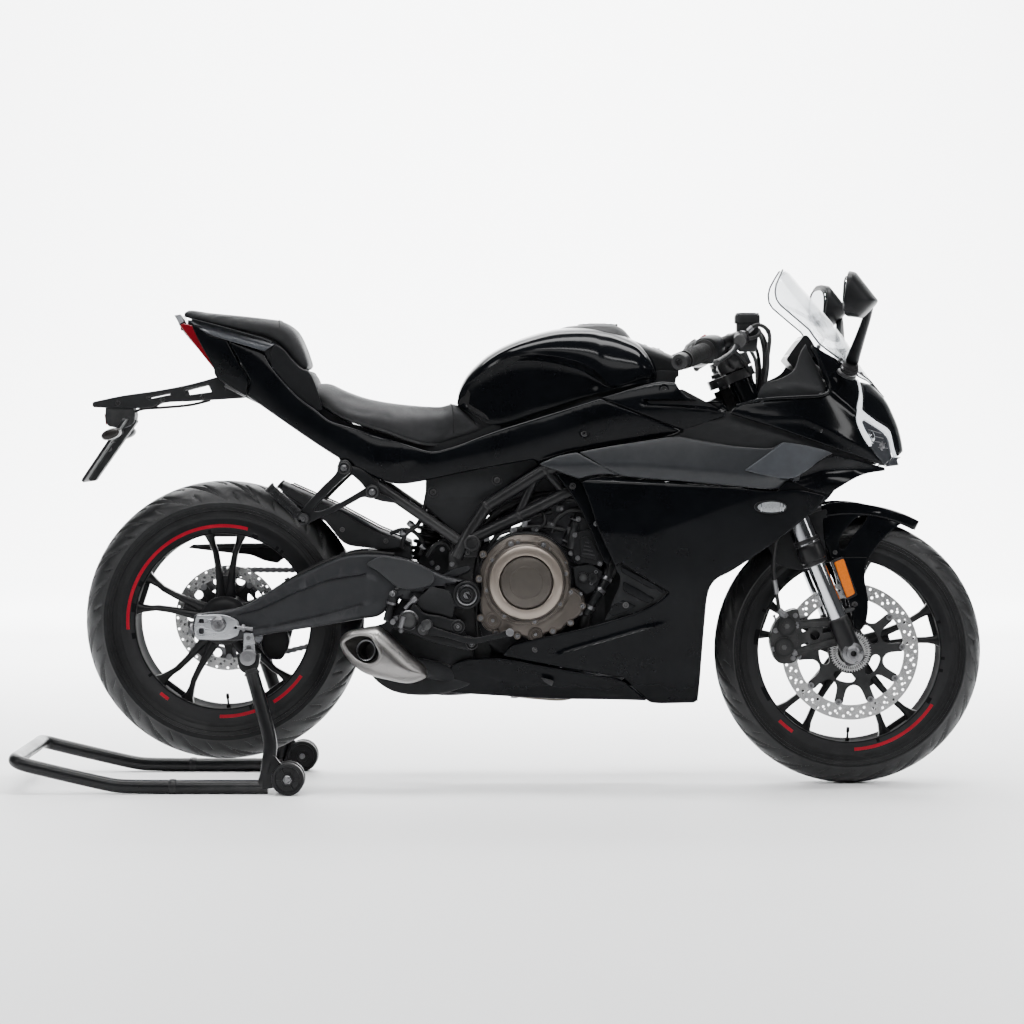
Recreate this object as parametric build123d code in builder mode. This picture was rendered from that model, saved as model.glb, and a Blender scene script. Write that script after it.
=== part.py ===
from build123d import *
import os
from math import atan, cos, sin, radians

os.makedirs("parts", exist_ok=True)

# ---------------------------------------------------------------- dimensions
# Millimetres. +X forward, +Y to the rider's left, +Z up, ground at z = 0.
# x = 0 is midway between the rear stand's bar and the front tyre's nose.
front_axle_x, front_axle_z = 763.0, 293.0
rear_axle_x, rear_axle_z = -607.0, 359.0
front_tyre_r, front_tyre_w = 293.0, 110.0
rear_tyre_r, rear_tyre_w = 306.0, 150.0
bead_r = 218.0                    # 17 inch rim
rake = atan(0.41)                 # steering axis from the vertical
fork_offset = 30.0                # fork line ahead of the steering axis
fork_y = 95.0
stem_r, stem_bore_r = 15.0, 9.0
axle_r = 10.0
front_axle_bore_r, rear_axle_bore_r = 6.5, 6.5
running_gap = 0.05                # radial, at spinning bores
pivot_x, pivot_z = -73.0, 421.0   # swingarm pivot
chain_y, chain_w, chain_h = 83.0, 16.0, 12.0
chain_ring_r, engine_ring_r = 108.0, 34.0
engine_ring_x, engine_ring_z = 2.0, 430.0
frame_tube_r, frame_tube_y = 14.0, 120.0
stand_tube_r, stand_y = 15.0, 205.0
roller_x, roller_r, roller_y = -452.0, 35.0, 225.0
roller_pin_r = 6.0
spool_x, spool_z, spool_r = -542.0, 289.0, 11.0
skin = 5.0                        # bodywork thickness
plate_hole_r, plate_hole_pcd = 3.0, 125.0
stand_pivot = Vector(-66, 148, 244)            # side stand, on the left
stand_axis = Vector(-0.099, -0.8744, -0.4751).normalized()
stowed = Vector(-0.995, 0.08, 0.06).normalized()
stand_pin_r = 5.0

up = Vector(-sin(rake), 0, cos(rake))      # along the steering axis
ahead = Vector(cos(rake), 0, sin(rake))    # square to it, forward
front_axle = Vector(front_axle_x, 0, front_axle_z)
rear_axle = Vector(rear_axle_x, 0, rear_axle_z)
across = Vector(0, 1, 0)


def steer(t, f=0.0, y=0.0):
    """A point t up the fork line, f ahead of it, at lateral y."""
    return front_axle + up * t + ahead * f + across * y


def rod(start, end, radius, bore=0.0, mode=Mode.ADD):
    start, end = Vector(start), Vector(end)
    with BuildSketch(Plane(origin=start, z_dir=end - start)) as ring:
        Circle(radius)
        if bore:
            Circle(bore, mode=Mode.SUBTRACT)
    extrude(ring.sketch, amount=(end - start).length, mode=mode)


def disc(centre, y_low, y_high, radius, bore=0.0, mode=Mode.ADD):
    """A round plate square to Y, from y_low to y_high."""
    rod((centre[0], y_low, centre[1]), (centre[0], y_high, centre[1]), radius, bore, mode)


def slab(outline, y_low, y_high, mode=Mode.ADD):
    """A side outline of (x, z) points, filled from y_low to y_high."""
    with BuildSketch(Plane.XZ.offset(-y_high)) as side_view:
        Polygon(*outline, align=None)
    extrude(side_view.sketch, amount=y_high - y_low, dir=(0, -1, 0), mode=mode)


def plan_cut(rows, z_low=-50.0, z_high=1250.0):
    """Keep what lies inside a plan outline of (x, half width) rows."""
    with BuildSketch(Plane.XY.offset(z_low)) as plan:
        Polygon(*[(x, w) for x, w in rows], *[(x, -w) for x, w in reversed(rows)], align=None)
    extrude(plan.sketch, amount=z_high - z_low, dir=(0, 0, 1), mode=Mode.INTERSECT)


def plan_band(rows, thickness, z_low, z_high, sign=-1, mode=Mode.ADD):
    """A wall that follows (x, half width) rows, thickness inwards."""
    with BuildSketch(Plane.XY.offset(z_low)) as plan:
        Polygon(*[(x, sign * w) for x, w in rows],
                *[(x, sign * (w - thickness)) for x, w in reversed(rows)], align=None)
    extrude(plan.sketch, amount=z_high - z_low, dir=(0, 0, 1), mode=mode)


def front_cut(outline, x_low=-1100.0, x_high=1100.0):
    """Keep what lies inside a front outline of (y, z) points."""
    with BuildSketch(Plane.YZ.offset(x_low)) as front_view:
        Polygon(*outline, align=None)
    extrude(front_view.sketch, amount=x_high - x_low, dir=(1, 0, 0), mode=Mode.INTERSECT)


def pipe(points, radius, bend):
    with BuildLine() as run:
        FilletPolyline(*points, radius=bend)
    with BuildSketch(Plane(origin=run.line @ 0, z_dir=run.line % 0)) as section:
        Circle(radius)
    sweep(section.sketch, path=run.wires()[0])


def finish(builder, label):
    builder.part.label = label
    export_step(builder.part, "parts/" + label + ".step")


# -------------------------------------------------------------------- wheels
# (label, axle, rim opening r, half bead width, flange r, hub half width, spoke half thickness, first spoke deg)
wheels = [
    ("front_rim", front_axle, 200.0, 38.0, 231.0, 40.0, 11.0, 88.0),
    ("rear_rim", rear_axle, 192.0, 55.0, 231.0, 46.0, 13.0, 90.0),
]
for label, axle, opening_r, bead, flange_r, hub_half, spoke_half, first in wheels:
    with BuildPart() as rim:
        with BuildSketch(Plane(origin=axle, x_dir=(1, 0, 0), z_dir=(0, 0, 1))):
            Polygon((opening_r, -bead - 5), (flange_r, -bead - 5), (flange_r, -bead), (bead_r, -bead),
                    (bead_r, -bead + 10), (bead_r - 10, -bead + 16), (bead_r - 10, bead - 16),
                    (bead_r, bead - 10), (bead_r, bead), (flange_r, bead), (flange_r, bead + 5),
                    (opening_r, bead + 5), (opening_r - 3, bead - 8), (opening_r - 3, -bead + 8), align=None)
            Polygon((axle_r + running_gap, -hub_half), (34, -hub_half), (38, -hub_half + 12),
                    (38, hub_half - 12), (34, hub_half), (axle_r + running_gap, hub_half), align=None)
        revolve(axis=Axis(axle, (0, 1, 0)))
        with BuildSketch(Plane(origin=axle, x_dir=(1, 0, 0), z_dir=(0, -1, 0)).offset(-spoke_half)):
            with PolarLocations(0, 5, start_angle=first):
                for side in (-1, 1):
                    Polygon((30, side * 3), (30, side * 17), (90, side * 16), (opening_r + 1, side * 34),
                            (opening_r + 1, side * 21), (100, side * 6), align=None)
                Polygon((30, -12), (30, 12), (88, 9), (88, -9), align=None)
        extrude(amount=2 * spoke_half)
    finish(rim, label)

# (label, axle, outer r, half width, shoulder r, half bead width)
tyres = [
    ("front_tyre", front_axle, front_tyre_r, front_tyre_w / 2, 254.0, 38.0),
    ("rear_tyre", rear_axle, rear_tyre_r, rear_tyre_w / 2, 257.0, 55.0),
]
for label, axle, outer_r, half, shoulder_r, bead in tyres:
    with BuildPart() as tyre:
        with BuildSketch(Plane(origin=axle, x_dir=(1, 0, 0), z_dir=(0, 0, 1))):
            with BuildLine():
                ThreePointArc((shoulder_r, -half), (outer_r, 0), (shoulder_r, half))
                Polyline((shoulder_r, half), (232, bead + 6), (232, bead), (bead_r, bead), (bead_r, bead - 9),
                         (230, bead - 9), (shoulder_r, half - 8))
                ThreePointArc((shoulder_r, half - 8), (outer_r - 10, 0), (shoulder_r, -half + 8))
                Polyline((shoulder_r, -half + 8), (230, -bead + 9), (bead_r, -bead + 9), (bead_r, -bead),
                         (232, -bead), (232, -bead - 6), (shoulder_r, -half))
            make_face()
        revolve(axis=Axis(axle, (0, 1, 0)))
    finish(tyre, label)

# (label, axle, y low, y high, outer r, inner r, carrier r, hub r)
discs = [
    ("front_brake_disc", front_axle, -62.5, -57.5, 150.0, 116.0, 124.0, 34.0),
    ("rear_brake_disc", rear_axle, 48.0, 53.0, 117.0, 88.0, 95.0, 34.0),
    ("rear_sprocket", rear_axle, 80.0, 86.0, chain_ring_r - 1.0, 86.0, 90.0, 34.0),
]
for label, axle, y_low, y_high, outer_r, inner_r, carrier_r, hub_r in discs:
    middle = (axle.X, axle.Z)
    sign = -1 if y_low < 0 else 1
    inside = min(abs(y_low), abs(y_high))
    hub_end = 40.0 if label == "front_brake_disc" else (46.0 if label == "rear_brake_disc" else 53.0)
    with BuildPart() as brake_disc:
        disc(middle, y_low, y_high, outer_r, inner_r)
        disc(middle, y_low, y_high, hub_r + 16, axle_r + 2)
        with BuildSketch(Plane(origin=(axle.X, y_high, axle.Z), x_dir=(1, 0, 0), z_dir=(0, -1, 0))):
            with PolarLocations(0, 5, start_angle=5):
                Polygon((hub_r + 8, -11), (hub_r + 8, 11), (carrier_r, 8), (carrier_r, -8), align=None)
        extrude(amount=y_high - y_low)
        if inside > hub_end:
            disc(middle, *sorted((sign * hub_end, sign * inside)), hub_r, axle_r + 2)
    finish(brake_disc, label)

# (label, axle, half length, bore r, spacer half start, spacer half end)
axles = [
    ("front_axle", front_axle, 128.0, front_axle_bore_r),
    ("rear_axle", rear_axle, 172.0, rear_axle_bore_r),
]
for label, axle, half, bore_r in axles:
    with BuildPart() as spindle:
        disc((axle.X, axle.Z), -half, half, axle_r, bore_r)
        disc((axle.X, axle.Z), -half, -half + 9, axle_r + 6, bore_r)
        disc((axle.X, axle.Z), half - 9, half, axle_r + 6, bore_r)
    finish(spindle, label)

# ------------------------------------------------------------------ steering
clamp_levels = [(425.0, 34.0), (640.0, 22.0)]     # (height up the fork, thickness)
with BuildPart() as steering_clamps:
    for level, thick in clamp_levels:
        with BuildSketch(Plane(origin=steer(level), x_dir=ahead, z_dir=up)):
            with Locations((0, -fork_y), (0, fork_y)):
                Circle(38)
            Polygon((-62, -34), (-62, 34), (-36, fork_y), (30, fork_y), (22, 0), (30, -fork_y), (-36, -fork_y),
                    align=None)
            with Locations((0, -fork_y), (0, fork_y)):
                Circle(27, mode=Mode.SUBTRACT)
        extrude(amount=thick)
    rod(steer(425, -fork_offset), steer(668, -fork_offset), stem_r)
    rod(steer(662, -fork_offset), steer(672, -fork_offset), 20)
    rod(steer(420, -fork_offset), steer(680, -fork_offset), stem_bore_r, mode=Mode.SUBTRACT)
finish(steering_clamps, "steering_clamps")

# (from, to, radius) up the fork line
leg_steps = [(-26.0, 84.0, 24.0), (84.0, 214.0, 20.0), (212.0, 256.0, 30.0), (256.0, 696.0, 27.0)]
with BuildPart() as fork_legs:
    for side in (-1, 1):
        for low, high, radius in leg_steps:
            rod(steer(low, 0, side * fork_y), steer(high, 0, side * fork_y), radius)
    disc((front_axle_x, front_axle_z), -140, 140, axle_r, mode=Mode.SUBTRACT)
finish(fork_legs, "fork_legs")

bar_in = Vector(478, -118, 962)
bar_out = Vector(378, -336, 921)
bar_run = bar_out - bar_in
with BuildPart() as handlebars:
    rod(steer(664, 0, -fork_y), steer(694, 0, -fork_y), 37, 27)
    with BuildSketch(Plane(origin=steer(666, 0, -fork_y - 40), x_dir=ahead, z_dir=up)):
        Rectangle(34, 26)
    extrude(amount=52)
    rod(bar_in - bar_run * 0.04, bar_out, 11)
    rod(bar_in + bar_run * 0.42, bar_in + bar_run * 0.93, 17)
    rod(bar_in + bar_run * 0.94, bar_in + bar_run * 1.06, 18)
    mirror(about=Plane.XZ)
finish(handlebars, "handlebars")

with BuildPart() as hand_controls:
    rod(bar_in + bar_run * 0.22, bar_in + bar_run * 0.40, 24, 11)
    rod(bar_in + bar_run * 0.05, bar_in + bar_run * 0.16, 20, 11)
    rod(bar_in + bar_run * 0.20 + Vector(4, 0, 4), (520, -186, 976), 14)
    rod((520, -184, 980), (508, -246, 966), 16)
    rod((520, -188, 982), (528, -188, 1000), 12)
    rod((528, -188, 992), (528, -188, 1044), 25)
    rod((512, -206, 968), (494, -266, 946), 7)
    rod((494, -266, 946), (450, -332, 918), 6)
    mirror(about=Plane.XZ)
finish(hand_controls, "hand_controls")

fender_top = [(690, 612), (720, 617), (760, 617), (800, 608), (840, 597), (880, 585), (908, 577), (900, 573),
              (870, 568), (840, 545), (815, 515), (800, 490), (794, 462), (730, 462), (722, 480), (717, 510), (707, 530)]
fender_leg = [(801, 492), (793, 460), (800, 400), (795, 360), (780, 340), (764, 380), (760, 400), (727, 470),
              (724, 492)]
fender_tail = [(580, 530), (612, 553), (688, 596), (712, 560), (702, 486), (655, 472), (602, 484)]
with BuildPart() as front_fender:
    with BuildSketch(Plane.XZ.offset(-66)):
        with BuildLine():
            outer = CenterArc((front_axle_x, front_axle_z), 312, 58, 80)
            inner = CenterArc((front_axle_x, front_axle_z), 304, 58, 80)
            Line(outer @ 0, inner @ 0)
            Line(outer @ 1, inner @ 1)
        make_face()
    extrude(amount=132)
    for side in (-1, 1):
        low, high = sorted((side * 62, side * 66))
        slab(fender_top, low, high)
        slab(fender_tail, low, high)
        slab([(736, 468), (788, 468), (790, 486), (736, 486)], *sorted((side * 64, side * 70)))
        slab(fender_leg, *sorted((side * 68, side * 72)))
        rod((772, side * 69, 388), (744, side * 85, 380), 5)
finish(front_fender, "front_fender")

caliper_edge = [(646, 388), (616, 376), (592, 348), (586, 318), (592, 288), (606, 268), (640, 272), (655, 330)]
with BuildPart() as front_caliper:
    slab(caliper_edge, -86, -40)
    slab([(570, 250), (690, 250), (690, 400), (570, 400)], -67.5, -52.5, mode=Mode.SUBTRACT)
    slab([(587, 312), (592, 288), (603, 270), (605, 277), (599, 318), (616, 376), (592, 348)], -67.5, -52.5)
    rod((640, -78, 352), (735, -88, 358), 8)
    rod((636, -78, 292), (742, -88, 322), 8)
finish(front_caliper, "front_caliper")

front_hose_route = [(514, -240, 976), (544, -236, 1000), (572, -208, 986), (572, -168, 920), (566, -140, 840),
                    (568, -138, 740), (594, -136, 640), (598, -120, 560), (592, -98, 480), (606, -80, 384)]
with BuildPart() as front_brake_hose:
    pipe(front_hose_route, 4.5, 24)
finish(front_brake_hose, "front_brake_hose")

# --------------------------------------------------------------------- frame
# (points, radius, bend)   right-hand tubes, mirrored to the left
ty = -frame_tube_y
frame_tubes = [
    ([(-95, ty, 500), (-65, ty, 560), (-30, ty, 612), (95, ty, 690), (300, -105, 745),
      tuple(steer(610, -50, -10))], frame_tube_r, 30),
    ([(-66, ty, 540), (40, ty, 590), (140, ty, 640), (330, -92, 690), tuple(steer(500, -50, -10))],
     frame_tube_r, 30),
]
subframe_tubes = [
    ([(-345, ty + 6, 715), (-270, ty + 6, 660), (-92, ty + 6, 537)], 12.0, 60),
    ([(78, -70, 690), (-80, -70, 700), (-330, -70, 748), (-600, -50, 880)], 11.0, 60),
]
subframe_braces = [((-340, ty + 6, 710), (-326, -70, 747)), ((-270, ty + 6, 660), (-262, -70, 735))]
frame_braces = [((35, ty, 588), (78, ty, 680)), ((140, ty, 640), (95, ty, 690)),
                ((200, -111, 655), (300, -105, 745))]
with BuildPart() as frame:
    for points, radius, bend in frame_tubes:
        pipe(points, radius, bend)
    for start, end in frame_braces:
        rod(start, end, 9)
    slab([(-118, 330), (-60, 300), (-40, 330), (-62, 400), (-60, 470), (-48, 540), (-70, 560), (-112, 510)], -112, -100)
    rod((-62, -134, 532), (-62, -100, 532), 17)
    rod((-92, -160, 354), (-92, -100, 354), 9)
    rod((-62, -160, 317), (-62, -100, 317), 9)
    mirror(about=Plane.XZ)
    rod((-92, -112, 508), (-92, 112, 508), 11)
    rod((-88, -112, 335), (-88, 112, 335), 9)
    rod((95, -120, 690), (95, 120, 690), 11)
    slab([(-88, 292), (-50, 292), (-50, 312), (-84, 312)], 104, 130)
    slab([(-88, 312), (-50, 312), (-48, 226), (-84, 226)], 122, 130)
    rod(stand_pivot + stand_axis * 24, stand_pivot - stand_axis * 17, stand_pin_r)
    rod(stand_pivot - stand_axis * 17, stand_pivot - stand_axis * 22, 9)
    disc((pivot_x, pivot_z), -112, 112, 12, mode=Mode.SUBTRACT)
    rod(steer(466, -fork_offset), steer(634, -fork_offset), 28)
    rod(steer(440, -fork_offset), steer(660, -fork_offset), stem_r + running_gap, mode=Mode.SUBTRACT)
finish(frame, "frame")

with BuildPart() as rear_subframe:
    for points, radius, bend in subframe_tubes:
        pipe(points, radius, bend)
    for start, end in subframe_braces:
        rod(start, end, 9)
    mirror(about=Plane.XZ)
    rod((-330, -70, 748), (-330, 70, 748), 9)
    rod((-590, -52, 875), (-590, 52, 875), 9)
finish(rear_subframe, "rear_subframe")

# -------------------------------------------------------------------- engine
clutch = (55, 450)
with BuildPart() as engine_block:
    slab([(-56, 340), (-56, 478), (-40, 525), (30, 548), (110, 640), (225, 622), (262, 545), (212, 470),
          (222, 330), (160, 292), (0, 292)], -94, 68)
    disc(clutch, -165, -94, 93)
    disc((150, 372), -140, -94, 40)
    disc((140, 430), 68, 118, 72)
    slab([(112, 560), (168, 612), (214, 596), (236, 548), (190, 500), (140, 500)], -118, 100)
finish(engine_block, "engine_block")

with BuildPart() as engine_covers:
    disc(clutch, -188, -165, 78)
    disc(clutch, -196, -188, 58)
    disc((140, 430), 118, 158, 66)
finish(engine_covers, "engine_covers")

with BuildPart() as radiator:
    with BuildSketch(Plane(origin=(402, 0, 545), x_dir=(0, 1, 0), z_dir=(cos(rake), 0, sin(rake)))):
        Rectangle(290, 220)
    extrude(amount=16, both=True)
finish(radiator, "radiator")

with BuildPart() as exhaust_headers:
    pipe([(250, -46, 562), (296, -46, 540), (320, -46, 460), (308, -46, 330), (252, -46, 236), (60, -46, 232),
          (-60, -80, 240), (-172, -152, 266)], 19, 40)
    pipe([(250, 46, 562), (296, 46, 540), (320, 46, 460), (308, 46, 330), (252, 46, 236), (130, 10, 233),
          (60, -40, 232)], 19, 40)
finish(exhaust_headers, "exhaust_headers")

silencer_edge = [(-345, 325), (-330, 340), (-300, 350), (-262, 355), (-240, 340), (-160, 268), (-157, 248),
                 (-175, 236), (-200, 233), (-240, 240), (-290, 255), (-315, 270), (-340, 300)]
with BuildPart() as silencer:
    slab(silencer_edge, -218, -122)
    with BuildSketch(Plane.YZ.offset(-400)):
        Polygon((-122, 200), (-218, 200), (-218, 400), (-122, 400), align=None)
        with Locations((-170, 293)):
            SlotOverall(104, 92, rotation=90, mode=Mode.INTERSECT)
    extrude(amount=400, mode=Mode.INTERSECT)
    rod((-350, -172, 322), (-288, -172, 300), 20, mode=Mode.SUBTRACT)
finish(silencer, "silencer")

# ----------------------------------------------------------------- swingarm
arm_edge = [(-560, 395), (-520, 415), (-480, 440), (-400, 480), (-340, 505), (-300, 509), (-250, 507),
            (-200, 497), (-160, 478), (-120, 462), (-73, 449), (-48, 436), (-45, 421), (-48, 406), (-73, 393),
            (-120, 394), (-230, 416), (-250, 380), (-300, 370), (-400, 352), (-520, 333), (-545, 325),
            (-590, 324), (-657, 324), (-664, 350), (-660, 375), (-640, 388)]
with BuildPart() as swingarm:
    for side in (-1, 1):
        low, high = sorted((side * 118, side * 150))
        slab(arm_edge, low, high)
        low, high = sorted((side * 150, side * 156))
        slab([(-652, 328), (-560, 332), (-560, 368), (-600, 378), (-652, 376)], low, high)
        slab([(-562, 335), (-524, 335), (-528, 276), (-556, 276)], low, high)
        disc((spool_x, spool_z), *sorted((side * 156, side * 184)), spool_r)
        disc((spool_x, spool_z), *sorted((side * 184, side * 190)), spool_r + 6)
    slab([(-232, 432), (-232, 492), (-188, 488), (-180, 440)], -118, 64)
    slab([(-232, 414), (-232, 454), (-184, 452), (-180, 414)], 50, 118)
    disc((pivot_x, pivot_z), -160, 160, 12)
    disc((pivot_x, pivot_z), -156, -150, 26)
    disc((pivot_x, pivot_z), 150, 156, 26)
    disc((rear_axle_x, rear_axle_z), -160, 160, axle_r, mode=Mode.SUBTRACT)
finish(swingarm, "swingarm")

with BuildPart() as shock_absorber:
    rod((-168, 0, 492), (-128, 0, 640), 27)
    rod((-128, 0, 640), (-114, 0, 700), 14)
    rod((-178, 0, 470), (-168, 0, 492), 12)
    rod((-114, -66, 704), (-114, 66, 704), 9)
finish(shock_absorber, "shock_absorber")

with BuildPart() as hugger:
    slab([(-476, 662), (-365, 612), (-265, 556), (-200, 536), (-196, 492), (-206, 492), (-212, 526), (-268, 543),
          (-368, 598), (-476, 652)], -84, 84)
    for side in (-1, 1):
        slab([(-440, 646), (-365, 612), (-265, 556), (-212, 538), (-232, 520), (-300, 522), (-372, 570)],
             *sorted((side * 84, side * 88)))
finish(hugger, "hugger")

with BuildPart() as chain_guard:
    slab([(-700, 512), (-688, 520), (-430, 518), (-400, 500), (-430, 492), (-480, 494), (-500, 478),
          (-560, 496), (-600, 500)], 97, 102)
    rod((-440, 97, 506), (-424, 118, 478), 6)
finish(chain_guard, "chain_guard")

rear_pitch, front_pitch = chain_ring_r, engine_ring_r
with BuildPart() as drive_chain:
    for grow, mode in ((chain_h, Mode.ADD), (0.0, Mode.SUBTRACT)):
        with BuildSketch(Plane.XZ.offset(-chain_y - chain_w / 2)):
            with Locations((rear_axle_x, rear_axle_z)):
                Circle(rear_pitch + grow)
            with Locations((engine_ring_x, engine_ring_z)):
                Circle(front_pitch + grow)
            make_hull()
        extrude(amount=chain_w, mode=mode)
    disc((engine_ring_x, engine_ring_z), chain_y - 4, chain_y + 4, front_pitch + 2)
    disc((engine_ring_x, engine_ring_z), 68, chain_y, 14)
finish(drive_chain, "drive_chain")

with BuildPart() as rear_caliper:
    slab([(-522, 330), (-486, 340), (-470, 310), (-486, 268), (-516, 272), (-530, 300)], 30, 72)
    slab([(-560, 230), (-440, 230), (-440, 380), (-560, 380)], 43, 58, mode=Mode.SUBTRACT)
    slab([(-482, 338), (-470, 310), (-480, 285), (-486, 290), (-478, 310), (-488, 336)], 43, 58)
    slab([(-486, 340), (-470, 360), (-458, 352), (-470, 310)], 62, 72)
    rod((-472, 62, 350), (-472, 118, 362), 6)
finish(rear_caliper, "rear_caliper")

# ------------------------------------------------------------------ foot gear
with BuildPart() as footpegs:
    slab([(-176, 402), (-150, 400), (-50, 330), (-48, 300), (-74, 300), (-190, 338), (-246, 350), (-248, 372),
          (-200, 362)], -168, -160)
    rod((-150, -168, 362), (-156, -176, 362), 14)
    rod((-154, -174, 362), (-158, -256, 366), 10)
    rod((-244, -164, 362), (-226, -164, 436), 7)
    mirror(about=Plane.XZ)
    for side in (-1, 1):
        low, high = sorted((side * 138, side * 148))
        slab([(-350, 702), (-334, 710), (-322, 690), (-400, 596), (-290, 650), (-266, 656), (-264, 636),
              (-284, 630), (-405, 572), (-432, 580), (-430, 596)], low, high)
        rod((-338, side * 138, 693), (-338, side * 152, 693), 12)
        rod((-277, side * 112, 643), (-277, side * 152, 643), 12)
        rod((-425, side * 152, 585), (-498, side * 158, 655), 11)
        rod((-425, side * 140, 586), (-425, side * 158, 586), 10)
finish(footpegs, "footpegs")

with BuildPart() as foot_controls:
    for side in (-1, 1):
        low, high = sorted((side * 172, side * 180))
        slab([(-175, 352), (-165, 340), (-60, 316), (20, 336), (24, 348), (-60, 332), (-150, 356)], low, high)
        rod((18, side * 176, 343), (20, side * 214, 345), 7)
        rod((-166, side * 168, 348), (-166, side * 182, 348), 9)
finish(foot_controls, "foot_controls")

# ----------------------------------------------------- fairing master surface
# half width of the bodywork by height: rows of (z, [(x, half width) ...])
hull_levels = [
    (176, [(-330, 84), (-100, 100), (80, 112), (250, 116), (430, 118), (560, 118), (690, 104), (790, 76), (860, 40), (886, 10)]),
    (300, [(-330, 112), (-100, 140), (80, 165), (250, 178), (430, 182), (560, 170), (690, 132), (790, 92), (860, 46), (886, 10)]),
    (480, [(-330, 120), (-100, 150), (80, 178), (250, 196), (430, 202), (560, 188), (690, 142), (790, 96), (860, 46), (886, 10)]),
    (640, [(-330, 120), (-100, 150), (80, 178), (250, 198), (430, 206), (560, 194), (690, 152), (790, 104), (860, 50), (886, 12)]),
    (740, [(-330, 120), (-100, 140), (80, 168), (250, 190), (430, 198), (560, 192), (690, 154), (790, 106), (858, 54), (882, 14)]),
    (840, [(-330, 110), (-100, 130), (80, 150), (250, 168), (430, 178), (560, 176), (690, 146), (768, 104), (828, 54), (848, 14)]),
    (985, [(-330, 100), (-100, 110), (80, 120), (250, 130), (430, 140), (560, 144), (640, 130), (700, 96), (738, 50), (750, 14)]),
]


def body_tower(levels, inset, lift=0.0, mode=Mode.ADD):
    floors = []
    for z, rows in levels:
        inner = [(x - (inset * 1.6 if x > 740 or (z > 900 and x > 690) else 0), max(w - inset, 3.0)) for x, w in rows]
        with BuildSketch(Plane.XY.offset(z + lift)) as floor:
            Polygon(*[(x, w) for x, w in inner], *[(x, -w) for x, w in reversed(inner)], align=None)
        floors.append(floor.sketch.face())
    loft(floors, ruled=True, mode=mode)


side_fairing_edge = [(172, 666), (185, 673), (220, 678), (260, 675), (300, 670), (400, 662), (500, 654), (580, 645),
                     (640, 648), (702, 635), (690, 615), (640, 575), (595, 540), (540, 505), (500, 478),
                     (470, 463), (445, 430), (437, 360), (430, 260), (425, 185), (325, 182), (265, 240),
                     (250, 242), (200, 252), (100, 270), (2, 290), (20, 312), (30, 315), (100, 333), (200, 357),
                     (260, 375), (300, 388), (340, 410), (360, 428), (255, 492), (235, 505), (210, 560),
                     (190, 620)]
side_gap = 420.0
with BuildPart() as side_fairings:
    body_tower(hull_levels, 0)
    body_tower(hull_levels, skin, mode=Mode.SUBTRACT)
    with BuildSketch(Plane.XZ.offset(-230)):
        Polygon(*side_fairing_edge, align=None)
    extrude(amount=460, mode=Mode.INTERSECT)
finish(side_fairings, "side_fairings")

mid_panel_edge = [(80, 703), (125, 722), (165, 730), (200, 735), (300, 752), (365, 763), (385, 763), (420, 756),
                  (480, 745), (520, 740), (580, 738), (605, 750), (640, 746), (700, 733), (740, 716),
                  (836, 694), (836, 690), (800, 682), (760, 668), (705, 638), (640, 652), (580, 648), (500, 658),
                  (400, 666), (300, 674), (260, 679), (220, 682), (165, 672)]
with BuildPart() as mid_panels:
    body_tower(hull_levels, 0)
    body_tower(hull_levels, skin, mode=Mode.SUBTRACT)
    with BuildSketch(Plane.XZ.offset(-230)):
        Polygon(*mid_panel_edge, align=None)
    extrude(amount=460, mode=Mode.INTERSECT)
finish(mid_panels, "mid_panels")

upper_cowl_edge = [(490, 812), (540, 798), (600, 780), (700, 745), (752, 722), (836, 698), (790, 750), (775, 780),
                   (770, 800), (775, 830), (783, 860), (789, 882), (745, 918), (690, 950), (668, 970), (640, 936),
                   (600, 890), (560, 840), (500, 826)]
with BuildPart() as upper_cowl:
    body_tower(hull_levels, 0)
    body_tower(hull_levels, skin, mode=Mode.SUBTRACT)
    with BuildSketch(Plane.XZ.offset(-230)):
        Polygon(*upper_cowl_edge, align=None)
    extrude(amount=460, mode=Mode.INTERSECT)
    rod((722, -116, 884), (722, 116, 884), 7)
    rod((722, -60, 884), (560, -22, 800), 6)
    rod((722, 60, 884), (560, 22, 800), 6)
finish(upper_cowl, "upper_cowl")

headlight_edge = [(843, 692), (884, 710), (884, 740), (872, 782), (860, 812), (845, 842), (812, 874), (796, 876),
                  (790, 860), (782, 830), (777, 800), (782, 782), (797, 752)]
with BuildPart() as headlight:
    body_tower(hull_levels, 0)
    body_tower(hull_levels, 12, mode=Mode.SUBTRACT)
    with BuildSketch(Plane.XZ.offset(-230)):
        Polygon(*headlight_edge, align=None)
    extrude(amount=460, mode=Mode.INTERSECT)
finish(headlight, "headlight")

# (z, centre line x, rear edge x, half width)
screen_levels = [(884, 812, 742, 90), (950, 772, 690, 104), (1010, 726, 652, 100), (1060, 680, 598, 90),
                 (1120, 622, 592, 52)]
with BuildPart() as windscreen:
    for inset, mode in ((0.0, Mode.ADD), (3.0, Mode.SUBTRACT)):
        for z, nose_x, rear_x, half in screen_levels:
            deep = nose_x - rear_x
            with BuildSketch(Plane.XY.offset(z)):
                Polygon((rear_x, half - inset), (rear_x + deep * 0.62, (half - inset) * 0.8),
                        (rear_x + deep * 0.92 - inset, (half - inset) * 0.4), (nose_x - inset * 1.5, 0),
                        (rear_x + deep * 0.92 - inset, -(half - inset) * 0.4),
                        (rear_x + deep * 0.62, -(half - inset) * 0.8), (rear_x, -half + inset), align=None)
        loft(ruled=True, mode=mode)
    slab([(840, 884), (814, 886), (746, 922), (691, 954), (660, 984), (560, 1080), (560, 1130), (840, 1130)],
         -150, 150, mode=Mode.INTERSECT)
finish(windscreen, "windscreen")

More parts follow.
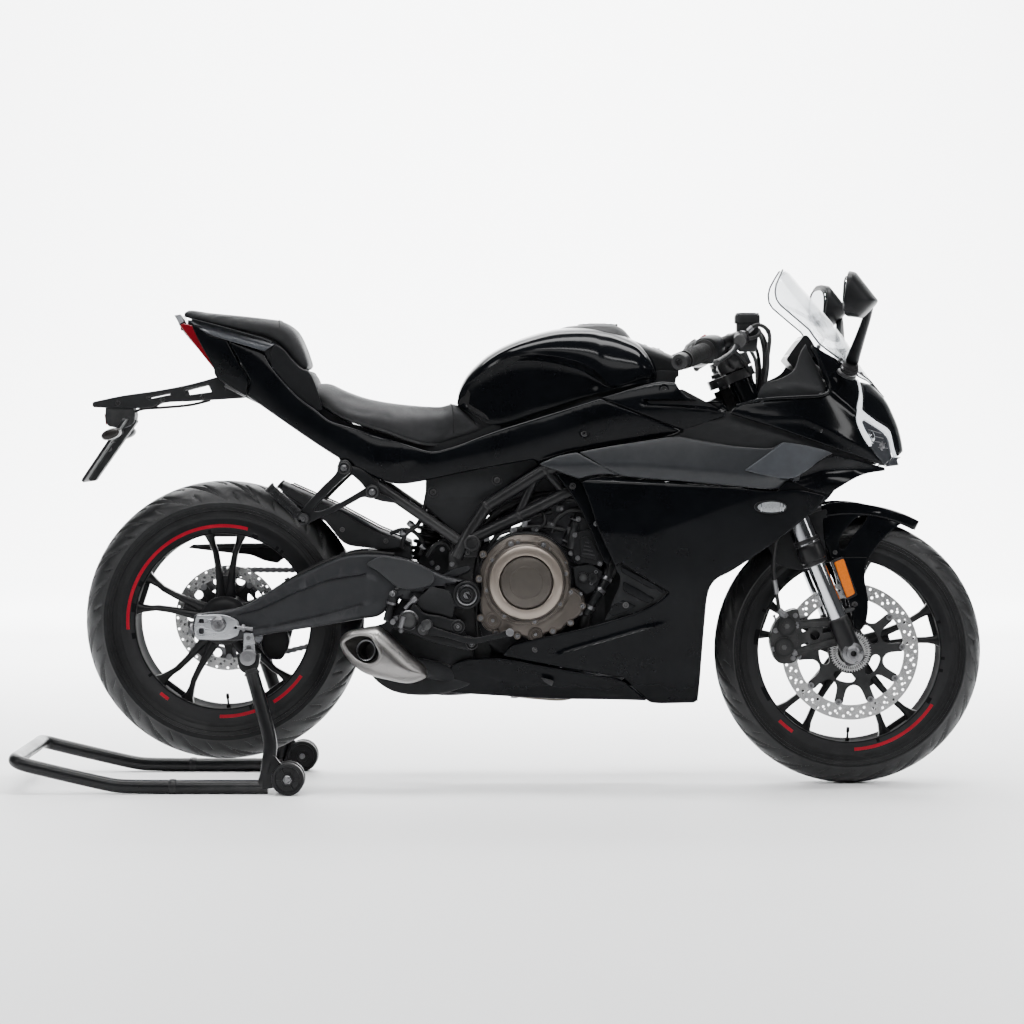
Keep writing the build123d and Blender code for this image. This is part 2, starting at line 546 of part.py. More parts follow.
with BuildPart() as instrument_panel:
    slab([(620, 930), (662, 985), (676, 978), (690, 950), (655, 905), (640, 910)], -72, 72)
    rod((668, 0, 930), (722, 0, 890), 8)
finish(instrument_panel, "instrument_panel")

mirror_edge = [(748, 1117), (760, 1117), (775, 1108), (812, 1052), (800, 1040), (790, 1022), (765, 1013),
               (738, 1022), (745, 1070)]
with BuildPart() as mirrors:
    slab(mirror_edge, -368, -236)
    front_cut([(-368, 1060), (-350, 1117), (-262, 1117), (-236, 1080), (-240, 1013), (-350, 1013)])
    pipe([(752, -118, 902), (770, -170, 936), (784, -225, 980), (782, -262, 1022)], 9, 40)
    mirror(about=Plane.XZ)
finish(mirrors, "mirrors")

belly_edge = [(-235, 216), (0, 199), (120, 184), (200, 190), (318, 187), (256, 236), (200, 247),
              (100, 265), (0, 284), (-80, 280), (-100, 272), (-120, 248), (-160, 228)]
belly_levels = [(176, hull_levels[0][1][:6]), (300, hull_levels[1][1][:6])]
with BuildPart() as belly_pan:
    body_tower(belly_levels, 2)
    body_tower([(206, hull_levels[0][1][:6]), (301, hull_levels[1][1][:6])], 8, mode=Mode.SUBTRACT)
    with BuildSketch(Plane.XZ.offset(-230)):
        Polygon(*belly_edge, align=None)
    extrude(amount=460, mode=Mode.INTERSECT)
    rod((-30, -62, 238), (-190, -166, 270), 25, mode=Mode.SUBTRACT)
    slab([(-300, 224), (-10, 224), (-10, 320), (-300, 320)], 100, 220, mode=Mode.SUBTRACT)
finish(belly_pan, "belly_pan")

with BuildPart() as front_indicators:
    for side in (-1, 1):
        with BuildSketch(Plane.XZ.offset(-side * 184 if side > 0 else 184)):
            with Locations((578, 612)):
                Ellipse(34, 13)
        extrude(amount=-16 if side > 0 else 16)
finish(front_indicators, "front_indicators")

# ---------------------------------------------------------------- tank, seats
tank_edge = [(-95, 835), (-90, 865), (-75, 895), (-55, 920), (-25, 945), (20, 970), (70, 988), (120, 997),
             (264, 986), (300, 970), (386, 936), (345, 902), (330, 890), (240, 863), (200, 850), (80, 825), (-20, 790)]
with BuildPart() as fuel_tank:
    slab(tank_edge, -165, 165)
    plan_cut([(-96, 62), (-60, 84), (0, 108), (80, 140), (180, 156), (260, 152), (330, 120), (388, 92)])
    front_cut([(-110, 785), (-140, 830), (-156, 880), (-154, 915), (-132, 955), (-88, 985), (-60, 998), (60, 998),
               (88, 985), (132, 955), (154, 915), (156, 880), (140, 830), (110, 785)])
    rod((212, 0, 984), (212, 0, 1003), 40, 0)
    rod((212, 0, 960), (212, 0, 1010), 28, mode=Mode.SUBTRACT)
finish(fuel_tank, "fuel_tank")

with BuildPart() as fuel_cap:
    rod((212, 0, 1003.3), (212, 0, 1010), 44)
    rod((212, 0, 990), (212, 0, 1003.3), 26)
    rod((254, -14, 1007), (254, 14, 1007), 3)
finish(fuel_cap, "fuel_cap")

seat_edge = [(-400, 880), (-385, 878), (-350, 862), (-300, 843), (-250, 833), (-200, 827), (-150, 823), (-130, 825),
             (-110, 832), (-100, 831), (-75, 815), (-30, 788), (-60, 768), (-130, 745), (-160, 743), (-190, 750),
             (-250, 775), (-330, 798), (-380, 830), (-412, 868)]
with BuildPart() as rider_seat:
    slab(seat_edge, -150, 150)
    plan_cut([(-415, 108), (-340, 134), (-260, 140), (-180, 118), (-110, 84), (-28, 78)])
finish(rider_seat, "rider_seat")

pillion_edge = [(-697, 1030), (-690, 1037), (-640, 1030), (-560, 1022), (-480, 1012), (-465, 1005), (-450, 995),
                (-440, 975), (-430, 950), (-418, 917), (-425, 908), (-435, 908), (-450, 925), (-480, 970),
                (-520, 983), (-620, 1005), (-660, 1018)]
with BuildPart() as pillion_seat:
    slab(pillion_edge, -110, 110)
    plan_cut([(-700, 46), (-600, 76), (-500, 98), (-440, 96), (-416, 84)])
finish(pillion_seat, "pillion_seat")

side_panel_edge = [(-698, 1010), (-652, 1004), (-515, 940), (-500, 920), (-440, 850), (-400, 820), (-370, 797), (-340, 788),
                   (-260, 765), (-200, 745), (-165, 733), (-145, 731), (-100, 742), (-20, 772), (100, 810),
                   (215, 846), (340, 880), (375, 878), (385, 860), (415, 840), (488, 824), (480, 805), (392, 775), (365, 765),
                   (200, 737), (150, 728), (80, 706), (80, 700), (70, 714), (-80, 685), (-160, 667), (-200, 660), (-250, 665),
                   (-345, 712), (-540, 843), (-612, 893)]
side_panel_plan = [(-702, 52), (-620, 72), (-515, 96), (-400, 128), (-280, 144), (-180, 132), (-100, 122),
                   (0, 136), (100, 160), (200, 176), (300, 184), (400, 182), (490, 178)]
with BuildPart() as side_panels:
    plan_band(side_panel_plan, skin, 600, 1100)
    slab(side_panel_edge, -230, 0, mode=Mode.INTERSECT)
    mirror(about=Plane.XZ)
finish(side_panels, "side_panels")

with BuildPart() as under_seat_covers:
    slab([(-160, 663), (-80, 680), (68, 708), (84, 698), (-30, 634), (-52, 612), (-100, 560), (-165, 612)],
         -99, -94)
    mirror(about=Plane.XZ)
finish(under_seat_covers, "under_seat_covers")

with BuildPart() as tail_cowl:
    slab([(-684, 1003), (-655, 1005), (-520, 966), (-488, 958), (-458, 914), (-440, 896), (-424, 884), (-432, 878),
          (-450, 892), (-500, 940), (-634, 968), (-655, 972)], -120, 120)
    plan_cut([(-700, 44), (-620, 62), (-515, 86), (-440, 104), (-416, 108)])
finish(tail_cowl, "tail_cowl")

with BuildPart() as tail_light:
    slab([(-716, 1028), (-700, 1030), (-697, 1010), (-612, 914), (-620, 904), (-706, 1004)], -52, 52)
    plan_cut([(-718, 34), (-700, 44), (-610, 50)])
finish(tail_light, "tail_light")

plate_dir = Vector(-93, 0, -138).normalized()
with BuildPart() as plate_bracket:
    for side in (-1, 1):
        slab([(-897, 838), (-830, 852), (-760, 862), (-690, 875), (-640, 888), (-620, 895), (-560, 880), (-540, 856),
              (-600, 845), (-680, 840), (-750, 835), (-765, 828), (-870, 825), (-897, 825)],
             *sorted((side * 24, side * 34)))
    slab([(-897, 832), (-640, 884), (-640, 878), (-897, 825)], -24, 24)
    slab([(-868, 830), (-812, 834), (-806, 790), (-830, 782), (-866, 786)], -30, 30)
    with BuildSketch(Plane(origin=(-816, 0, 800), x_dir=(0, 1, 0), z_dir=(-138, 0, 93))):
        with Locations((0, 83)):
            RectangleRounded(180, 166, 8)
    extrude(amount=5)
    plate_mid = Vector(-816, 0, 800) + plate_dir * 83
    with BuildSketch(Plane(origin=plate_mid, x_dir=(0, 1, 0), z_dir=(-138, 0, 93)).offset(-20)):
        with Locations((-plate_hole_pcd / 2, 0), (plate_hole_pcd / 2, 0)):
            Circle(plate_hole_r)
    extrude(amount=60, mode=Mode.SUBTRACT)
    rod((-842, -96, 768), (-842, 96, 768), 6)
finish(plate_bracket, "plate_bracket")

with BuildPart() as rear_indicators:
    for side in (-1, 1):
        rod((-842, side * 90, 768), (-842, side * 150, 768), 13)
finish(rear_indicators, "rear_indicators")

# ----------------------------------------------------------------- side stand
foot_end = stand_pivot + stowed * 205
with BuildPart() as side_stand:
    rod(stand_pivot - stand_axis * 11, stand_pivot + stand_axis * 11, 15)
    rod(stand_pivot, foot_end, 9)
    rod(foot_end - stowed * 6, foot_end + stowed * 14, 19)
    rod(stand_pivot - stand_axis * 30, stand_pivot + stand_axis * 30, stand_pin_r + running_gap, mode=Mode.SUBTRACT)
finish(side_stand, "side_stand")

# -------------------------------------------------------------- paddock stand
with BuildPart() as paddock_stand:
    pipe([(-494, -stand_y, 15), (-820, -stand_y, 15), (-1041, -stand_y, 70), (-1041, stand_y, 70),
          (-820, stand_y, 15), (-494, stand_y, 15)], stand_tube_r, 48)
    for side in (-1, 1):
        slab([(-524, 2), (-524, 40), (-512, 100), (-484, 96), (-440, 50), (-432, 28), (-446, 14), (-476, 2)],
             *sorted((side * 214, side * 222)))
        rod((-497, side * 215, 84), (spool_x + 6, side * 171, 262), 13)
        slab([(-566, 296), (-561, 296), (-556, 277), (-542, 272), (-528, 277), (-523, 296), (-516, 296),
              (-522, 264), (-542, 256), (-560, 264)], *sorted((side * 160, side * 180)))
        disc((roller_x, roller_r), *sorted((side * 190, side * 249)), roller_pin_r)
        disc((roller_x, roller_r), *sorted((side * 249, side * 253)), 10)
finish(paddock_stand, "paddock_stand")

for label, side in (("stand_roller_right", -1), ("stand_roller_left", 1)):
    with BuildPart() as roller:
        disc((roller_x, roller_r), *sorted((side * 194, side * 209)), roller_r, roller_pin_r + running_gap)
        disc((roller_x, roller_r), *sorted((side * 227, side * 245)), roller_r, roller_pin_r + running_gap)
    finish(roller, label)
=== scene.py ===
import math
import random

import bpy
import numpy as np
from mathutils import Matrix, Vector
from mathutils.geometry import delaunay_2d_cdt


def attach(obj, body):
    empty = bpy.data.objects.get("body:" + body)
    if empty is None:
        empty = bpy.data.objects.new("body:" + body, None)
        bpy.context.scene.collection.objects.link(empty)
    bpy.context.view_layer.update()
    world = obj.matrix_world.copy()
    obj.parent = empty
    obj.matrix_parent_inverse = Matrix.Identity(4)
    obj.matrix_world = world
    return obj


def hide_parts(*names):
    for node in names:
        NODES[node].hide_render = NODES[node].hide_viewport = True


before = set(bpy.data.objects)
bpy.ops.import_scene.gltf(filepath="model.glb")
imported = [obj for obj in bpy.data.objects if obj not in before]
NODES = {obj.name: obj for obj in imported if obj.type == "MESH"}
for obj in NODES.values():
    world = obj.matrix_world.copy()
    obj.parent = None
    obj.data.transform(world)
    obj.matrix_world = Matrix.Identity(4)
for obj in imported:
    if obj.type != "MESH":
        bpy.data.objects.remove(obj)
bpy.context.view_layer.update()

random.seed(7)
rng = np.random.default_rng(7)
MM = 0.001

# ------------------------------------------------------------------ materials
MATS = {}


def node(nt, kind, **kw):
    n = nt.nodes.new(kind)
    for k, v in kw.items():
        setattr(n, k, v)
    return n


def material(name, color, rough=0.35, metal=0.0, coat=0.0, coat_rough=0.03, spec=0.5, ior=1.5,
             rough_var=0.06, rough_scale=14.0, color_var=0.12, color_scale=40.0, bump=0.0, bump_scale=400.0,
             bump_kind="noise", stretch=(1, 1, 1), transmission=0.0, alpha=1.0, sheen=0.0, wear=0.0,
             wear_color=(0.3, 0.3, 0.3), emission=None, emission_strength=0.0, bump2=0.0, bump2_scale=40.0, aniso=0.0):
    m = bpy.data.materials.new(name)
    m.use_nodes = True
    nt = m.node_tree
    bsdf = nt.nodes["Principled BSDF"]
    tc = node(nt, "ShaderNodeTexCoord")
    mp = node(nt, "ShaderNodeMapping")
    mp.inputs["Scale"].default_value = stretch
    nt.links.new(tc.outputs["Object"], mp.inputs["Vector"])
    # colour: two tones mixed by a slow noise
    n1 = node(nt, "ShaderNodeTexNoise")
    n1.inputs["Scale"].default_value = color_scale
    n1.inputs["Detail"].default_value = 6.0
    n1.inputs["Roughness"].default_value = 0.6
    nt.links.new(mp.outputs[0], n1.inputs["Vector"])
    ramp = node(nt, "ShaderNodeValToRGB")
    lo = [max(0.0, c * (1 - color_var)) for c in color]
    hi = [min(1.0, c * (1 + color_var) + color_var * 0.004) for c in color]
    ramp.color_ramp.elements[0].position = 0.3
    ramp.color_ramp.elements[0].color = (*lo, 1)
    ramp.color_ramp.elements[1].position = 0.7
    ramp.color_ramp.elements[1].color = (*hi, 1)
    nt.links.new(n1.outputs[0], ramp.inputs[0])
    out_color = ramp.outputs[0]
    if wear > 0:
        geo = node(nt, "ShaderNodeNewGeometry")
        mr = node(nt, "ShaderNodeMapRange")
        mr.inputs["From Min"].default_value = 0.53
        mr.inputs["From Max"].default_value = 0.62
        mr.inputs["To Max"].default_value = wear
        nt.links.new(geo.outputs["Pointiness"], mr.inputs["Value"])
        mul = node(nt, "ShaderNodeMath", operation="MULTIPLY")
        nt.links.new(mr.outputs[0], mul.inputs[0])
        nt.links.new(n1.outputs[0], mul.inputs[1])
        mix = node(nt, "ShaderNodeMix", data_type="RGBA")
        mix.inputs[7].default_value = (*wear_color, 1)
        nt.links.new(mul.outputs[0], mix.inputs[0])
        nt.links.new(out_color, mix.inputs[6])
        out_color = mix.outputs[2]
    nt.links.new(out_color, bsdf.inputs["Base Color"])
    # roughness
    n2 = node(nt, "ShaderNodeTexNoise")
    n2.inputs["Scale"].default_value = rough_scale
    n2.inputs["Detail"].default_value = 5.0
    nt.links.new(mp.outputs[0], n2.inputs["Vector"])
    r = node(nt, "ShaderNodeMapRange")
    r.inputs["From Min"].default_value = 0.3
    r.inputs["From Max"].default_value = 0.7
    r.inputs["To Min"].default_value = max(0.02, rough - rough_var)
    r.inputs["To Max"].default_value = min(1.0, rough + rough_var)
    nt.links.new(n2.outputs[0], r.inputs["Value"])
    nt.links.new(r.outputs[0], bsdf.inputs["Roughness"])
    normal = None
    if bump > 0:
        if bump_kind == "voronoi":
            t = node(nt, "ShaderNodeTexVoronoi", feature="DISTANCE_TO_EDGE")
            t.inputs["Scale"].default_value = bump_scale
            src = t.outputs["Distance"]
        elif bump_kind == "wave":
            t = node(nt, "ShaderNodeTexWave")
            t.inputs["Scale"].default_value = bump_scale
            src = t.outputs[1]
        else:
            t = node(nt, "ShaderNodeTexNoise")
            t.inputs["Scale"].default_value = bump_scale
            t.inputs["Detail"].default_value = 3.0
            src = t.outputs[0]
        nt.links.new(mp.outputs[0], t.inputs["Vector"])
        b = node(nt, "ShaderNodeBump")
        b.inputs["Strength"].default_value = min(1.0, bump)
        b.inputs["Distance"].default_value = 0.0006
        nt.links.new(src, b.inputs["Height"])
        normal = b
    if bump2 > 0:
        t = node(nt, "ShaderNodeTexNoise")
        t.inputs["Scale"].default_value = bump2_scale
        t.inputs["Detail"].default_value = 2.0
        nt.links.new(tc.outputs["Object"], t.inputs["Vector"])
        b = node(nt, "ShaderNodeBump")
        b.inputs["Strength"].default_value = bump2
        b.inputs["Distance"].default_value = 0.002
        nt.links.new(t.outputs[0], b.inputs["Height"])
        if normal:
            nt.links.new(normal.outputs[0], b.inputs["Normal"])
        normal = b
    if normal:
        nt.links.new(normal.outputs[0], bsdf.inputs["Normal"])
    bsdf.inputs["Metallic"].default_value = metal
    bsdf.inputs["IOR"].default_value = ior
    bsdf.inputs["Specular IOR Level"].default_value = spec
    bsdf.inputs["Coat Weight"].default_value = coat
    bsdf.inputs["Coat Roughness"].default_value = coat_rough
    bsdf.inputs["Transmission Weight"].default_value = transmission
    bsdf.inputs["Alpha"].default_value = alpha
    bsdf.inputs["Sheen Weight"].default_value = sheen
    bsdf.inputs["Anisotropic"].default_value = aniso
    if emission:
        bsdf.inputs["Emission Color"].default_value = (*emission, 1)
        bsdf.inputs["Emission Strength"].default_value = emission_strength
    MATS[name] = m
    return m


material("gloss_black", (0.0020, 0.0024, 0.0032), rough=0.12, coat=0.05, coat_rough=0.03, spec=0.075, rough_var=0.035,
         rough_scale=6, color_var=0.25, color_scale=9, bump=0.03, bump_scale=1500)
material("satin_black", (0.0062, 0.0066, 0.0074), rough=0.38, rough_var=0.06, spec=0.17, bump=0.14, bump_scale=2200, wear=0.2)
material("matte_black", (0.0095, 0.010, 0.011), rough=0.60, rough_var=0.08, spec=0.18, bump=0.35, bump_scale=1500, bump_kind="voronoi", wear=0.12)
material("dark_grey", (0.0155, 0.0168, 0.0192), rough=0.36, rough_var=0.05, spec=0.25, coat=0.05, coat_rough=0.25, bump=0.12, bump_scale=2400)
# light_grey is the mid panel's paint; on the tail's top strip it is a painted highlight
material("light_grey", (0.036, 0.039, 0.045), rough=0.34, rough_var=0.05, spec=0.3, coat=0.06, coat_rough=0.25, bump=0.1, bump_scale=2400)
material("arm_grey", (0.0165, 0.0172, 0.0195), rough=0.42, metal=0.25, rough_var=0.06, spec=0.3, bump=0.22, bump_scale=1600, wear=0.4, wear_color=(0.2, 0.2, 0.21))
material("frame_black", (0.0068, 0.0068, 0.0075), rough=0.36, rough_var=0.07, spec=0.2, coat=0.05, coat_rough=0.2, bump=0.15, bump_scale=900, wear=0.25)
material("cast_black", (0.0066, 0.0068, 0.0075), rough=0.46, metal=0.2, rough_var=0.1, spec=0.16, bump=0.55, bump_scale=1100, wear=0.4, wear_color=(0.10, 0.10, 0.11))
material("bronze", (0.072, 0.062, 0.054), rough=0.42, metal=0.7, rough_var=0.07, bump=0.3, bump_scale=1300, color_var=0.10, wear=0.4, wear_color=(0.36, 0.31, 0.26))
material("brushed_steel", (0.24, 0.232, 0.226), rough=0.33, metal=1.0, rough_var=0.08, stretch=(3, 60, 60), rough_scale=30, color_var=0.08, bump=0.2, bump_scale=60, aniso=0.4)
material("cast_alloy", (0.17, 0.17, 0.177), rough=0.40, metal=0.9, rough_var=0.1, bump=0.3, bump_scale=900, color_var=0.12)
material("chrome", (0.60, 0.615, 0.64), rough=0.09, metal=1.0, rough_var=0.04, color_var=0.04, bump=0.03, bump_scale=900)
material("bolt_steel", (0.17, 0.17, 0.176), rough=0.32, metal=1.0, rough_var=0.1, color_scale=300, bump=0.2, bump_scale=1800)
material("black_bolt", (0.014, 0.014, 0.015), rough=0.34, metal=0.6, rough_var=0.1, bump=0.2, bump_scale=1800, wear=0.35)
material("disc_steel", (0.33, 0.33, 0.33), rough=0.28, metal=1.0, rough_var=0.07, color_var=0.07, rough_scale=90, bump=0.18, bump_scale=260, stretch=(1, 1, 1))
material("tyre_rubber", (0.0080, 0.0082, 0.0090), rough=0.42, rough_var=0.10, rough_scale=24, color_var=0.30, bump=0.3, bump_scale=2600, spec=0.42)
material("tyre_side", (0.0062, 0.0064, 0.0070), rough=0.46, rough_var=0.08, color_var=0.25, bump=0.25, bump_scale=2200, spec=0.18)
material("rubber", (0.0068, 0.0068, 0.0073), rough=0.62, rough_var=0.1, spec=0.18, bump=0.4, bump_scale=1900, color_var=0.3)
material("wheel_black", (0.0062, 0.0064, 0.0072), rough=0.36, rough_var=0.06, spec=0.2, bump=0.06, bump_scale=1600, wear=0.2)
material("red_stripe", (0.27, 0.003, 0.014), rough=0.34, coat=0.03, spec=0.12, color_var=0.10, bump=0.05, bump_scale=1500)
material("red_lens", (0.13, 0.002, 0.006), rough=0.12, coat=0.5, spec=0.3, color_var=0.18, color_scale=250, emission=(0.5, 0.01, 0.015), emission_strength=0.015, bump=0.15, bump_scale=500, bump_kind="wave")
# the reflector lens glows faintly by emission: a painted glow, as a reflector is no lamp
material("amber", (0.58, 0.13, 0.004), rough=0.30, coat=0.06, spec=0.10, color_var=0.15, color_scale=300, bump=0.5, bump_scale=420, bump_kind="voronoi", emission=(0.9, 0.16, 0.01), emission_strength=0.05)
material("seat_vinyl", (0.0105, 0.0108, 0.0120), rough=0.54, rough_var=0.07, color_var=0.2, spec=0.24, bump=0.75, bump_scale=850, bump_kind="voronoi", sheen=0.0)
material("gloss_screen", (0.003, 0.003, 0.004), rough=0.14, coat=0.05, spec=0.08, color_var=0.2, bump=0.02, bump_scale=900)
material("clear_lens", (0.86, 0.88, 0.90), rough=0.08, transmission=0.85, alpha=0.55, color_var=0.03, bump=0.25, bump_scale=420, bump_kind="wave", ior=1.45)
material("screen_clear", (0.50, 0.53, 0.56), rough=0.05, transmission=0.85, alpha=0.42, color_var=0.02, ior=1.3, spec=0.5, rough_var=0.03, bump=0.02, bump_scale=600)
material("lamp_white", (0.86, 0.89, 0.93), rough=0.25, color_var=0.05, emission=(0.9, 0.94, 1.0), emission_strength=0.55, bump=0.1, bump_scale=700)
material("smoke_lens", (0.035, 0.037, 0.042), rough=0.08, coat=0.35, spec=0.3, color_var=0.2, bump=0.05, bump_scale=500)
material("mirror_glass", (0.75, 0.76, 0.78), rough=0.04, metal=1.0, color_var=0.02, rough_var=0.02)
material("hose_black", (0.0085, 0.0085, 0.009), rough=0.45, rough_var=0.08, spec=0.25, bump=0.3, bump_scale=1400)
material("fin_metal", (0.032, 0.032, 0.034), rough=0.5, metal=0.6, rough_var=0.1, bump=0.9, bump_scale=320, bump_kind="wave", stretch=(1, 1, 1))
material("pad_foam", (0.012, 0.012, 0.012), rough=0.85, color_var=0.3, bump=0.5, bump_scale=1200)
material("cover_grey", (0.019, 0.0197, 0.0218), rough=0.44, rough_var=0.05, spec=0.3, bump=0.25, bump_scale=1700, bump_kind="voronoi", color_var=0.1)
material("spring_black", (0.011, 0.011, 0.012), rough=0.28, coat=0.1, spec=0.25, bump=0.1, bump_scale=900)
material("silencer_dark", (0.035, 0.033, 0.031), rough=0.55, metal=0.7, rough_var=0.1, bump=0.3, bump_scale=700, color_var=0.3)
material("fin_plain", (0.09, 0.09, 0.095), rough=0.45, metal=0.8, bump=0.2, bump_scale=900)
# darker, almost unreflecting copy of wheel_black for the rim's inner barrel: painted shade, not a different finish
material("rim_barrel_painted_shade", (0.0050, 0.0052, 0.0058), rough=0.62, rough_var=0.06, spec=0.03, bump=0.06, bump_scale=1600, color_var=0.1)
material("caliper_black", (0.0042, 0.0044, 0.0049), rough=0.42, rough_var=0.08, spec=0.10, bump=0.4, bump_scale=1100, wear=0.15)
material("stand_black", (0.0058, 0.006, 0.0068), rough=0.32, rough_var=0.05, spec=0.2, coat=0.05, coat_rough=0.2, bump=0.12, bump_scale=1300, wear=0.3)
material("roller_grey", (0.0060, 0.0060, 0.0068), rough=0.42, rough_var=0.07, spec=0.25, bump=0.2, bump_scale=1100, color_var=0.2)
G = MATS


# ------------------------------------------------------------------ geometry
def catmull(points, per=8, closed=False):
    """Points joined by a smooth curve through them."""
    p = np.array(points, float)
    n = len(p)
    out = []
    last = n if closed else n - 1
    for i in range(last):
        if closed:
            a, b, c, d = p[(i - 1) % n], p[i], p[(i + 1) % n], p[(i + 2) % n]
        else:
            b, c = p[i], p[i + 1]
            a = p[i - 1] if i > 0 else 2 * b - c
            d = p[i + 2] if i + 2 < n else 2 * c - b
        # centripetal parameters
        t0 = 0.0
        t1 = t0 + max(np.linalg.norm(b - a), 1e-6) ** 0.5
        t2 = t1 + max(np.linalg.norm(c - b), 1e-6) ** 0.5
        t3 = t2 + max(np.linalg.norm(d - c), 1e-6) ** 0.5
        for k in range(per):
            t = t1 + (t2 - t1) * k / per
            A1 = (t1 - t) / (t1 - t0) * a + (t - t0) / (t1 - t0) * b
            A2 = (t2 - t) / (t2 - t1) * b + (t - t1) / (t2 - t1) * c
            A3 = (t3 - t) / (t3 - t2) * c + (t - t2) / (t3 - t2) * d
            B1 = (t2 - t) / (t2 - t0) * A1 + (t - t0) / (t2 - t0) * A2
            B2 = (t3 - t) / (t3 - t1) * A2 + (t - t1) / (t3 - t1) * A3
            out.append((t2 - t) / (t2 - t1) * B1 + (t - t1) / (t2 - t1) * B2)
    if not closed:
        out.append(p[-1])
    return np.array(out)


def resample(points, step, closed=False):
    p = np.array(points, float)
    if closed:
        p = np.vstack([p, p[:1]])
    d = np.linalg.norm(np.diff(p, axis=0), axis=1)
    s = np.concatenate([[0], np.cumsum(d)])
    n = max(2, int(round(s[-1] / step)))
    t = np.linspace(0, s[-1], n + 1)
    if closed:
        t = t[:-1]
    return np.stack([np.interp(t, s, p[:, k]) for k in range(p.shape[1])], 1)


def fixed(points, n):
    """A closed outline redrawn with exactly n points."""
    p = np.vstack([np.array(points, float), np.array(points, float)[:1]])
    d = np.concatenate([[0], np.cumsum(np.linalg.norm(np.diff(p, axis=0), axis=1))])
    t = np.linspace(0, d[-1], n, endpoint=False)
    return np.stack([np.interp(t, d, p[:, k]) for k in range(p.shape[1])], 1)


def round_outline(points, corner=32.0, radius=4.0, step=4.0):
    """A closed side outline: gentle vertices become a curve, sharp ones a small round."""
    p = np.array(points, float)
    n = len(p)
    a = p - np.roll(p, 1, 0)
    b = np.roll(p, -1, 0) - p
    turn = np.degrees(np.abs(np.arctan2(a[:, 0] * b[:, 1] - a[:, 1] * b[:, 0], (a * b).sum(1))))
    corners = [i for i in range(n) if turn[i] > corner]
    if len(corners) < 2:
        return resample(catmull(p, 8, True), step, True)
    out = []
    for ci, i in enumerate(corners):
        j = corners[(ci + 1) % len(corners)]
        idx = [i]
        k = i
        while k != j:
            k = (k + 1) % n
            idx.append(k)
            if len(idx) > n + 1:
                break
        run = p[idx]
        if len(run) > 2:
            run = catmull(run, 8)
        run = resample(run, step)
        out.append(run)
    # round each corner
    pts = []
    for r_i, run in enumerate(out):
        nxt = out[(r_i + 1) % len(out)]
        L = np.concatenate([[0], np.cumsum(np.linalg.norm(np.diff(run, axis=0), axis=1))])
        total = L[-1]
        cut = min(radius, total * 0.3)
        t = np.linspace(cut, total - cut, max(2, int((total - 2 * cut) / step) + 1))
        mid = np.stack([np.interp(t, L, run[:, k]) for k in range(2)], 1)
        pts.extend(mid)
        Ln = np.concatenate([[0], np.cumsum(np.linalg.norm(np.diff(nxt, axis=0), axis=1))])
        cutn = min(radius, Ln[-1] * 0.3)
        nxt_start = np.array([np.interp(cutn, Ln, nxt[:, k]) for k in range(2)])
        c = run[-1]
        e = mid[-1]
        for u in (0.25, 0.5, 0.75):
            pts.append((1 - u) ** 2 * e + 2 * u * (1 - u) * c + u * u * nxt_start)
    return np.array(pts)


def inside(poly, pts):
    x, y = pts[:, 0], pts[:, 1]
    res = np.zeros(len(pts), bool)
    px, py = poly[:, 0], poly[:, 1]
    j = len(poly) - 1
    for i in range(len(poly)):
        cond = (py[i] > y) != (py[j] > y)
        with np.errstate(divide="ignore", invalid="ignore"):
            xi = (px[j] - px[i]) * (y - py[i]) / (py[j] - py[i] + 1e-12) + px[i]
        res ^= cond & (x < xi)
        j = i
    return res


def edge_distance(poly, pts):
    d = np.full(len(pts), 1e9)
    a = poly
    b = np.roll(poly, -1, 0)
    for i in range(len(poly)):
        ab = b[i] - a[i]
        L = (ab * ab).sum() + 1e-12
        t = np.clip(((pts - a[i]) @ ab) / L, 0, 1)
        q = a[i] + t[:, None] * ab
        d = np.minimum(d, np.hypot(pts[:, 0] - q[:, 0], pts[:, 1] - q[:, 1]))
    return d


def triangulate(loops, inner=None, extra=None):
    """Loops of 2-D points (first is the outline, others are holes), more points inside, and
    extra open polylines as edges. Gives vertices and triangles."""
    verts, edges = [], []
    for lp in loops:
        s = len(verts)
        verts.extend(map(tuple, lp))
        edges.extend((s + i, s + (i + 1) % len(lp)) for i in range(len(lp)))
    for ln in extra or []:
        s = len(verts)
        verts.extend(map(tuple, ln))
        edges.extend((s + i, s + i + 1) for i in range(len(ln) - 1))
    if inner is not None and len(inner):
        verts.extend(map(tuple, inner))
    vs, _, fs, _, _, _ = delaunay_2d_cdt([Vector(v) for v in verts], edges, [], 0, 1e-5, False)
    vs = np.array([tuple(v) for v in vs])
    fs = np.array([tuple(f) for f in fs if len(f) == 3])
    c = vs[fs].mean(1)
    keep = inside(np.array(loops[0]), c)
    for h in loops[1:]:
        keep &= ~inside(np.array(h), c)
    fs = fs[keep]
    tri = vs[fs]
    area = (tri[:, 1, 0] - tri[:, 0, 0]) * (tri[:, 2, 1] - tri[:, 0, 1]) - (tri[:, 1, 1] - tri[:, 0, 1]) * (tri[:, 2, 0] - tri[:, 0, 0])
    flip = area < 0
    fs[flip] = fs[flip][:, ::-1]
    fs = fs[np.abs(area) > 1e-7]
    used = np.unique(fs)
    remap = -np.ones(len(vs), int)
    remap[used] = np.arange(len(used))
    return vs[used], remap[fs]


def open_edges(fs):
    count = {}
    for f in fs:
        for k in range(3):
            e = (f[k], f[(k + 1) % 3])
            count[e] = count.get(e, 0) + 1
    return [e for e in count if (e[1], e[0]) not in count]


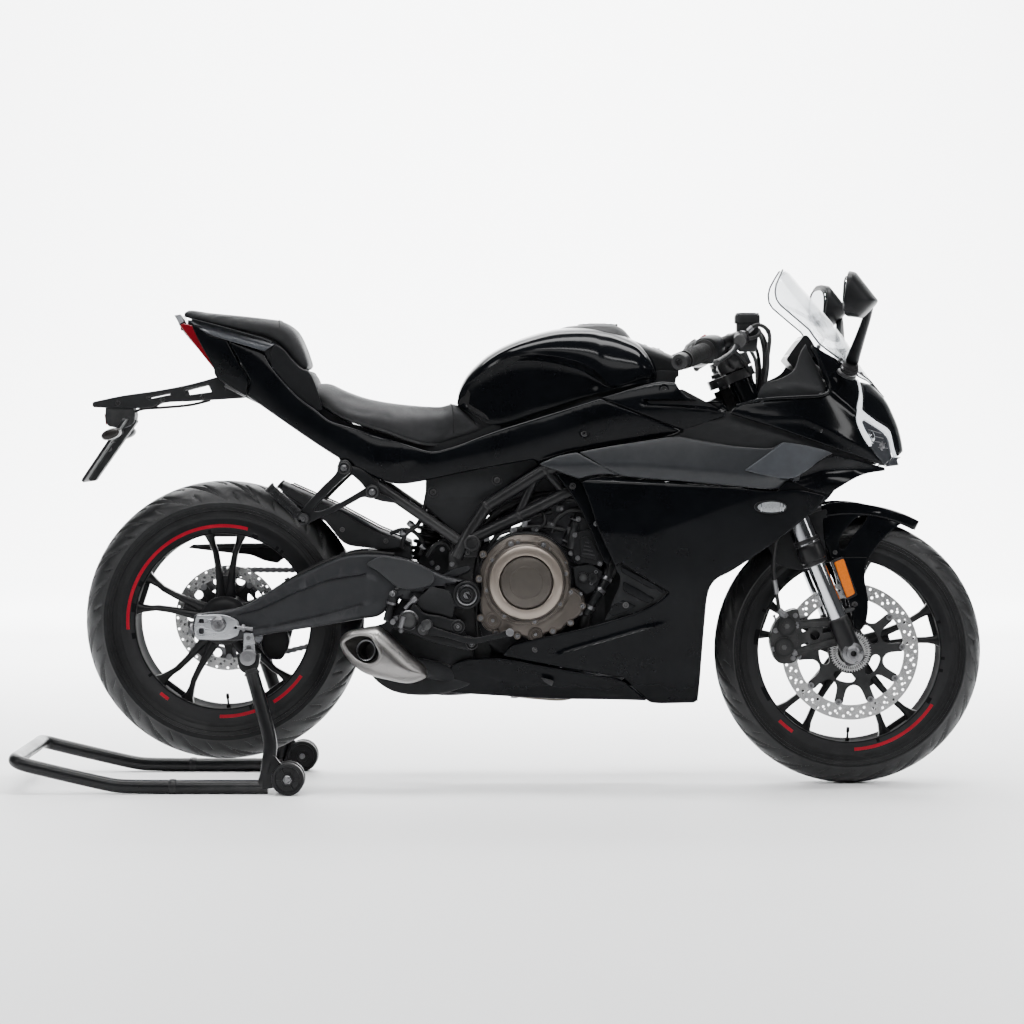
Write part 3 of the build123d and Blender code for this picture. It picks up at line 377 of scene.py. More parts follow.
class Shape:
    """Collects pieces of mesh, with a material for each, into one object."""

    def __init__(self):
        self.v, self.f, self.m, self.mats = [], [], [], []
        self.n = 0

    def slot(self, mat):
        if mat not in self.mats:
            self.mats.append(mat)
        return self.mats.index(mat)

    def add(self, verts, faces, mat, mirror=False, tf=None):
        verts = np.array(verts, float).reshape(-1, 3)
        if tf is not None:
            verts = (np.array(tf)[:3, :3] @ verts.T).T + np.array(tf)[:3, 3]
        k = self.slot(mat)
        self.v.append(verts)
        for f in faces:
            self.f.append(tuple(int(i) + self.n for i in f))
            self.m.append(k)
        self.n += len(verts)
        if mirror:
            mv = verts * np.array([1, -1, 1])
            self.v.append(mv)
            for f in faces:
                self.f.append(tuple(int(i) + self.n for i in reversed(list(f))))
                self.m.append(k)
            self.n += len(verts)
        return self

    def done(self, name, body="chassis", replaces=(), smooth=32.0, bevel=0.0, bevel_angle=40.0,
             subdiv=0, segments=2, merge=False):
        me = bpy.data.meshes.new(name)
        co = np.vstack(self.v) * MM
        me.from_pydata([tuple(c) for c in co], [], self.f)
        for mt in self.mats:
            me.materials.append(MATS[mt])
        me.polygons.foreach_set("material_index", self.m)
        me.validate()
        me.update()
        if merge:
            import bmesh
            bm = bmesh.new()
            bm.from_mesh(me)
            bmesh.ops.remove_doubles(bm, verts=bm.verts, dist=merge * MM)
            bm.to_mesh(me)
            bm.free()
        me.polygons.foreach_set("use_smooth", [True] * len(me.polygons))
        ob = bpy.data.objects.new(name, me)
        bpy.context.scene.collection.objects.link(ob)
        if name in LIGHTER:
            me = lightened(ob, LIGHTER[name])
        if bevel > 0:
            md = ob.modifiers.new("edge", "BEVEL")
            md.width = bevel * MM
            md.segments = segments
            md.limit_method = "ANGLE"
            md.angle_limit = math.radians(bevel_angle)
            md.harden_normals = False
            md.use_clamp_overlap = True
        if subdiv:
            md = ob.modifiers.new("round", "SUBSURF")
            md.levels = subdiv
            md.render_levels = subdiv
        if not subdiv:
            me.set_sharp_from_angle(angle=math.radians(smooth))
        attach(ob, body)
        if replaces:
            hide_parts(*([replaces] if isinstance(replaces, str) else replaces))
        return ob


# the share of its triangles that each over-fine piece keeps
LIGHTER = {"front_tyre_tread": 0.40, "rear_tyre_tread": 0.40, "side_fairing_skins": 0.60, "side_panel_skins": 0.60,
           "engine_castings": 0.60, "footpeg_brackets": 0.50, "swingarm_pressed": 0.58, "front_fender_shell": 0.60,
           "inner_structure": 0.50, "upper_cowl_skins": 0.70, "fuel_tank_shell": 0.70, "mid_panel_skins": 0.65,
           "drive_chain_links": 0.70, "paddock_stand_tube": 0.50, "plate_bracket_moulded": 0.50,
           "bars_and_grips": 0.60}


def lightened(ob, ratio):
    """Fewer triangles where they add no shape."""
    old = ob.data
    md = ob.modifiers.new("fewer", "DECIMATE")
    md.ratio = ratio
    dg = bpy.context.evaluated_depsgraph_get()
    new = bpy.data.meshes.new_from_object(ob.evaluated_get(dg))
    ob.modifiers.clear()
    ob.data = new
    bpy.data.meshes.remove(old)
    new.name = ob.name
    return new


def frame_of(direction, hint=(0, 1, 0)):
    d = np.array(direction, float)
    d /= np.linalg.norm(d)
    h = np.array(hint, float)
    if abs(d @ h) > 0.95:
        h = np.array((1.0, 0, 0))
    u = np.cross(h, d)
    u /= np.linalg.norm(u)
    return u, np.cross(d, u), d


def lathe(profile, centre=(0, 0, 0), axis=(0, 1, 0), segs=64, closed=False, arc=None, phase=0.0):
    """profile: (radius, height along axis) points. closed joins the last to the first."""
    u, v, d = frame_of(axis, (0, 0, 1) if abs(axis[2]) < 0.9 else (0, 1, 0))
    pr = np.array(profile, float)
    full = arc is None
    n = segs if full else segs + 1
    ang = np.linspace(0, 2 * math.pi, segs, endpoint=False) + phase if full else np.linspace(arc[0], arc[1], n)
    c = np.array(centre, float)
    verts = (c + pr[:, None, 1:2] * d + pr[:, None, 0:1] * (np.cos(ang)[None, :, None] * u + np.sin(ang)[None, :, None] * v)).reshape(-1, 3)
    faces = []
    rows = len(pr)
    for i in range(rows if closed else rows - 1):
        j = (i + 1) % rows
        for k in range(n if full else n - 1):
            k2 = (k + 1) % n
            faces.append((i * n + k, i * n + k2, j * n + k2, j * n + k))
    if not closed and full:
        if pr[0, 0] > 1e-6 and abs(pr[0, 0]) < 1e5:
            pass
    return verts, faces


def turned(profile, centre=(0, 0, 0), axis=(0, 1, 0), segs=48):
    """A solid of revolution: the profile's ends are closed on the axis."""
    pr = [(0.0001, profile[0][1])] + list(profile) + [(0.0001, profile[-1][1])]
    return lathe(pr, centre, axis, segs)


def tube(path, radius, segs=12, caps=True, closed=False, flat=1.0, hint=(0, 1, 0)):
    p = np.array(path, float)
    n = len(p)
    r = np.full(n, radius, float) if np.isscalar(radius) else np.interp(np.linspace(0, 1, n), np.linspace(0, 1, len(radius)), radius)
    if closed:
        t = np.roll(p, -1, 0) - np.roll(p, 1, 0)
    else:
        t = np.gradient(p, axis=0)
    t /= np.linalg.norm(t, axis=1)[:, None]
    u, v, _ = frame_of(t[0], hint)
    verts = []
    ang = np.linspace(0, 2 * math.pi, segs, endpoint=False)
    for i in range(n):
        u = u - t[i] * (u @ t[i])
        u /= np.linalg.norm(u)
        v = np.cross(t[i], u)
        verts.append(p[i] + r[i] * (np.cos(ang)[:, None] * u + flat * np.sin(ang)[:, None] * v))
    verts = np.vstack(verts)
    faces = []
    for i in range(n if closed else n - 1):
        j = (i + 1) % n
        for k in range(segs):
            k2 = (k + 1) % segs
            faces.append((i * segs + k, i * segs + k2, j * segs + k2, j * segs + k))
    if caps and not closed:
        faces.append(tuple(reversed(range(segs))))
        faces.append(tuple((n - 1) * segs + k for k in range(segs)))
    return verts, faces


def rod(a, b, r, segs=20, r2=None):
    return tube([a, b], [r, r if r2 is None else r2], segs)


def plate(outline, y0, y1, holes=(), plane="xz", inner=None):
    """A flat plate with holes. Outline in (x, z) between y0 and y1, or (x, y) / (y, z)."""
    loops = [np.array(outline, float)] + [np.array(h, float) for h in holes]
    v, f = triangulate(loops, inner)
    n = len(v)
    rim = open_edges(f)

    def at(v2, h):
        if plane == "xz":
            return np.stack([v2[:, 0], np.full(len(v2), h), v2[:, 1]], 1)
        if plane == "xy":
            return np.stack([v2[:, 0], v2[:, 1], np.full(len(v2), h)], 1)
        return np.stack([np.full(len(v2), h), v2[:, 0], v2[:, 1]], 1)
    lo, hi = min(y0, y1), max(y0, y1)
    verts = np.vstack([at(v, lo), at(v, hi)])
    # xz plane: ccw (x, z) faces -Y
    front = [tuple(t) for t in f] if plane == "xz" else [tuple(reversed(t)) for t in f]
    back = [tuple(i + n for i in reversed(t)) for t in front]
    sides = []
    for a, b in rim:
        q = (b, a, a + n, b + n) if plane == "xz" else (a, b, b + n, a + n)
        sides.append(q)
    return verts, front + back + sides


def circle(cx, cz, r, n=24, phase=0.0):
    a = np.linspace(0, 2 * math.pi, n, endpoint=False) + phase
    return np.stack([cx + r * np.cos(a), cz + r * np.sin(a)], 1)


def tps(control):
    """A smooth surface y(x, z) through control points (x, z, y)."""
    c = np.array(control, float)
    P = c[:, :2] / 100.0
    n = len(P)

    def phi(r2):
        with np.errstate(divide="ignore", invalid="ignore"):
            return np.where(r2 > 1e-12, 0.5 * r2 * np.log(np.maximum(r2, 1e-12)), 0.0)
    d2 = ((P[:, None, :] - P[None, :, :]) ** 2).sum(2)
    A = np.zeros((n + 3, n + 3))
    A[:n, :n] = phi(d2) + 1e-4 * np.eye(n)
    A[:n, n] = A[n, :n] = 1
    A[:n, n + 1:] = P
    A[n + 1:, :n] = P.T
    w = np.linalg.solve(A, np.concatenate([c[:, 2], [0, 0, 0]]))

    def f(x, z):
        q = np.stack([np.asarray(x, float), np.asarray(z, float)], -1) / 100.0
        r2 = ((q[..., None, :] - P) ** 2).sum(-1)
        return (phi(r2) * w[:n]).sum(-1) + w[n] + q[..., 0] * w[n + 1] + q[..., 1] * w[n + 2]
    return f


def skin(outline, yfun, thick=4.0, edge=2.5, res=8.0, holes=(), corner=32.0, radius=4.0, side=-1, rounded=True, lines=()):
    """A shell over a side outline (x, z), its outer face at y = side * yfun(x, z), with rounded
    edges. Gives vertices and faces."""
    outer = round_outline(outline, corner, radius, res * 0.55) if rounded else resample(outline, res * 0.55, True)
    loops = [outer] + [np.array(h) for h in holes]
    area = 0.5 * np.sum(outer[:, 0] * np.roll(outer[:, 1], -1) - np.roll(outer[:, 0], -1) * outer[:, 1])
    if area < 0:
        loops[0] = outer = outer[::-1]
    pts = []
    for li, lp in enumerate(loops):
        t = np.roll(lp, -1, 0) - np.roll(lp, 1, 0)
        t /= np.linalg.norm(t, axis=1)[:, None] + 1e-9
        nrm = np.stack([-t[:, 1], t[:, 0]], 1)
        if li > 0:
            a2 = 0.5 * np.sum(lp[:, 0] * np.roll(lp[:, 1], -1) - np.roll(lp[:, 0], -1) * lp[:, 1])
            nrm = -nrm if a2 > 0 else nrm
        for k in (0.12, 0.35, 0.7, 1.15):
            q = lp + nrm * edge * k
            pts.append((q, edge * k))
    x0, z0 = outer.min(0)
    x1, z1 = outer.max(0)
    gx, gz = np.meshgrid(np.arange(x0, x1, res), np.arange(z0, z1, res * 0.866))
    gx = gx + (np.arange(gx.shape[0])[:, None] % 2) * res * 0.5
    grid = np.stack([gx.ravel(), gz.ravel()], 1)
    allp = [grid]
    wants = [np.full(len(grid), edge * 1.15 + res * 0.45)]
    for q, w in pts:
        allp.append(q)
        wants.append(np.full(len(q), w * 0.93))
    allp = np.vstack(allp)
    wants = np.concatenate(wants)
    ok = inside(outer, allp)
    for h in loops[1:]:
        ok &= ~inside(h, allp)
    allp, wants = allp[ok], wants[ok]
    d = np.full(len(allp), 1e9)
    for lp in loops:
        d = np.minimum(d, edge_distance(lp, allp))
    allp = allp[d >= wants]
    v, f = triangulate(loops, allp, [resample(np.array(l, float), res * 0.5) for l in lines])
    d = np.full(len(v), 1e9)
    for lp in loops:
        d = np.minimum(d, edge_distance(lp, v))
    y = np.asarray(yfun(v[:, 0], v[:, 1]), float)
    dd = np.clip(d, 0, edge)
    drop = edge - np.sqrt(np.maximum(edge * edge - (edge - dd) ** 2, 0))
    yo = y - drop
    yi = y - np.maximum(thick, edge + 0.3)
    n = len(v)
    ov = np.stack([v[:, 0], side * yo, v[:, 1]], 1)
    iv = np.stack([v[:, 0], side * yi, v[:, 1]], 1)
    verts = np.vstack([ov, iv])
    rim = open_edges(f)
    if side < 0:
        faces = [tuple(t) for t in f] + [tuple(int(i) + n for i in reversed(t)) for t in f]
        faces += [(b, a, a + n, b + n) for a, b in rim]
    else:
        faces = [tuple(reversed(t)) for t in f] + [tuple(int(i) + n for i in t) for t in f]
        faces += [(a, b, b + n, a + n) for a, b in rim]
    return verts, faces


def both_sides(sh, outline, yfun, mat, **kw):
    v, f = skin(outline, yfun, side=-1, **kw)
    sh.add(v, f, mat, mirror=True)


def loft(rings, closed_ring=True, caps=True):
    """rings: list of equal-length point loops. Gives a skin through them."""
    r = np.array(rings, float)
    m, n = r.shape[0], r.shape[1]
    verts = r.reshape(-1, 3)
    faces = []
    for i in range(m - 1):
        for k in range(n if closed_ring else n - 1):
            k2 = (k + 1) % n
            faces.append((i * n + k, i * n + k2, (i + 1) * n + k2, (i + 1) * n + k))
    if caps and closed_ring:
        faces.append(tuple(reversed(range(n))))
        faces.append(tuple((m - 1) * n + k for k in range(n)))
    return verts, faces


def smooth_rows(rows, per=6):
    """Table rows (numbers) interpolated smoothly, row by row."""
    return catmull(np.array(rows, float), per)


def bolt(sh, x, y, z, r=6, h=4, axis=(0, -1, 0), mat="bolt_steel", hexed=True, washer=True):
    """A cap screw head standing out along axis."""
    r, h = r * 0.78, h * 0.85
    d = np.array(axis, float)
    c = np.array((x, y, z), float)
    if washer:
        v, f = turned([(r * 1.35, 0), (r * 1.45, 0.5), (r * 1.35, 1.2)], c, d, 20)
        sh.add(v, f, mat)
    pr = [(r, 0), (r, h - 0.8), (r * 0.86, h), (r * 0.52, h), (r * 0.48, h - 1.8)]
    v, f = turned(pr, c, d, 6 if False else 20)
    sh.add(v, f, mat)


def steer_pt(t, f=0.0, y=0.0):
    rk = math.atan(0.41)
    return np.array((763.0 - math.sin(rk) * t + math.cos(rk) * f, y, 293.0 + math.cos(rk) * t + math.sin(rk) * f))


RK = math.atan(0.41)
UP = np.array((-math.sin(RK), 0, math.cos(RK)))
FW = np.array((math.cos(RK), 0, math.sin(RK)))
FA = np.array((763.0, 0, 293.0))
RA = np.array((-607.0, 0, 359.0))


def recolor(node_name, mat):
    ob = NODES[node_name]
    ob.data.materials.clear()
    ob.data.materials.append(MATS[mat])
    for p in ob.data.polygons:
        p.material_index = 0

# ------------------------------------------------------------------- stage
scene = bpy.context.scene
cam_data = bpy.data.cameras.new("camera")
cam_data.sensor_width = 36.0
cam_data.lens = 36.0 * (0.4535 * 6500.0) / 1024.0
cam_data.clip_end = 100.0
cam = bpy.data.objects.new("camera", cam_data)
scene.collection.objects.link(cam)
cam.location = (0.0243, -6.5, 0.794)
cam.rotation_euler = (math.radians(90.0), 0, 0)
cam_data.shift_y = -90.0 / 1024.0
scene.camera = cam

floor_me = bpy.data.meshes.new("floor")
S = 16.0
pts = []
prof = [(-14.0, 0.0), (7.0, 0.0)]
for k in range(1, 13):
    a = math.pi / 2 * k / 12
    prof.append((7.0 + 4.0 * math.sin(a), 4.0 - 4.0 * math.cos(a)))
prof.append((11.0, 16.0))
for y, z in prof:
    pts += [(-S, y, z), (S, y, z)]
floor_me.from_pydata(pts, [], [(2 * i, 2 * i + 1, 2 * i + 3, 2 * i + 2) for i in range(len(prof) - 1)])
floor_me.polygons.foreach_set("use_smooth", [True] * len(floor_me.polygons))
floor = bpy.data.objects.new("floor", floor_me)
scene.collection.objects.link(floor)
material("floor_white", (0.90, 0.905, 0.91), rough=0.55, color_var=0.006, color_scale=2.0, rough_var=0.03, bump=0.02, bump_scale=60, spec=0.25)
floor_me.materials.append(MATS["floor_white"])

world = bpy.data.worlds.new("world")
scene.world = world
world.use_nodes = True
world.node_tree.nodes["Background"].inputs[0].default_value = (0.93, 0.95, 0.98, 1)
world.node_tree.nodes["Background"].inputs[1].default_value = 0.09


def area(name, loc, look, size, energy, size_y=None, color=(1, 1, 1)):
    d = bpy.data.lights.new(name, "AREA")
    d.shape = "RECTANGLE"
    d.size = size
    d.size_y = size_y or size
    d.energy = energy
    d.color = color
    o = bpy.data.objects.new(name, d)
    scene.collection.objects.link(o)
    o.location = loc
    o.rotation_euler = (Vector(look) - Vector(loc)).to_track_quat("-Z", "Y").to_euler()
    return o


area("overhead", (0.1, 0.05, 3.4), (0.1, 0.0, 0.0), 3.6, 190, 0.8)
area("shoulder_strip", (0.1, -2.3, 3.3), (0.1, 0.0, 0.7), 3.2, 60, 0.22)
area("floor_front", (0.0, -4.0, 3.6), (0.0, -3.6, 0.0), 6.0, 130, 1.4)
area("floor_far", (0.0, 2.9, 3.9), (0.0, 3.2, 0.0), 7.0, 330, 1.2)
area("backdrop", (0.0, 3.4, 4.6), (0.0, 7.5, 1.2), 9.0, 2500, 2.4)
area("backdrop_low", (0.0, 4.4, 3.6), (0.0, 9.5, 3.6), 9.0, 2200, 1.6)
area("side_left", (-3.6, -1.9, 2.2), (-0.2, 0, 0.5), 0.4, 34, 1.8)
area("side_right", (3.6, -1.7, 2.2), (0.4, 0, 0.5), 0.4, 34, 1.8)

# ------------------------------------------------------------------ wheels
def ring_pts(c, r, ang, y):
    return np.stack([c[0] + r * np.cos(ang), np.full_like(ang, y) if np.isscalar(y) else y, c[2] + r * np.sin(ang)], 1)


def make_tyre(name, node_name, body, c, outer, half, shoulder, bead, direction):
    """A radial tyre: grooved tread, sidewall lettering ring left plain, bead."""
    sh = Shape()
    # profile from the right bead over the tread to the left bead: (radius, y)
    # crown arc through (shoulder, half) and (outer, 0)
    sag = outer - shoulder
    R = (half * half + sag * sag) / (2 * sag)
    ym = math.asin(min(1, half * 0.985 / R))
    crown = []
    n = 64
    for i in range(n + 1):
        a = -ym + 2 * ym * i / n
        crown.append((outer - R + R * math.cos(a), R * math.sin(a)))
    side = [(219.0, bead - 8.0), (219.5, bead + 0.3), (224, bead + 3.6), (229.5, bead + 5.6), (232.0, bead + 5.9),
            (233.2, bead + 7.2), (236.5, bead + (half - bead) * 0.42), (240.5, bead + (half - bead) * 0.62),
            (241.2, bead + (half - bead) * 0.60), (246.5, bead + (half - bead) * 0.80), (251.5, bead + (half - bead) * 0.91),
            (shoulder + 0.2, half - 0.6), (shoulder + 2.2, half - 0.15)]
    right = [(r, -y) for r, y in side]
    left = [(r, y) for r, y in reversed(side)]
    crown = [p for p in crown if p[0] > shoulder + 3.0]
    prof = np.array(right + crown + left)
    segs = 720
    ang = np.linspace(0, 2 * math.pi, segs, endpoint=False)
    rows = len(prof)
    rr = np.repeat(prof[:, 0][:, None], segs, 1)
    yy = np.repeat(prof[:, 1][:, None], segs, 1)
    # arc length across the crown, from the centre
    i0, i1 = len(right), len(right) + len(crown)
    s = np.zeros(rows)
    s[i0:i1] = R * np.arcsin(np.clip(prof[i0:i1, 1] / R, -1, 1))
    smax = abs(s[i0])
    pitch = 20
    depth = np.zeros((rows, segs))
    A = ang[None, :] * direction
    for sgn in (-1, 1):
        u = sgn * s[:, None]          # distance outwards on this side
        turn = A * pitch / (2 * math.pi) + (0.5 if sgn > 0 else 0.0)

        def groove(u0, u1, lean, off, width, curve=0.0, deep=1.0, frac=1):
            t = np.clip((u - u0) / (u1 - u0), 0, 1)
            line = off + lean * t + curve * t * t
            ph = (turn / frac - line) % 1.0
            d = np.minimum(ph, 1 - ph) * (2 * math.pi * outer / pitch) * frac
            w = width * (0.55 + 0.45 * np.sin(np.pi * np.clip(t, 0.04, 0.96)))
            inn = (u > u0) & (u < u1)
            return np.where(inn, np.clip(1.6 - d / w, 0, 1) * deep, 0.0)
        big = smax - 4.0
        depth = np.maximum(depth, groove(8.0, big * 0.98, 0.75, 0.0, 5.2, 0.35))
        depth = np.maximum(depth, groove(big * 0.36, big, 0.42, 0.52, 3.4, 0.22))
        depth = np.maximum(depth, groove(-3.0, big * 0.42, 0.30, 0.62, 3.0, 0.15, 0.9))
        depth = np.maximum(depth, groove(big * 0.72, big * 1.0, 0.18, 0.26, 2.6, 0.0, 0.7))
    deep = 5.4
    crown_mask = np.zeros(rows)
    crown_mask[i0:i1] = 1
    rr = rr - depth * deep * crown_mask[:, None]
    # vertices of the tread and sidewall surface, and its faces split into tread and side
    X = c[0] + rr * np.cos(ang)[None, :]
    Z = c[2] + rr * np.sin(ang)[None, :]
    V = np.stack([X, yy, Z], -1).reshape(-1, 3)
    faces_t, faces_s = [], []
    k = np.arange(segs)
    k2 = (k + 1) % segs
    for i in range(rows - 1):
        q = np.stack([i * segs + k, (i + 1) * segs + k, (i + 1) * segs + k2, i * segs + k2], 1)
        (faces_t if i0 - 2 <= i <= i1 else faces_s).extend(map(tuple, q))
    # inner wall, coarse
    sh.add(V, faces_t, "tyre_rubber")
    me_n = len(V)
    sh.n -= me_n
    sh.v.pop()
    sh.add(V, faces_s, "tyre_side")
    inner = [(219.0, -bead + 8), (233, -bead + 8), (shoulder - 4, -half + 9), (outer - 13, -half * 0.5), (outer - 11, 0),
             (outer - 13, half * 0.5), (shoulder - 4, half - 9), (233, bead - 8), (219.0, bead - 8)]
    v, f = lathe([(r, y) for r, y in inner], c, (0, 1, 0), 96)
    sh.add(v, [tuple(reversed(t)) for t in f], "tyre_side")
    # raised thin rings and short marks on the sidewalls, no letters
    for sgn in (-1, 1):
        for r_in, r_out, fr in ((242.6, 243.6, 0.66), (249.2, 250.0, 0.875)):
            y_at = bead + (half - bead) * fr
            pr = [(r_in, sgn * (y_at - 0.6)), (r_in + 0.2, sgn * (y_at + 0.9)), (r_out - 0.2, sgn * (y_at + 1.2)), (r_out, sgn * (y_at - 0.4))]
            v, f = lathe(pr, c, (0, 1, 0), 180)
            sh.add(v, f if sgn > 0 else [tuple(reversed(t)) for t in f], "tyre_side")
        for block, (a0, a1) in enumerate(((118, 150), (292, 324))):
            for a in np.arange(a0, a1, 1.15):
                t0 = math.radians(a)
                t1 = t0 + math.radians(0.62)
                ys = [bead + (half - bead) * 0.655, bead + (half - bead) * 0.80]
                box_v = []
                for rr_, y_ in ((243.9, ys[0]), (248.6, ys[1])):
                    for tt in (t0, t1):
                        for lift in (-1.0, 0.75):
                            box_v.append((c[0] + rr_ * math.cos(tt), sgn * (y_ + lift), c[2] + rr_ * math.sin(tt)))
                b = np.array(box_v)
                fs = [(1, 3, 7, 5), (0, 4, 6, 2), (0, 1, 5, 4), (2, 6, 7, 3), (4, 5, 7, 6), (0, 2, 3, 1)]
                sh.add(b, fs if sgn < 0 else [tuple(reversed(q)) for q in fs], "tyre_side")
    ob = sh.done(name, body, node_name, smooth=38)
    return ob


make_tyre("front_tyre_tread", "front_tyre", "front_wheel", FA, 293.0, 55.0, 254.0, 38.0, 1)
make_tyre("rear_tyre_tread", "rear_tyre", "rear_wheel", RA, 306.0, 75.0, 257.0, 55.0, -1)


def make_rim(name, node_name, body, c, opening, bead, hub_half, spoke_half, first, red_arcs, hub_r):
    sh = Shape()
    # rim barrel as one turned section, both lips, drop centre
    prof = [(opening, -bead - 3), (opening - 1.5, -bead + 3), (opening + 1.5, -bead + 12), (opening + 5, -bead * 0.3), (opening + 5, bead * 0.3),
            (opening + 1.5, bead - 12), (opening - 1.5, bead - 3), (opening, bead + 3), (opening + 2.0, bead + 4.6), (opening + 10, bead + 4.9),
            (opening + 12, bead + 3.8), (228.0, bead + 3.6), (230.2, bead + 3.9), (231, bead + 3), (231, bead + 0.6), (218, bead), (217.5, bead - 10), (209, bead - 17), (209, -bead + 17),
            (217.5, -bead + 10), (218, -bead), (231, -bead - 0.6), (231, -bead - 3), (230.2, -bead - 3.9), (228, -bead - 3.6),
            (opening + 12, -bead - 3.8), (opening + 10, -bead - 4.9), (opening + 2.0, -bead - 4.6)]
    v, f = lathe(prof, c, (0, 1, 0), 192, closed=True)
    va_ = np.array(v, float)
    mid_r = [np.mean([math.hypot(va_[i][0] - c[0], va_[i][2] - c[2]) for i in q]) for q in f]
    # the barrel's inner faces (radius below opening + 6) take the darker, almost unreflecting black: painted shade
    # inside the rim
    sh.add(v, [q for q, r in zip(f, mid_r) if r >= opening + 6], "wheel_black")
    sh.add(v, [q for q, r in zip(f, mid_r) if r < opening + 6], "rim_barrel_painted_shade")
    # hub
    hp = [(11, -hub_half), (hub_r - 12, -hub_half), (hub_r - 9, -hub_half + 2), (hub_r, -hub_half + 3), (hub_r + 2, -hub_half + 6),
          (hub_r, -hub_half * 0.45), (hub_r, hub_half * 0.45), (hub_r + 2, hub_half - 6), (hub_r, hub_half - 3), (hub_r - 9, hub_half - 2), (hub_r - 12, hub_half), (11, hub_half)]
    v, f = lathe(hp, c, (0, 1, 0), 96)
    sh.add(v, f, "wheel_black")
    # five twin spokes, each blade a tapered section through stations
    for k in range(5):
        a = math.radians(first + 72 * k)
        er, et = np.array((math.cos(a), 0, math.sin(a))), np.array((-math.sin(a), 0, math.cos(a)))
        for sd in (-1, 1):
            rings = []
            # (radius, centre offset, half width, half thickness)
            for r, off, hw, ht in ((hub_r - 6, 10, 12.5, spoke_half * 0.95), (hub_r + 14, 11.2, 10.8, spoke_half * 0.98), (88, 13.0, 8.6, spoke_half),
                                   (120, 16.5, 7.4, spoke_half), (150, 22.0, 6.9, spoke_half), (opening - 26, 28.5, 7.4, spoke_half * 1.02), (opening - 10, 34.0, 10.5, spoke_half * 1.1),
                                   (opening + 2.5, 38.0, 18.5, spoke_half * 1.25)):
                ctr = np.array(c) + er * r + et * (sd * off)
                loop = []
                for q in range(16):
                    t = 2 * math.pi * q / 16
                    cs, sn = math.cos(t), math.sin(t)
                    px = abs(cs) ** 0.62 * math.copysign(1, cs) * hw
                    py = abs(sn) ** 0.55 * math.copysign(1, sn) * ht
                    # the blades' faces lean in towards the gap between them
                    py *= 1.0 - 0.22 * (px * sd < 0) * abs(px) / hw
                    loop.append(ctr + et * px + np.array((0, py, 0)))
                rings.append(loop)
            v, f = loft(rings)
            sh.add(v, f, "wheel_black")
        # web between the pair near the hub, sunk below their faces, and a bridge near the rim
        for r0, r1, w0, w1, ht in ((hub_r - 4, 96, 13, 10, spoke_half * 0.5), (opening - 10, opening + 1, 28, 33, spoke_half * 0.42)):
            rings = []
            for r, w in ((r0, w0), ((r0 + r1) / 2, (w0 + w1) / 2), (r1, w1)):
                ctr = np.array(c) + er * r
                rings.append([ctr + et * px + np.array((0, py, 0)) for px, py in ((-w, -ht), (w, -ht), (w, ht), (-w, ht))])
            v, f = loft(rings)
            sh.add(v, f, "wheel_black")
    # balance weights and valve
    va = math.radians(first + 180 + 2)
    e = np.array((math.cos(va), 0, math.sin(va)))
    base = np.array(c) + e * (opening + 4)
    d = -e * 0.86 + np.array((0, -0.5, 0))
    v, f = tube([base, base + d * 10], [5.0, 4.2], 16)
    sh.add(v, f, "rubber")
    v, f = tube([base + d * 8, base + d * 30], [2.6, 2.6], 14)
    sh.add(v, f, "bolt_steel")
    v, f = tube([base + d * 28, base + d * 38], [3.8, 3.6], 14)
    sh.add(v, f, "rubber")
    for k in range(4):
        t0 = math.radians(first + 31 + 3.4 * k)
        t = np.linspace(t0, t0 + math.radians(3.0), 3)
        pts_v = []
        for tt in t:
            for r_, y_ in ((opening - 2.2, 4), (opening - 2.2, 20), (opening + 3.5, 20), (opening + 3.5, 4)):
                pts_v.append((c[0] + r_ * math.cos(tt), y_ - 12, c[2] + r_ * math.sin(tt)))
        v, f = loft(np.array(pts_v).reshape(3, 4, 3))
        sh.add(v, f, "cast_alloy")
    # bearing seal and dust cover rings
    for sd in (-1, 1):
        v, f = lathe([(12, sd * (hub_half - 3)), (14, sd * (hub_half + 0.8)), (20, sd * (hub_half + 0.8)), (22, sd * (hub_half - 2))], c, (0, 1, 0), 48)
        sh.add(v, f if sd > 0 else [tuple(reversed(q)) for q in f], "rubber")
    # red pin stripe arcs on both lips
    for sd in (-1, 1):
        for a0, a1 in red_arcs:
            aa = (math.radians(a0), math.radians(a1))
            segs = max(8, int(abs(a1 - a0) / 1.5))
            pr = [(opening + 12.6, sd * (bead + 3.6)), (opening + 12.9, sd * (bead + 4.15)), (opening + 19.6, sd * (bead + 4.2)), (opening + 19.9, sd * (bead + 3.5))]
            ang_v = np.linspace(aa[0], aa[1], segs + 1)
            vv = []
            for r_, y_ in pr:
                for t in ang_v:
                    vv.append((c[0] + r_ * math.cos(t), y_, c[2] + r_ * math.sin(t)))
            ff = []
            n = segs + 1
            for i in range(3):
                for j in range(segs):
                    q = (i * n + j, (i + 1) * n + j, (i + 1) * n + j + 1, i * n + j + 1)
                    ff.append(q if sd < 0 else tuple(reversed(q)))
            sh.add(vv, ff, "red_stripe")
    ob = sh.done(name, body, node_name, smooth=34)
    return ob


make_rim("front_rim_cast", "front_rim", "front_wheel", FA, 200.0, 38.0, 40.0, 11.0, 88.0, ((-87, -33), (-135, -125)), 40.0)
make_rim("rear_rim_cast", "rear_rim", "rear_wheel", RA, 192.0, 55.0, 46.0, 13.0, 90.0, ((75, 185), (-92, -70), (-58, -35), (-131, -125)), 52.0)


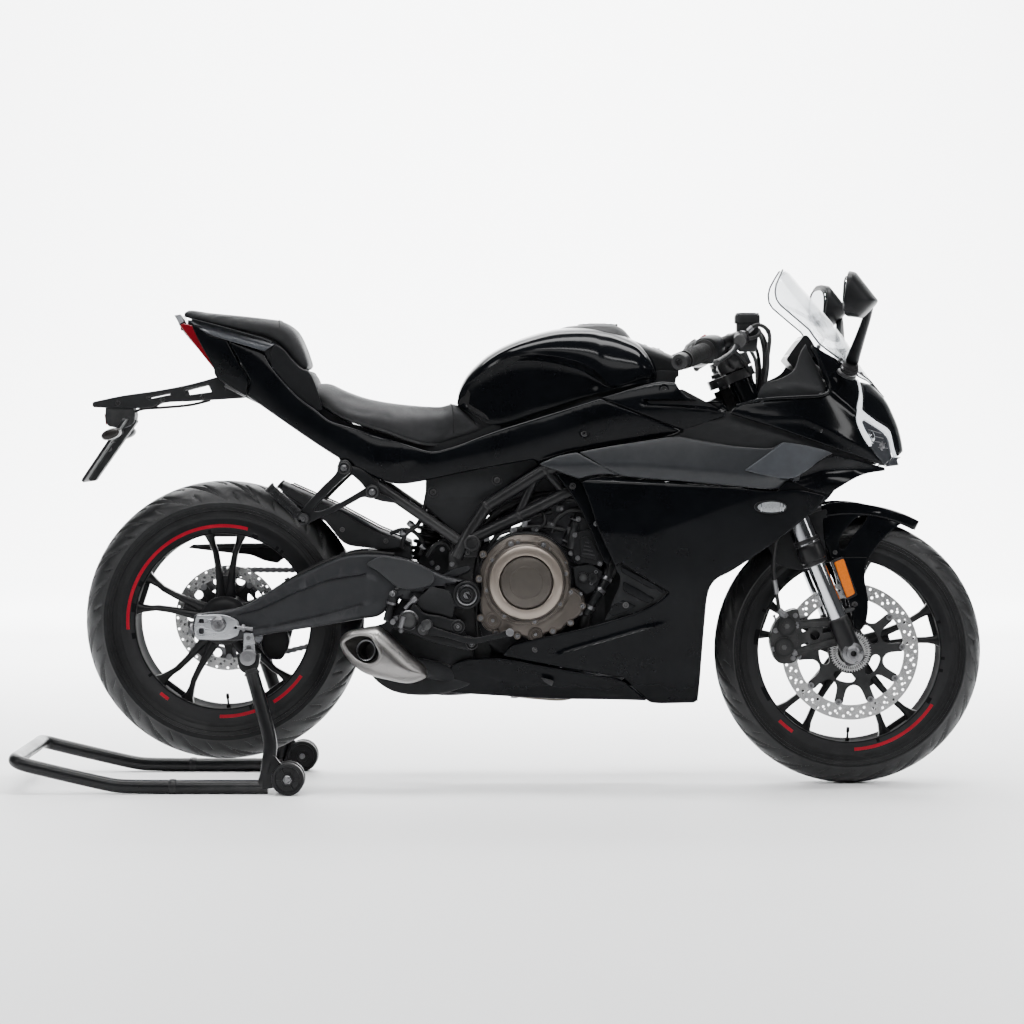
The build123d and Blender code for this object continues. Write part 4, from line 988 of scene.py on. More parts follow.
def make_disc(name, node_name, body, c, y0, y1, outer, inner, first, arms, holes, carrier_mat, wave=0.0, extra=None):
    """A drilled brake disc on a five-arm carrier with bobbins."""
    sh = Shape()
    a = np.linspace(0, 2 * math.pi, 240, endpoint=False)
    ro = outer - 0.6 + wave * np.cos(10 * a)
    out = np.stack([c[0] + ro * np.cos(a), c[2] + ro * np.sin(a)], 1)
    # inner edge scalloped round the bobbins
    ri = np.full_like(a, inner)
    for k in range(arms * 2):
        t = math.radians(first) + 2 * math.pi * k / (arms * 2)
        d = np.abs((a - t + math.pi) % (2 * math.pi) - math.pi)
        ri = np.minimum(ri, np.where(d < 0.085, inner - 9 * np.cos(d / 0.085 * math.pi / 2), inner))
    inn = np.stack([c[0] + ri * np.cos(a), c[2] + ri * np.sin(a)], 1)
    hole_loops = [inn]
    for row, (r, cnt, ph, hr) in enumerate(holes):
        for k in range(cnt):
            t = 2 * math.pi * (k + ph) / cnt
            hole_loops.append(circle(c[0] + r * math.cos(t), c[2] + r * math.sin(t), hr, 14))
    v, f = plate(out, y0, y1, hole_loops)
    sh.add(v, f, "disc_steel")
    # carrier
    sgn = -1 if y0 < 0 else 1
    ym = (y0 + y1) / 2
    arm = []
    waist = inner - 43 if inner > 100 else inner - 32
    segs_n = arms * 2
    for k in range(segs_n):
        t = math.radians(first) + 2 * math.pi * k / segs_n
        nxt = t + 2 * math.pi / segs_n
        for dt, rr in ((-0.075, inner - 2.5), (0.075, inner - 2.5)):
            arm.append((c[0] + rr * math.cos(t + dt), c[2] + rr * math.sin(t + dt)))
        for dt, rr in ((0.095, inner - 16), (0.15, waist + 7), (0.5 * (nxt - t), waist), (nxt - t - 0.15, waist + 7), (nxt - t - 0.095, inner - 16)):
            arm.append((c[0] + rr * math.cos(t + dt), c[2] + rr * math.sin(t + dt)))
    carrier_out = resample(catmull(arm, 5, True), 3.0, True)
    win = []
    for k in range(arms):
        t = math.radians(first) + 2 * math.pi * (k + 0.5) / arms
        w = []
        r_i, r_o = 50 if inner > 100 else 46, inner - 51 if inner > 100 else inner - 38
        if r_o > r_i + 6:
            for dt, rr in ((-0.34, r_i), (0, r_i - 1.5), (0.34, r_i), (0.42, (r_i + r_o) / 2), (0.34, r_o), (0, r_o + 2), (-0.34, r_o), (-0.42, (r_i + r_o) / 2)):
                w.append((c[0] + rr * math.cos(t + dt), c[2] + rr * math.sin(t + dt)))
            win.append(resample(catmull(w, 5, True), 3.0, True))
    v, f = plate(carrier_out, ym - 1.6, ym + 1.6, [circle(c[0], c[2], 14, 32)] + win)
    sh.add(v, f, carrier_mat)
    for k in range(segs_n):
        t = math.radians(first) + 2 * math.pi * k / segs_n
        p = (c[0] + (inner - 3.5) * math.cos(t), 0, c[2] + (inner - 3.5) * math.sin(t))
        v, f = turned([(6.4, ym - 3.6), (6.9, ym - 3.0), (6.9, ym + 3.0), (6.4, ym + 3.6), (3.2, ym + 3.6)], p, (0, 1, 0), 24)
        sh.add(v, f, "bolt_steel")
        v, f = turned([(3.4, sgn * (abs(ym) + 3.4)), (3.2, sgn * (abs(ym) + 4.6))], p, (0, 1, 0), 16)
        sh.add(v, f if sgn > 0 else [tuple(reversed(q)) for q in f], "black_bolt")
    for k in range(arms):
        t = math.radians(first + 36) + 2 * math.pi * k / arms
        bolt(sh, c[0] + 40 * math.cos(t), ym + sgn * 1.6, c[2] + 40 * math.sin(t), 4.6, 4.0, (0, sgn, 0), "black_bolt")
    if extra:
        extra(sh)
    return sh.done(name, body, node_name, smooth=30, bevel=0.25, bevel_angle=60, segments=1)


def front_extra(sh):
    c = FA
    # spacer towards the hub and the toothed speed ring outside it
    v, f = lathe([(20, -57), (30, -57), (34, -54), (34, -42), (30, -40), (20, -40)], c, (0, 1, 0), 48)
    sh.add(v, f, "cast_alloy")
    teeth = 48
    a = []
    for k in range(teeth):
        t = 2 * math.pi * k / teeth
        for dt, r in ((0.0, 41.5), (0.25, 41.5), (0.5, 45.5), (0.75, 45.5)):
            a.append((c[0] + r * math.cos(t + dt * 2 * math.pi / teeth), c[2] + r * math.sin(t + dt * 2 * math.pi / teeth)))
    slots = []
    for k in range(teeth):
        t = 2 * math.pi * (k + 0.2) / teeth
        e, q = np.array((math.cos(t), math.sin(t))), np.array((-math.sin(t), math.cos(t)))
        slots.append([tuple(np.array((c[0], c[2])) + e * r + q * s) for r, s in ((32.5, -0.9), (32.5, 0.9), (38.0, 1.1), (38.0, -1.1))])
    v, f = plate(a, -67.0, -65.4, [circle(c[0], c[2], 27.5, 48)] + slots)
    sh.add(v, f, "disc_steel")
    v, f = lathe([(27.5, -66.5), (27.5, -61), (30.5, -61), (30.5, -66.5)], c, (0, 1, 0), 48)
    sh.add(v, f, "bolt_steel")


make_disc("front_disc_drilled", "front_brake_disc", "front_wheel", FA, -62.5, -57.7, 150, 117, 5, 5,
          ((142, 30, 0.0, 3.0), (134, 30, 0.33, 3.0), (126, 30, 0.66, 3.0), (138, 30, 0.5, 1.9)), "wheel_black", extra=front_extra)


def rear_extra(sh):
    v, f = lathe([(18, 46.2), (34, 46.2), (36, 48.4), (36, 50), (18, 50)], RA, (0, 1, 0), 48)
    sh.add(v, f, "cast_alloy")


make_disc("rear_disc_drilled", "rear_brake_disc", "rear_wheel", RA, 48.2, 52.8, 117, 90, 20, 5,
          ((111, 28, 0.0, 2.8), (103.5, 28, 0.33, 2.8), (96.5, 28, 0.66, 2.8)), "wheel_black", extra=rear_extra)

# sprocket with teeth, sitting inside the chain
sh = Shape()
teeth = 46
pts2 = []
for k in range(teeth):
    for dt, r in ((-0.5, 101.5), (-0.30, 102.5), (-0.14, 106.2), (0.14, 106.2), (0.30, 102.5)):
        t = 2 * math.pi * (k + dt) / teeth
        pts2.append((RA[0] + r * math.cos(t), RA[2] + r * math.sin(t)))
holes = [circle(RA[0], RA[2], 16, 40)]
for k in range(10):
    t = 2 * math.pi * k / 10
    holes.append(circle(RA[0] + 84 * math.cos(t), RA[2] + 84 * math.sin(t), 9.5, 24))
for k in range(5):
    t = 2 * math.pi * (k + 0.5) / 5
    w = []
    for dt, r in ((-0.36, 46), (0.36, 46), (0.40, 60), (0.30, 68), (-0.30, 68), (-0.40, 60)):
        w.append((RA[0] + r * math.cos(t + dt), RA[2] + r * math.sin(t + dt)))
    holes.append(resample(catmull(w, 4, True), 3.0, True))
v, f = plate(pts2, 80.8, 85.2, holes)
sh.add(v, f, "bolt_steel")
v, f = lathe([(17, 53), (30, 53), (34, 55), (34, 80.5), (17, 80.5)], RA, (0, 1, 0), 48)
sh.add(v, f, "cast_alloy")
for k in range(5):
    t = 2 * math.pi * k / 5
    bolt(sh, RA[0] + 52 * math.cos(t), 85.2, RA[2] + 52 * math.sin(t), 7, 5, (0, 1, 0), "bolt_steel")
sh.done("rear_sprocket_toothed", "rear_wheel", "rear_sprocket", smooth=30)

# chain: side plates and rollers round the two circles
r1, r2 = 105.0, 32.0
p1, p2 = np.array((-607.0, 359.0)), np.array((2.0, 430.0))
L = np.linalg.norm(p2 - p1)
th = math.atan2(p2[1] - p1[1], p2[0] - p1[0])
al = math.acos((r1 - r2) / L)
path = []
for t in np.linspace(th + al, th - al + 2 * math.pi, 60):
    path.append(p1 + r1 * np.array((math.cos(t), math.sin(t))))
for t in np.linspace(th - al, th + al, 30):
    path.append(p2 + r2 * np.array((math.cos(t), math.sin(t))))
links = 118
chain_pts = resample(np.array(path), 1.0, True)
d = np.linalg.norm(np.diff(np.vstack([chain_pts, chain_pts[:1]]), axis=0), axis=1)
s = np.concatenate([[0], np.cumsum(d)])
at = np.linspace(0, s[-1], links, endpoint=False)
cp = np.vstack([chain_pts, chain_pts[:1]])
pins = np.stack([np.interp(at, s, cp[:, k]) for k in range(2)], 1)
sh = Shape()
for k in range(links):
    a, b = pins[k], pins[(k + 1) % links]
    mid = (a + b) / 2
    e = (b - a) / np.linalg.norm(b - a)
    q = np.array((-e[1], e[0]))
    half = np.linalg.norm(b - a) / 2
    outline = []
    for t in np.linspace(-math.pi / 2, math.pi / 2, 6):
        outline.append(mid + e * (half + 5.0 * math.cos(t)) + q * 6.2 * math.sin(t))
    outline.append(mid + q * 4.6)
    for t in np.linspace(math.pi / 2, 3 * math.pi / 2, 6):
        outline.append(mid + e * (-half + 5.0 * math.cos(t)) + q * 6.2 * math.sin(t))
    outline.append(mid - q * 4.6)
    o = np.array(outline)
    n = len(o)
    for y0, y1 in (((88.2, 90.0), (76.0, 77.8)) if k % 2 else ((86.2, 87.9), (78.1, 79.8))):
        vv = np.vstack([np.stack([o[:, 0], np.full(n, y0), o[:, 1]], 1), np.stack([o[:, 0], np.full(n, y1), o[:, 1]], 1)])
        ff = [tuple(range(n)), tuple(reversed(range(n, 2 * n)))] + [(i, i + n, (i + 1) % n + n, (i + 1) % n) for i in range(n)]
        sh.add(vv, ff, "cast_alloy" if k % 2 else "bolt_steel")
    v, f = turned([(4.6, 79.9), (4.6, 86.1)], (a[0], 0, a[1]), (0, 1, 0), 10)
    sh.add(v, f, "bolt_steel")
    v, f = turned([(2.6, 75.4), (2.6, 90.8)], (a[0], 0, a[1]), (0, 1, 0), 8)
    sh.add(v, f, "bolt_steel")
tt = 15
pts2 = []
for k in range(tt):
    for dt, r in ((-0.5, 27.5), (-0.28, 28.5), (-0.13, 32.5), (0.13, 32.5), (0.28, 28.5)):
        t = 2 * math.pi * (k + dt) / tt
        pts2.append((2.0 + r * math.cos(t), 430.0 + r * math.sin(t)))
v, f = plate(pts2, 80.6, 85.4)
sh.add(v, f, "bolt_steel")
v, f = turned([(13.5, 69), (13.5, 92), (11, 94), (6, 94)], (2, 0, 430), (0, 1, 0), 24)
sh.add(v, f, "bolt_steel")
sh.done("drive_chain_links", "chassis", "drive_chain", smooth=30)

# ---------------------------------------------------- fork, caliper, fender
def ax(t, f=0.0, y=0.0):
    return steer_pt(t, f, y)


sh = Shape()
for sd in (-1, 1):
    y = sd * 95.0
    o = ax(0, 0, y)
    # axle lug: a turned boot with a clamp foot
    v, f = turned([(20, -24), (23, -20), (23.8, 20), (23.8, 60), (23.0, 72), (22.4, 78), (20, 84)], o, UP, 40)
    sh.add(v, f, "frame_black")
    # foot round the axle
    v, f = turned([(22, -19), (24, -17), (24, 17), (22, 19)], (FA[0], y, FA[2]), (0, 1, 0), 40)
    sh.add(v, f, "frame_black")
    v, f = turned([(12, -21.5), (16, -21.5), (16, 21.5), (12, 21.5)], (FA[0], y, FA[2]), (0, 1, 0), 6)
    sh.add(v, f, "bolt_steel")
    # pinch bolts under the foot
    for k in (-10, 10):
        p = ax(-22, -12, y + k)
        v, f = turned([(4.6, 0), (4.6, 24), (3.6, 25)], p, FW, 6)
        sh.add(v, f, "bolt_steel")
    # chrome stanchion
    v, f = turned([(20.2, 80), (20.5, 84), (20.5, 214)], o, UP, 64)
    sh.add(v, f, "chrome")
    # dust seal and collar
    v, f = turned([(20.6, 206), (26.5, 208), (27.5, 212), (27.5, 216), (29.4, 218), (29.9, 222), (29.9, 246), (29.2, 250), (28.0, 253), (27.2, 256)], o, UP, 56)
    sh.add(v, f, "frame_black")
    # outer tube, polished
    v, f = turned([(27.0, 255), (27.0, 420), (27.0, 424)], o, UP, 64)
    sh.add(v, f, "fork_tube")
    v, f = turned([(27.0, 424), (27.0, 690), (26.3, 694), (22, 696)], o, UP, 64)
    sh.add(v, f, "gloss_black")
    v, f = turned([(27.1, 258), (27.35, 260), (27.35, 266), (27.1, 268)], o, UP, 56)
    sh.add(v, f, "frame_black")
    # cap with hex
    v, f = turned([(18, 695), (18, 699), (16.8, 700.5)], o, UP, 48)
    sh.add(v, f, "black_bolt")
    v, f = turned([(11.5, 699), (11.5, 706), (10.2, 707.5)], o, UP, 6)
    sh.add(v, f, "bronze")
material("fork_tube", (0.26, 0.265, 0.28), rough=0.17, metal=1.0, rough_var=0.05, color_var=0.06, bump=0.05, bump_scale=700)
sh.done("fork_legs_turned", "steering", "fork_legs", smooth=34)

# triple clamps: rounded yokes with pinch bolts
sh = Shape()


def steer_plane(v, level):
    """(forward, y, up) local points placed on the fork line at a level."""
    v = np.array(v, float)
    return FA[None, :] + UP[None, :] * (v[:, 2:3] + level) + FW[None, :] * v[:, 0:1] + np.array([[0, 1, 0]]) * v[:, 1:2]


for level, thick in ((425.0, 34.0), (640.0, 22.0)):
    out = []
    for t in np.linspace(-100, 100, 11):
        out.append((36 * math.cos(math.radians(t)) + 0, 95 + 36 * math.sin(math.radians(t))))
    out += [(-30, 128), (-37, 104), (-50, 62), (-60, 30)]
    half = out
    full = [(28, 48), (20, 16), (20, -16), (28, -48)]
    right = [(x, -y) for x, y in reversed(half)]
    ol = half[::-1]
    ring = [(20, 0)] + [(23, 30), (27, 60)] + half + [(-62, 12), (-62, -12)] + right + [(27, -60), (23, -30)]
    ring = resample(catmull(ring, 4, True), 4.0, True)
    v, f = plate(ring, 1.0, thick - 1.0, [circle(0, 95, 27.2, 48), circle(0, -95, 27.2, 48), circle(-30, 0, 15.2, 40)] + ([circle(-2, 44, 9, 24), circle(-2, -44, 9, 24)] if level > 600 else []), plane="xy")
    sh.add(steer_plane(v, level), f, "frame_black")
    for sd in (-1, 1):
        for k in ((10, 24) if thick > 30 else (11,)):
            a = steer_plane([(-46, sd * 70, k)], level)[0]
            d = steer_plane([(-22, sd * 76, k)], level)[0] - a
            v, f = turned([(5.6, -2), (5.8, 0), (5.8, 8)], a + d * 0.1, d, 20)
            sh.add(v, f, "bolt_steel")
            v, f = turned([(3.0, -2.1), (2.8, -2.2)], a + d * 0.1, d, 6)
            sh.add(v, f, "black_bolt")
o = ax(0, -30, 0)
v, f = lathe([(15, 425), (15, 662), (12.5, 664), (12.5, 672), (9.2, 672), (9.2, 425)], o, UP, 40, closed=True)
sh.add(v, f, "bolt_steel")
v, f = lathe([(20, 662.5), (20, 670), (18.5, 671.8), (13.2, 671.8), (13.2, 662.5)], o, UP, 6, closed=True)
sh.add(v, f, "black_bolt")
# ignition switch ahead of the nut
o2 = ax(0, -4, 0)
v, f = turned([(17, 660), (17, 676), (15, 679), (6, 679), (5.5, 677)], o2, UP, 36)
sh.add(v, f, "satin_black")
sh.done("steering_yokes", "steering", "steering_clamps", smooth=32, bevel=1.6, bevel_angle=50)

# axles: hollow spindles with hex ends
for nm, nd, body, c, half in (("front_axle_turned", "front_axle", "steering", FA, 128.0), ("rear_axle_turned", "rear_axle", "chassis", RA, 172.0)):
    sh = Shape()
    v, f = lathe([(10, -half + 8), (10, half - 8), (6.5, half), (6.5, -half)], c, (0, 1, 0), 40, closed=True)
    sh.add(v, f, "bolt_steel")
    for sd in (-1, 1):
        pr = [(6.5, half), (12.2, half), (13.6, half - 1.2), (15.6, half - 2.2), (15.9, half - 8.8), (10, half - 9)]
        v, f = lathe([(r, sd * h) for r, h in pr], c, (0, 1, 0), 6 if nd == "rear_axle" else 40)
        sh.add(v, f if sd > 0 else [tuple(reversed(q)) for q in f], "bolt_steel")
        if nd == "front_axle":
            v, f = lathe([(15.9, sd * (half - 9)), (23, sd * (half - 11.4))], c, (0, 1, 0), 40)
            sh.add(v, f if sd < 0 else [tuple(reversed(q)) for q in f], "bolt_steel")
    sh.done(nm, body, nd, smooth=30, bevel=0.5)

# brake caliper: two pistons' body, bridge bolts and pads
sh = Shape()
cal = [(646, 388), (628, 384), (612, 374), (596, 354), (588, 334), (586, 316), (590, 296), (598, 276), (607, 269), (630, 269), (642, 273), (650, 300), (655, 330), (652, 362)]
co = round_outline(cal, 40, 5, 3.5)
v, f = plate(co, -85.5, -68.5, [circle(618, 352, 5, 16), circle(612, 300, 5, 16)])
sh.add(v, f, "caliper_black")
v, f = plate(co, -51.5, -41.5)
sh.add(v, f, "caliper_black")
bridge = round_outline([(588, 312), (593, 289), (604, 271), (606, 277), (600, 318), (616, 376), (594, 350)], 40, 2, 3)
v, f = plate(bridge, -69, -51)
sh.add(v, f, "caliper_black")
for cx, cz in ((622, 350), (616, 304)):
    v, f = turned([(22, -84), (22, -88.5), (19.5, -91), (12, -91.8)], (cx, 0, cz), (0, 1, 0), 40)
    sh.add(v, [tuple(reversed(q)) for q in f], "caliper_black")
    v, f = turned([(10.5, -91), (10.5, -93.4), (9.6, -94)], (cx, 0, cz), (0, 1, 0), 24)
    sh.add(v, [tuple(reversed(q)) for q in f], "caliper_black")
    v, f = turned([(6, -93), (6, -94.6)], (cx, 0, cz), (0, 1, 0), 6)
    sh.add(v, [tuple(reversed(q)) for q in f], "black_bolt")
for x, z in ((598, 340), (594, 300), (641, 373), (636, 280)):
    bolt(sh, x, -85.4, z, 5.2, 4.5, (0, -1, 0), "bolt_steel")
v, f = plate(round_outline([(612, 366), (632, 358), (635, 328), (631, 298), (614, 288), (620, 326)], 40, 3, 3), -68.4, -63.6)
sh.add(v, f, "bolt_steel")
v, f = plate(round_outline([(612, 366), (632, 358), (635, 328), (631, 298), (614, 288), (620, 326)], 40, 3, 3), -56.4, -51.6)
sh.add(v, f, "bolt_steel")
# mounting arms to the fork foot
for a, b, r in (((640, -79, 352), (735, -88, 358), 8.5), ((636, -79, 292), (742, -88, 322), 8.5)):
    v, f = rod(a, b, r, 20, r * 0.95)
    sh.add(v, f, "caliper_black")
    bolt(sh, a[0] + 4, -85.5, a[2], 6.5, 6, (0, -1, 0), "bolt_steel")
v, f = plate(round_outline([(640, 362), (738, 372), (745, 345), (744, 312), (732, 308), (640, 282), (646, 322)], 40, 8, 4), -86, -76, [circle(684, 330, 11, 24), round_outline([(702, 352), (728, 352), (724, 338), (700, 334)], 30, 3, 3), round_outline([(702, 322), (726, 326), (728, 316), (700, 308)], 30, 3, 3), round_outline([(654, 350), (676, 354), (668, 340), (656, 336)], 30, 3, 3), round_outline([(654, 308), (668, 316), (678, 302), (654, 296)], 30, 3, 3)])
sh.add(v, f, "caliper_black")
v, f = tube(catmull([(606, -80, 384), (612, -82, 378), (618, -82, 372)], 6), 7.5, 20)
sh.add(v, f, "bolt_steel")
bolt(sh, 618, -86, 372, 7, 6, (0, -1, 0), "bolt_steel")
# bleed nipple
v, f = turned([(4.2, 0), (4.2, 8), (2.4, 9), (2.4, 15), (3.2, 16), (3.2, 19)], (602, -78, 356), (-0.4, -0.1, 0.9), 16)
sh.add(v, f, "bolt_steel")
sh.done("front_caliper_cast", "steering", "front_caliper", smooth=30, bevel=0.9, bevel_angle=45, segments=2)

# front fender: one curved shell over the wheel, with tail and leg plates
sh = Shape()
c = FA


def fender_band(th0, th1, r_of, w_of, thick, crown, n1=70, n2=26):
    rows_o, rows_i = [], []
    for i in range(n1 + 1):
        t = i / n1
        th = math.radians(th0 + (th1 - th0) * t)
        e = np.array((math.cos(th), 0, math.sin(th)))
        r, w = r_of(t), w_of(t)
        ro, ri = [], []
        for j in range(n2 + 1):
            s = -1 + 2 * j / n2
            y = w * math.sin(s * math.pi / 2) if abs(s) < 1 else w * s
            y = w * (0.55 * s + 0.45 * math.sin(s * math.pi / 2))
            drop = crown * (abs(s) ** 3.2)
            ridge = 2.2 * math.exp(-((abs(s) - 0.52) / 0.09) ** 2)
            ro.append(np.array(c) + e * (r - drop + ridge) + np.array((0, y, 0)))
            ri.append(np.array(c) + e * (r - drop - thick + ridge * 0.5) + np.array((0, y * 0.985, 0)))
        rows_o.append(ro)
        rows_i.append(ri)
    V = np.array(rows_o + rows_i).reshape(-1, 3)
    n = n2 + 1
    m = n1 + 1
    F = []
    for i in range(n1):
        for j in range(n2):
            a, b, d, e_ = i * n + j, i * n + j + 1, (i + 1) * n + j + 1, (i + 1) * n + j
            F.append((a, e_, d, b))
            o_ = m * n
            F.append((a + o_, b + o_, d + o_, e_ + o_))
    o_ = m * n
    for i in range(n1):
        a, e_ = i * n, (i + 1) * n
        F.append((a, a + o_, e_ + o_, e_))
        a, e_ = i * n + n2, (i + 1) * n + n2
        F.append((a, e_, e_ + o_, a + o_))
    for j in range(n2):
        F.append((j, j + 1, j + 1 + o_, j + o_))
        a = n1 * n + j
        F.append((a, a + o_, a + 1 + o_, a + 1))
    return V, F


# tip narrows to a beak at the front
v, f = fender_band(60.8, 100, lambda t: 322.5 + 1.5 * (1 - t) ** 2, lambda t: 18 + 50 * min(1, (t / 0.42)) ** 0.62, 3.0, 20)
sh.add(v, f, "gloss_black")
v, f = fender_band(99, 138.5, lambda t: 320.5 - 5 * t, lambda t: 66 - 2 * t, 3.0, 17)
sh.add(v, f, "matte_black")
# cheeks down beside the tyre
top = [(908, 581), (880, 592), (840, 605), (800, 614), (760, 619), (722, 618), (700, 611), (707, 530), (716, 508), (723, 478), (732, 462), (794, 461), (801, 490),
       (816, 515), (842, 546), (870, 567)]
hole = catmull([(738, 532), (747, 552), (762, 572), (778, 586), (799, 589), (790, 572), (768, 545), (750, 519), (741, 516)], 4, True)


def cheek_y(x, z):
    x, z = np.asarray(x, float), np.asarray(z, float)
    r = np.hypot(x - FA[0], z - FA[2])
    k = np.clip((r - 262) / 52, 0, 1)
    narrow = np.clip((x - 800) / 108, 0, 1)
    return 70.5 - 7.0 * k ** 2 - 40 * narrow ** 1.6


for sd in (-1, 1):
    v, f = skin(top, cheek_y, thick=4.0, edge=2.2, res=6.5, holes=[hole], side=sd, radius=4)
    sh.add(v, f, "gloss_black")
tail = [(578, 531), (612, 555), (688, 598), (712, 604), (714, 556), (703, 486), (655, 471), (602, 483)]
for sd in (-1, 1):
    v, f = skin(tail, lambda x, z: 68.5 - 0.0 * x - 2.5 * np.clip((np.hypot(x - FA[0], z - FA[2]) - 262) / 52, 0, 1) ** 2, thick=3.6, edge=2.0, res=8, side=sd, radius=6)
    sh.add(v, f, "matte_black")
leg = [(722, 500), (726, 470), (738, 446), (758, 402), (763, 378), (771, 345), (784, 339), (794, 352), (799, 372), (801, 400), (793, 462), (801, 500)]


def leg_y(x, z):
    z = np.asarray(z, float)
    return 75.5 - 3.0 * np.clip((z - 430) / 90, -1, 1) + 0 * np.asarray(x)


for sd in (-1, 1):
    v, f = skin(leg, leg_y, thick=5.0, edge=2.6, res=6, side=sd, radius=5)
    sh.add(v, f, "gloss_black")
    bolt(sh, 771, sd * 75.5, 396, 6.5, 4.0, (0, sd, 0), "black_bolt")
    bolt(sh, 786, sd * 75, 362, 4.8, 3.0, (0, sd, 0), "black_bolt")
    v, f = rod((772, sd * 71, 388), (744, sd * 85, 380), 5, 16)
    sh.add(v, f, "satin_black")
# amber reflector with bezel; its lens has a faint emission, a painted glow since a reflector is no lamp
for sd in (-1, 1):
    ro = round_outline([(720, 492), (746, 501), (777, 417), (754, 406)], 40, 4, 3)
    v, f = skin(ro, lambda x, z: 80.4 + 0 * x, thick=6.0, edge=2.0, res=6, side=sd, rounded=False)
    sh.add(v, f, "satin_black")
    rc = np.array(ro)
    mid = rc.mean(0)
    inner = mid + (rc - mid) * np.array((0.80, 0.90))
    v, f = skin(inner, lambda x, z: 82.6 + 0 * x, thick=5.0, edge=2.2, res=5, side=sd, rounded=False)
    sh.add(v, f, "amber")
    bolt(sh, 728, sd * 80, 510, 4.6, 3.2, (0, sd, 0), "black_bolt")
ob = sh.done("front_fender_shell", "steering", "front_fender", smooth=34)

# --------------------------------------------------------- bars and controls
sh = Shape()
sc = Shape()
bi, bo = np.array((478.0, -118, 962)), np.array((378.0, -336, 921))
run = bo - bi
bd = run / np.linalg.norm(run)
for sd in (1, -1):
    tf = np.diag([1, sd, 1, 1]).astype(float)

    def put(S, vf, mat):
        v, f = vf
        v = np.array(v, float)
        if sd < 0:
            v = v * np.array([1, -1, 1])
            f = [tuple(reversed(q)) for q in f]
        S.add(v, f, mat)
    # clamp ring with its bolt
    put(sh, lathe([(27.2, 664.5), (36, 664.5), (37, 666), (37, 692), (36, 693.5), (27.2, 693.5)], ax(0, 0, -95), UP, 48, closed=True), "frame_black")
    neck = catmull([ax(679, 0, -95 - 24), ax(681, 2, -128), bi - run * 0.02], 6)
    put(sh, tube(neck, [17, 16, 15], 24), "frame_black")
    put(sh, tube([bi - run * 0.05, bo], 11, 28), "frame_black")
    p = ax(679, -34, -80)
    put(sh, turned([(5, 0), (5, 28), (4, 29)], p, (0.2, -1, 0), 20), "bolt_steel")
    # grip: ribbed rubber with flange
    g0, g1 = 0.43, 0.93
    prof = []
    Lr = np.linalg.norm(run)
    prof.append((11.2, g0 * Lr))
    prof += [(25.5, g0 * Lr), (26.2, g0 * Lr + 1.2), (25.5, g0 * Lr + 3.0), (20.0, g0 * Lr + 5.2)]
    n = 46
    for i in range(n):
        t = g0 * Lr + 7 + (g1 - g0) * Lr * 0.93 * (i / n)
        wave = 0.9 if i % 2 else 0.0
        belly = 0.7 * math.sin(math.pi * i / n)
        prof.append((18.6 + belly + wave, t))
        prof.append((18.6 + belly + wave, t + (g1 - g0) * Lr * 0.93 / n * 0.55))
    prof += [(19.6, g1 * Lr - 3), (19.8, g1 * Lr), (11.2, g1 * Lr + 0.5)]
    put(sh, lathe(prof, bi, bd, 40), "rubber")
    # bar end weight
    e0 = 0.94 * Lr
    put(sh, turned([(12, e0), (15.5, e0 + 0.6), (17.6, e0 + 3), (18, e0 + 8), (17.6, e0 + 20), (18.0, e0 + 24), (16.8, e0 + 28), (11, e0 + 29.2), (6, e0 + 29.2), (5.6, e0 + 26)], bi, bd, 40), "satin_black")
    # switch housing: rounded two-part box about the bar
    rings = []
    u = np.cross(bd, (0, 0, 1.0))
    u /= np.linalg.norm(u)
    w = np.cross(u, bd)
    for t, k in ((0.195, 0.82), (0.205, 0.97), (0.22, 1.0), (0.30, 1.02), (0.385, 1.0), (0.40, 0.95), (0.41, 0.8)):
        ctr = bi + run * t
        loop = []
        for q in range(32):
            a = 2 * math.pi * q / 32
            cs, sn = math.cos(a), math.sin(a)
            px = abs(cs) ** 0.7 * math.copysign(1, cs) * 27 * k
            py = abs(sn) ** 0.7 * math.copysign(1, sn) * 29 * k
            loop.append(ctr + u * px + w * py)
        rings.append(loop)
    put(sc, loft(rings), "satin_black")
    put(sc, lathe([(22.8, 0.30 * Lr - 0.5), (23.2, 0.30 * Lr), (22.8, 0.30 * Lr + 0.5)], bi, bd, 32), "black_bolt")
    # kill switch rocker / buttons on the rider's side
    back = -np.array((0.85, 0, -0.35))
    back -= bd * (back @ bd)
    back /= np.linalg.norm(back)
    for t, r, h, mt in ((0.25, 6.0, 24.8, "satin_black"), (0.335, 7.0, 25.5, "satin_black")):
        ctr = bi + run * t
        put(sc, turned([(r, 18), (r, h + 4), (r - 1.2, h + 5)], ctr, back, 24), mt)
    upd = w * 0.8 + back * 0.6
    upd /= np.linalg.norm(upd)
    ctr = bi + run * 0.30
    rr_ = []
    for a_, b_, hh in ((-9, -5, 20), (-9, 5, 20), (9, 5, 20), (9, -5, 20)):
        rr_.append((a_, b_))
    side_v = np.cross(upd, bd)
    ringA = [ctr + bd * a_ + side_v * b_ + upd * 24 for a_, b_ in rr_]
    ringB = [ctr + bd * a_ + side_v * b_ + upd * 31.5 for a_, b_ in rr_]
    ringC = [ctr + bd * a_ * 0.8 + side_v * b_ * 0.7 + upd * (34 if a_ < 0 else 32.2) for a_, b_ in rr_]
    put(sc, loft([ringA, ringB, ringC]), "red_stripe" if sd > 0 else "satin_black")
    for t in (0.22, 0.39):
        put(sc, turned([(2.8, 20), (2.8, 23.6)], bi + run * t, -w, 12), "bolt_steel")
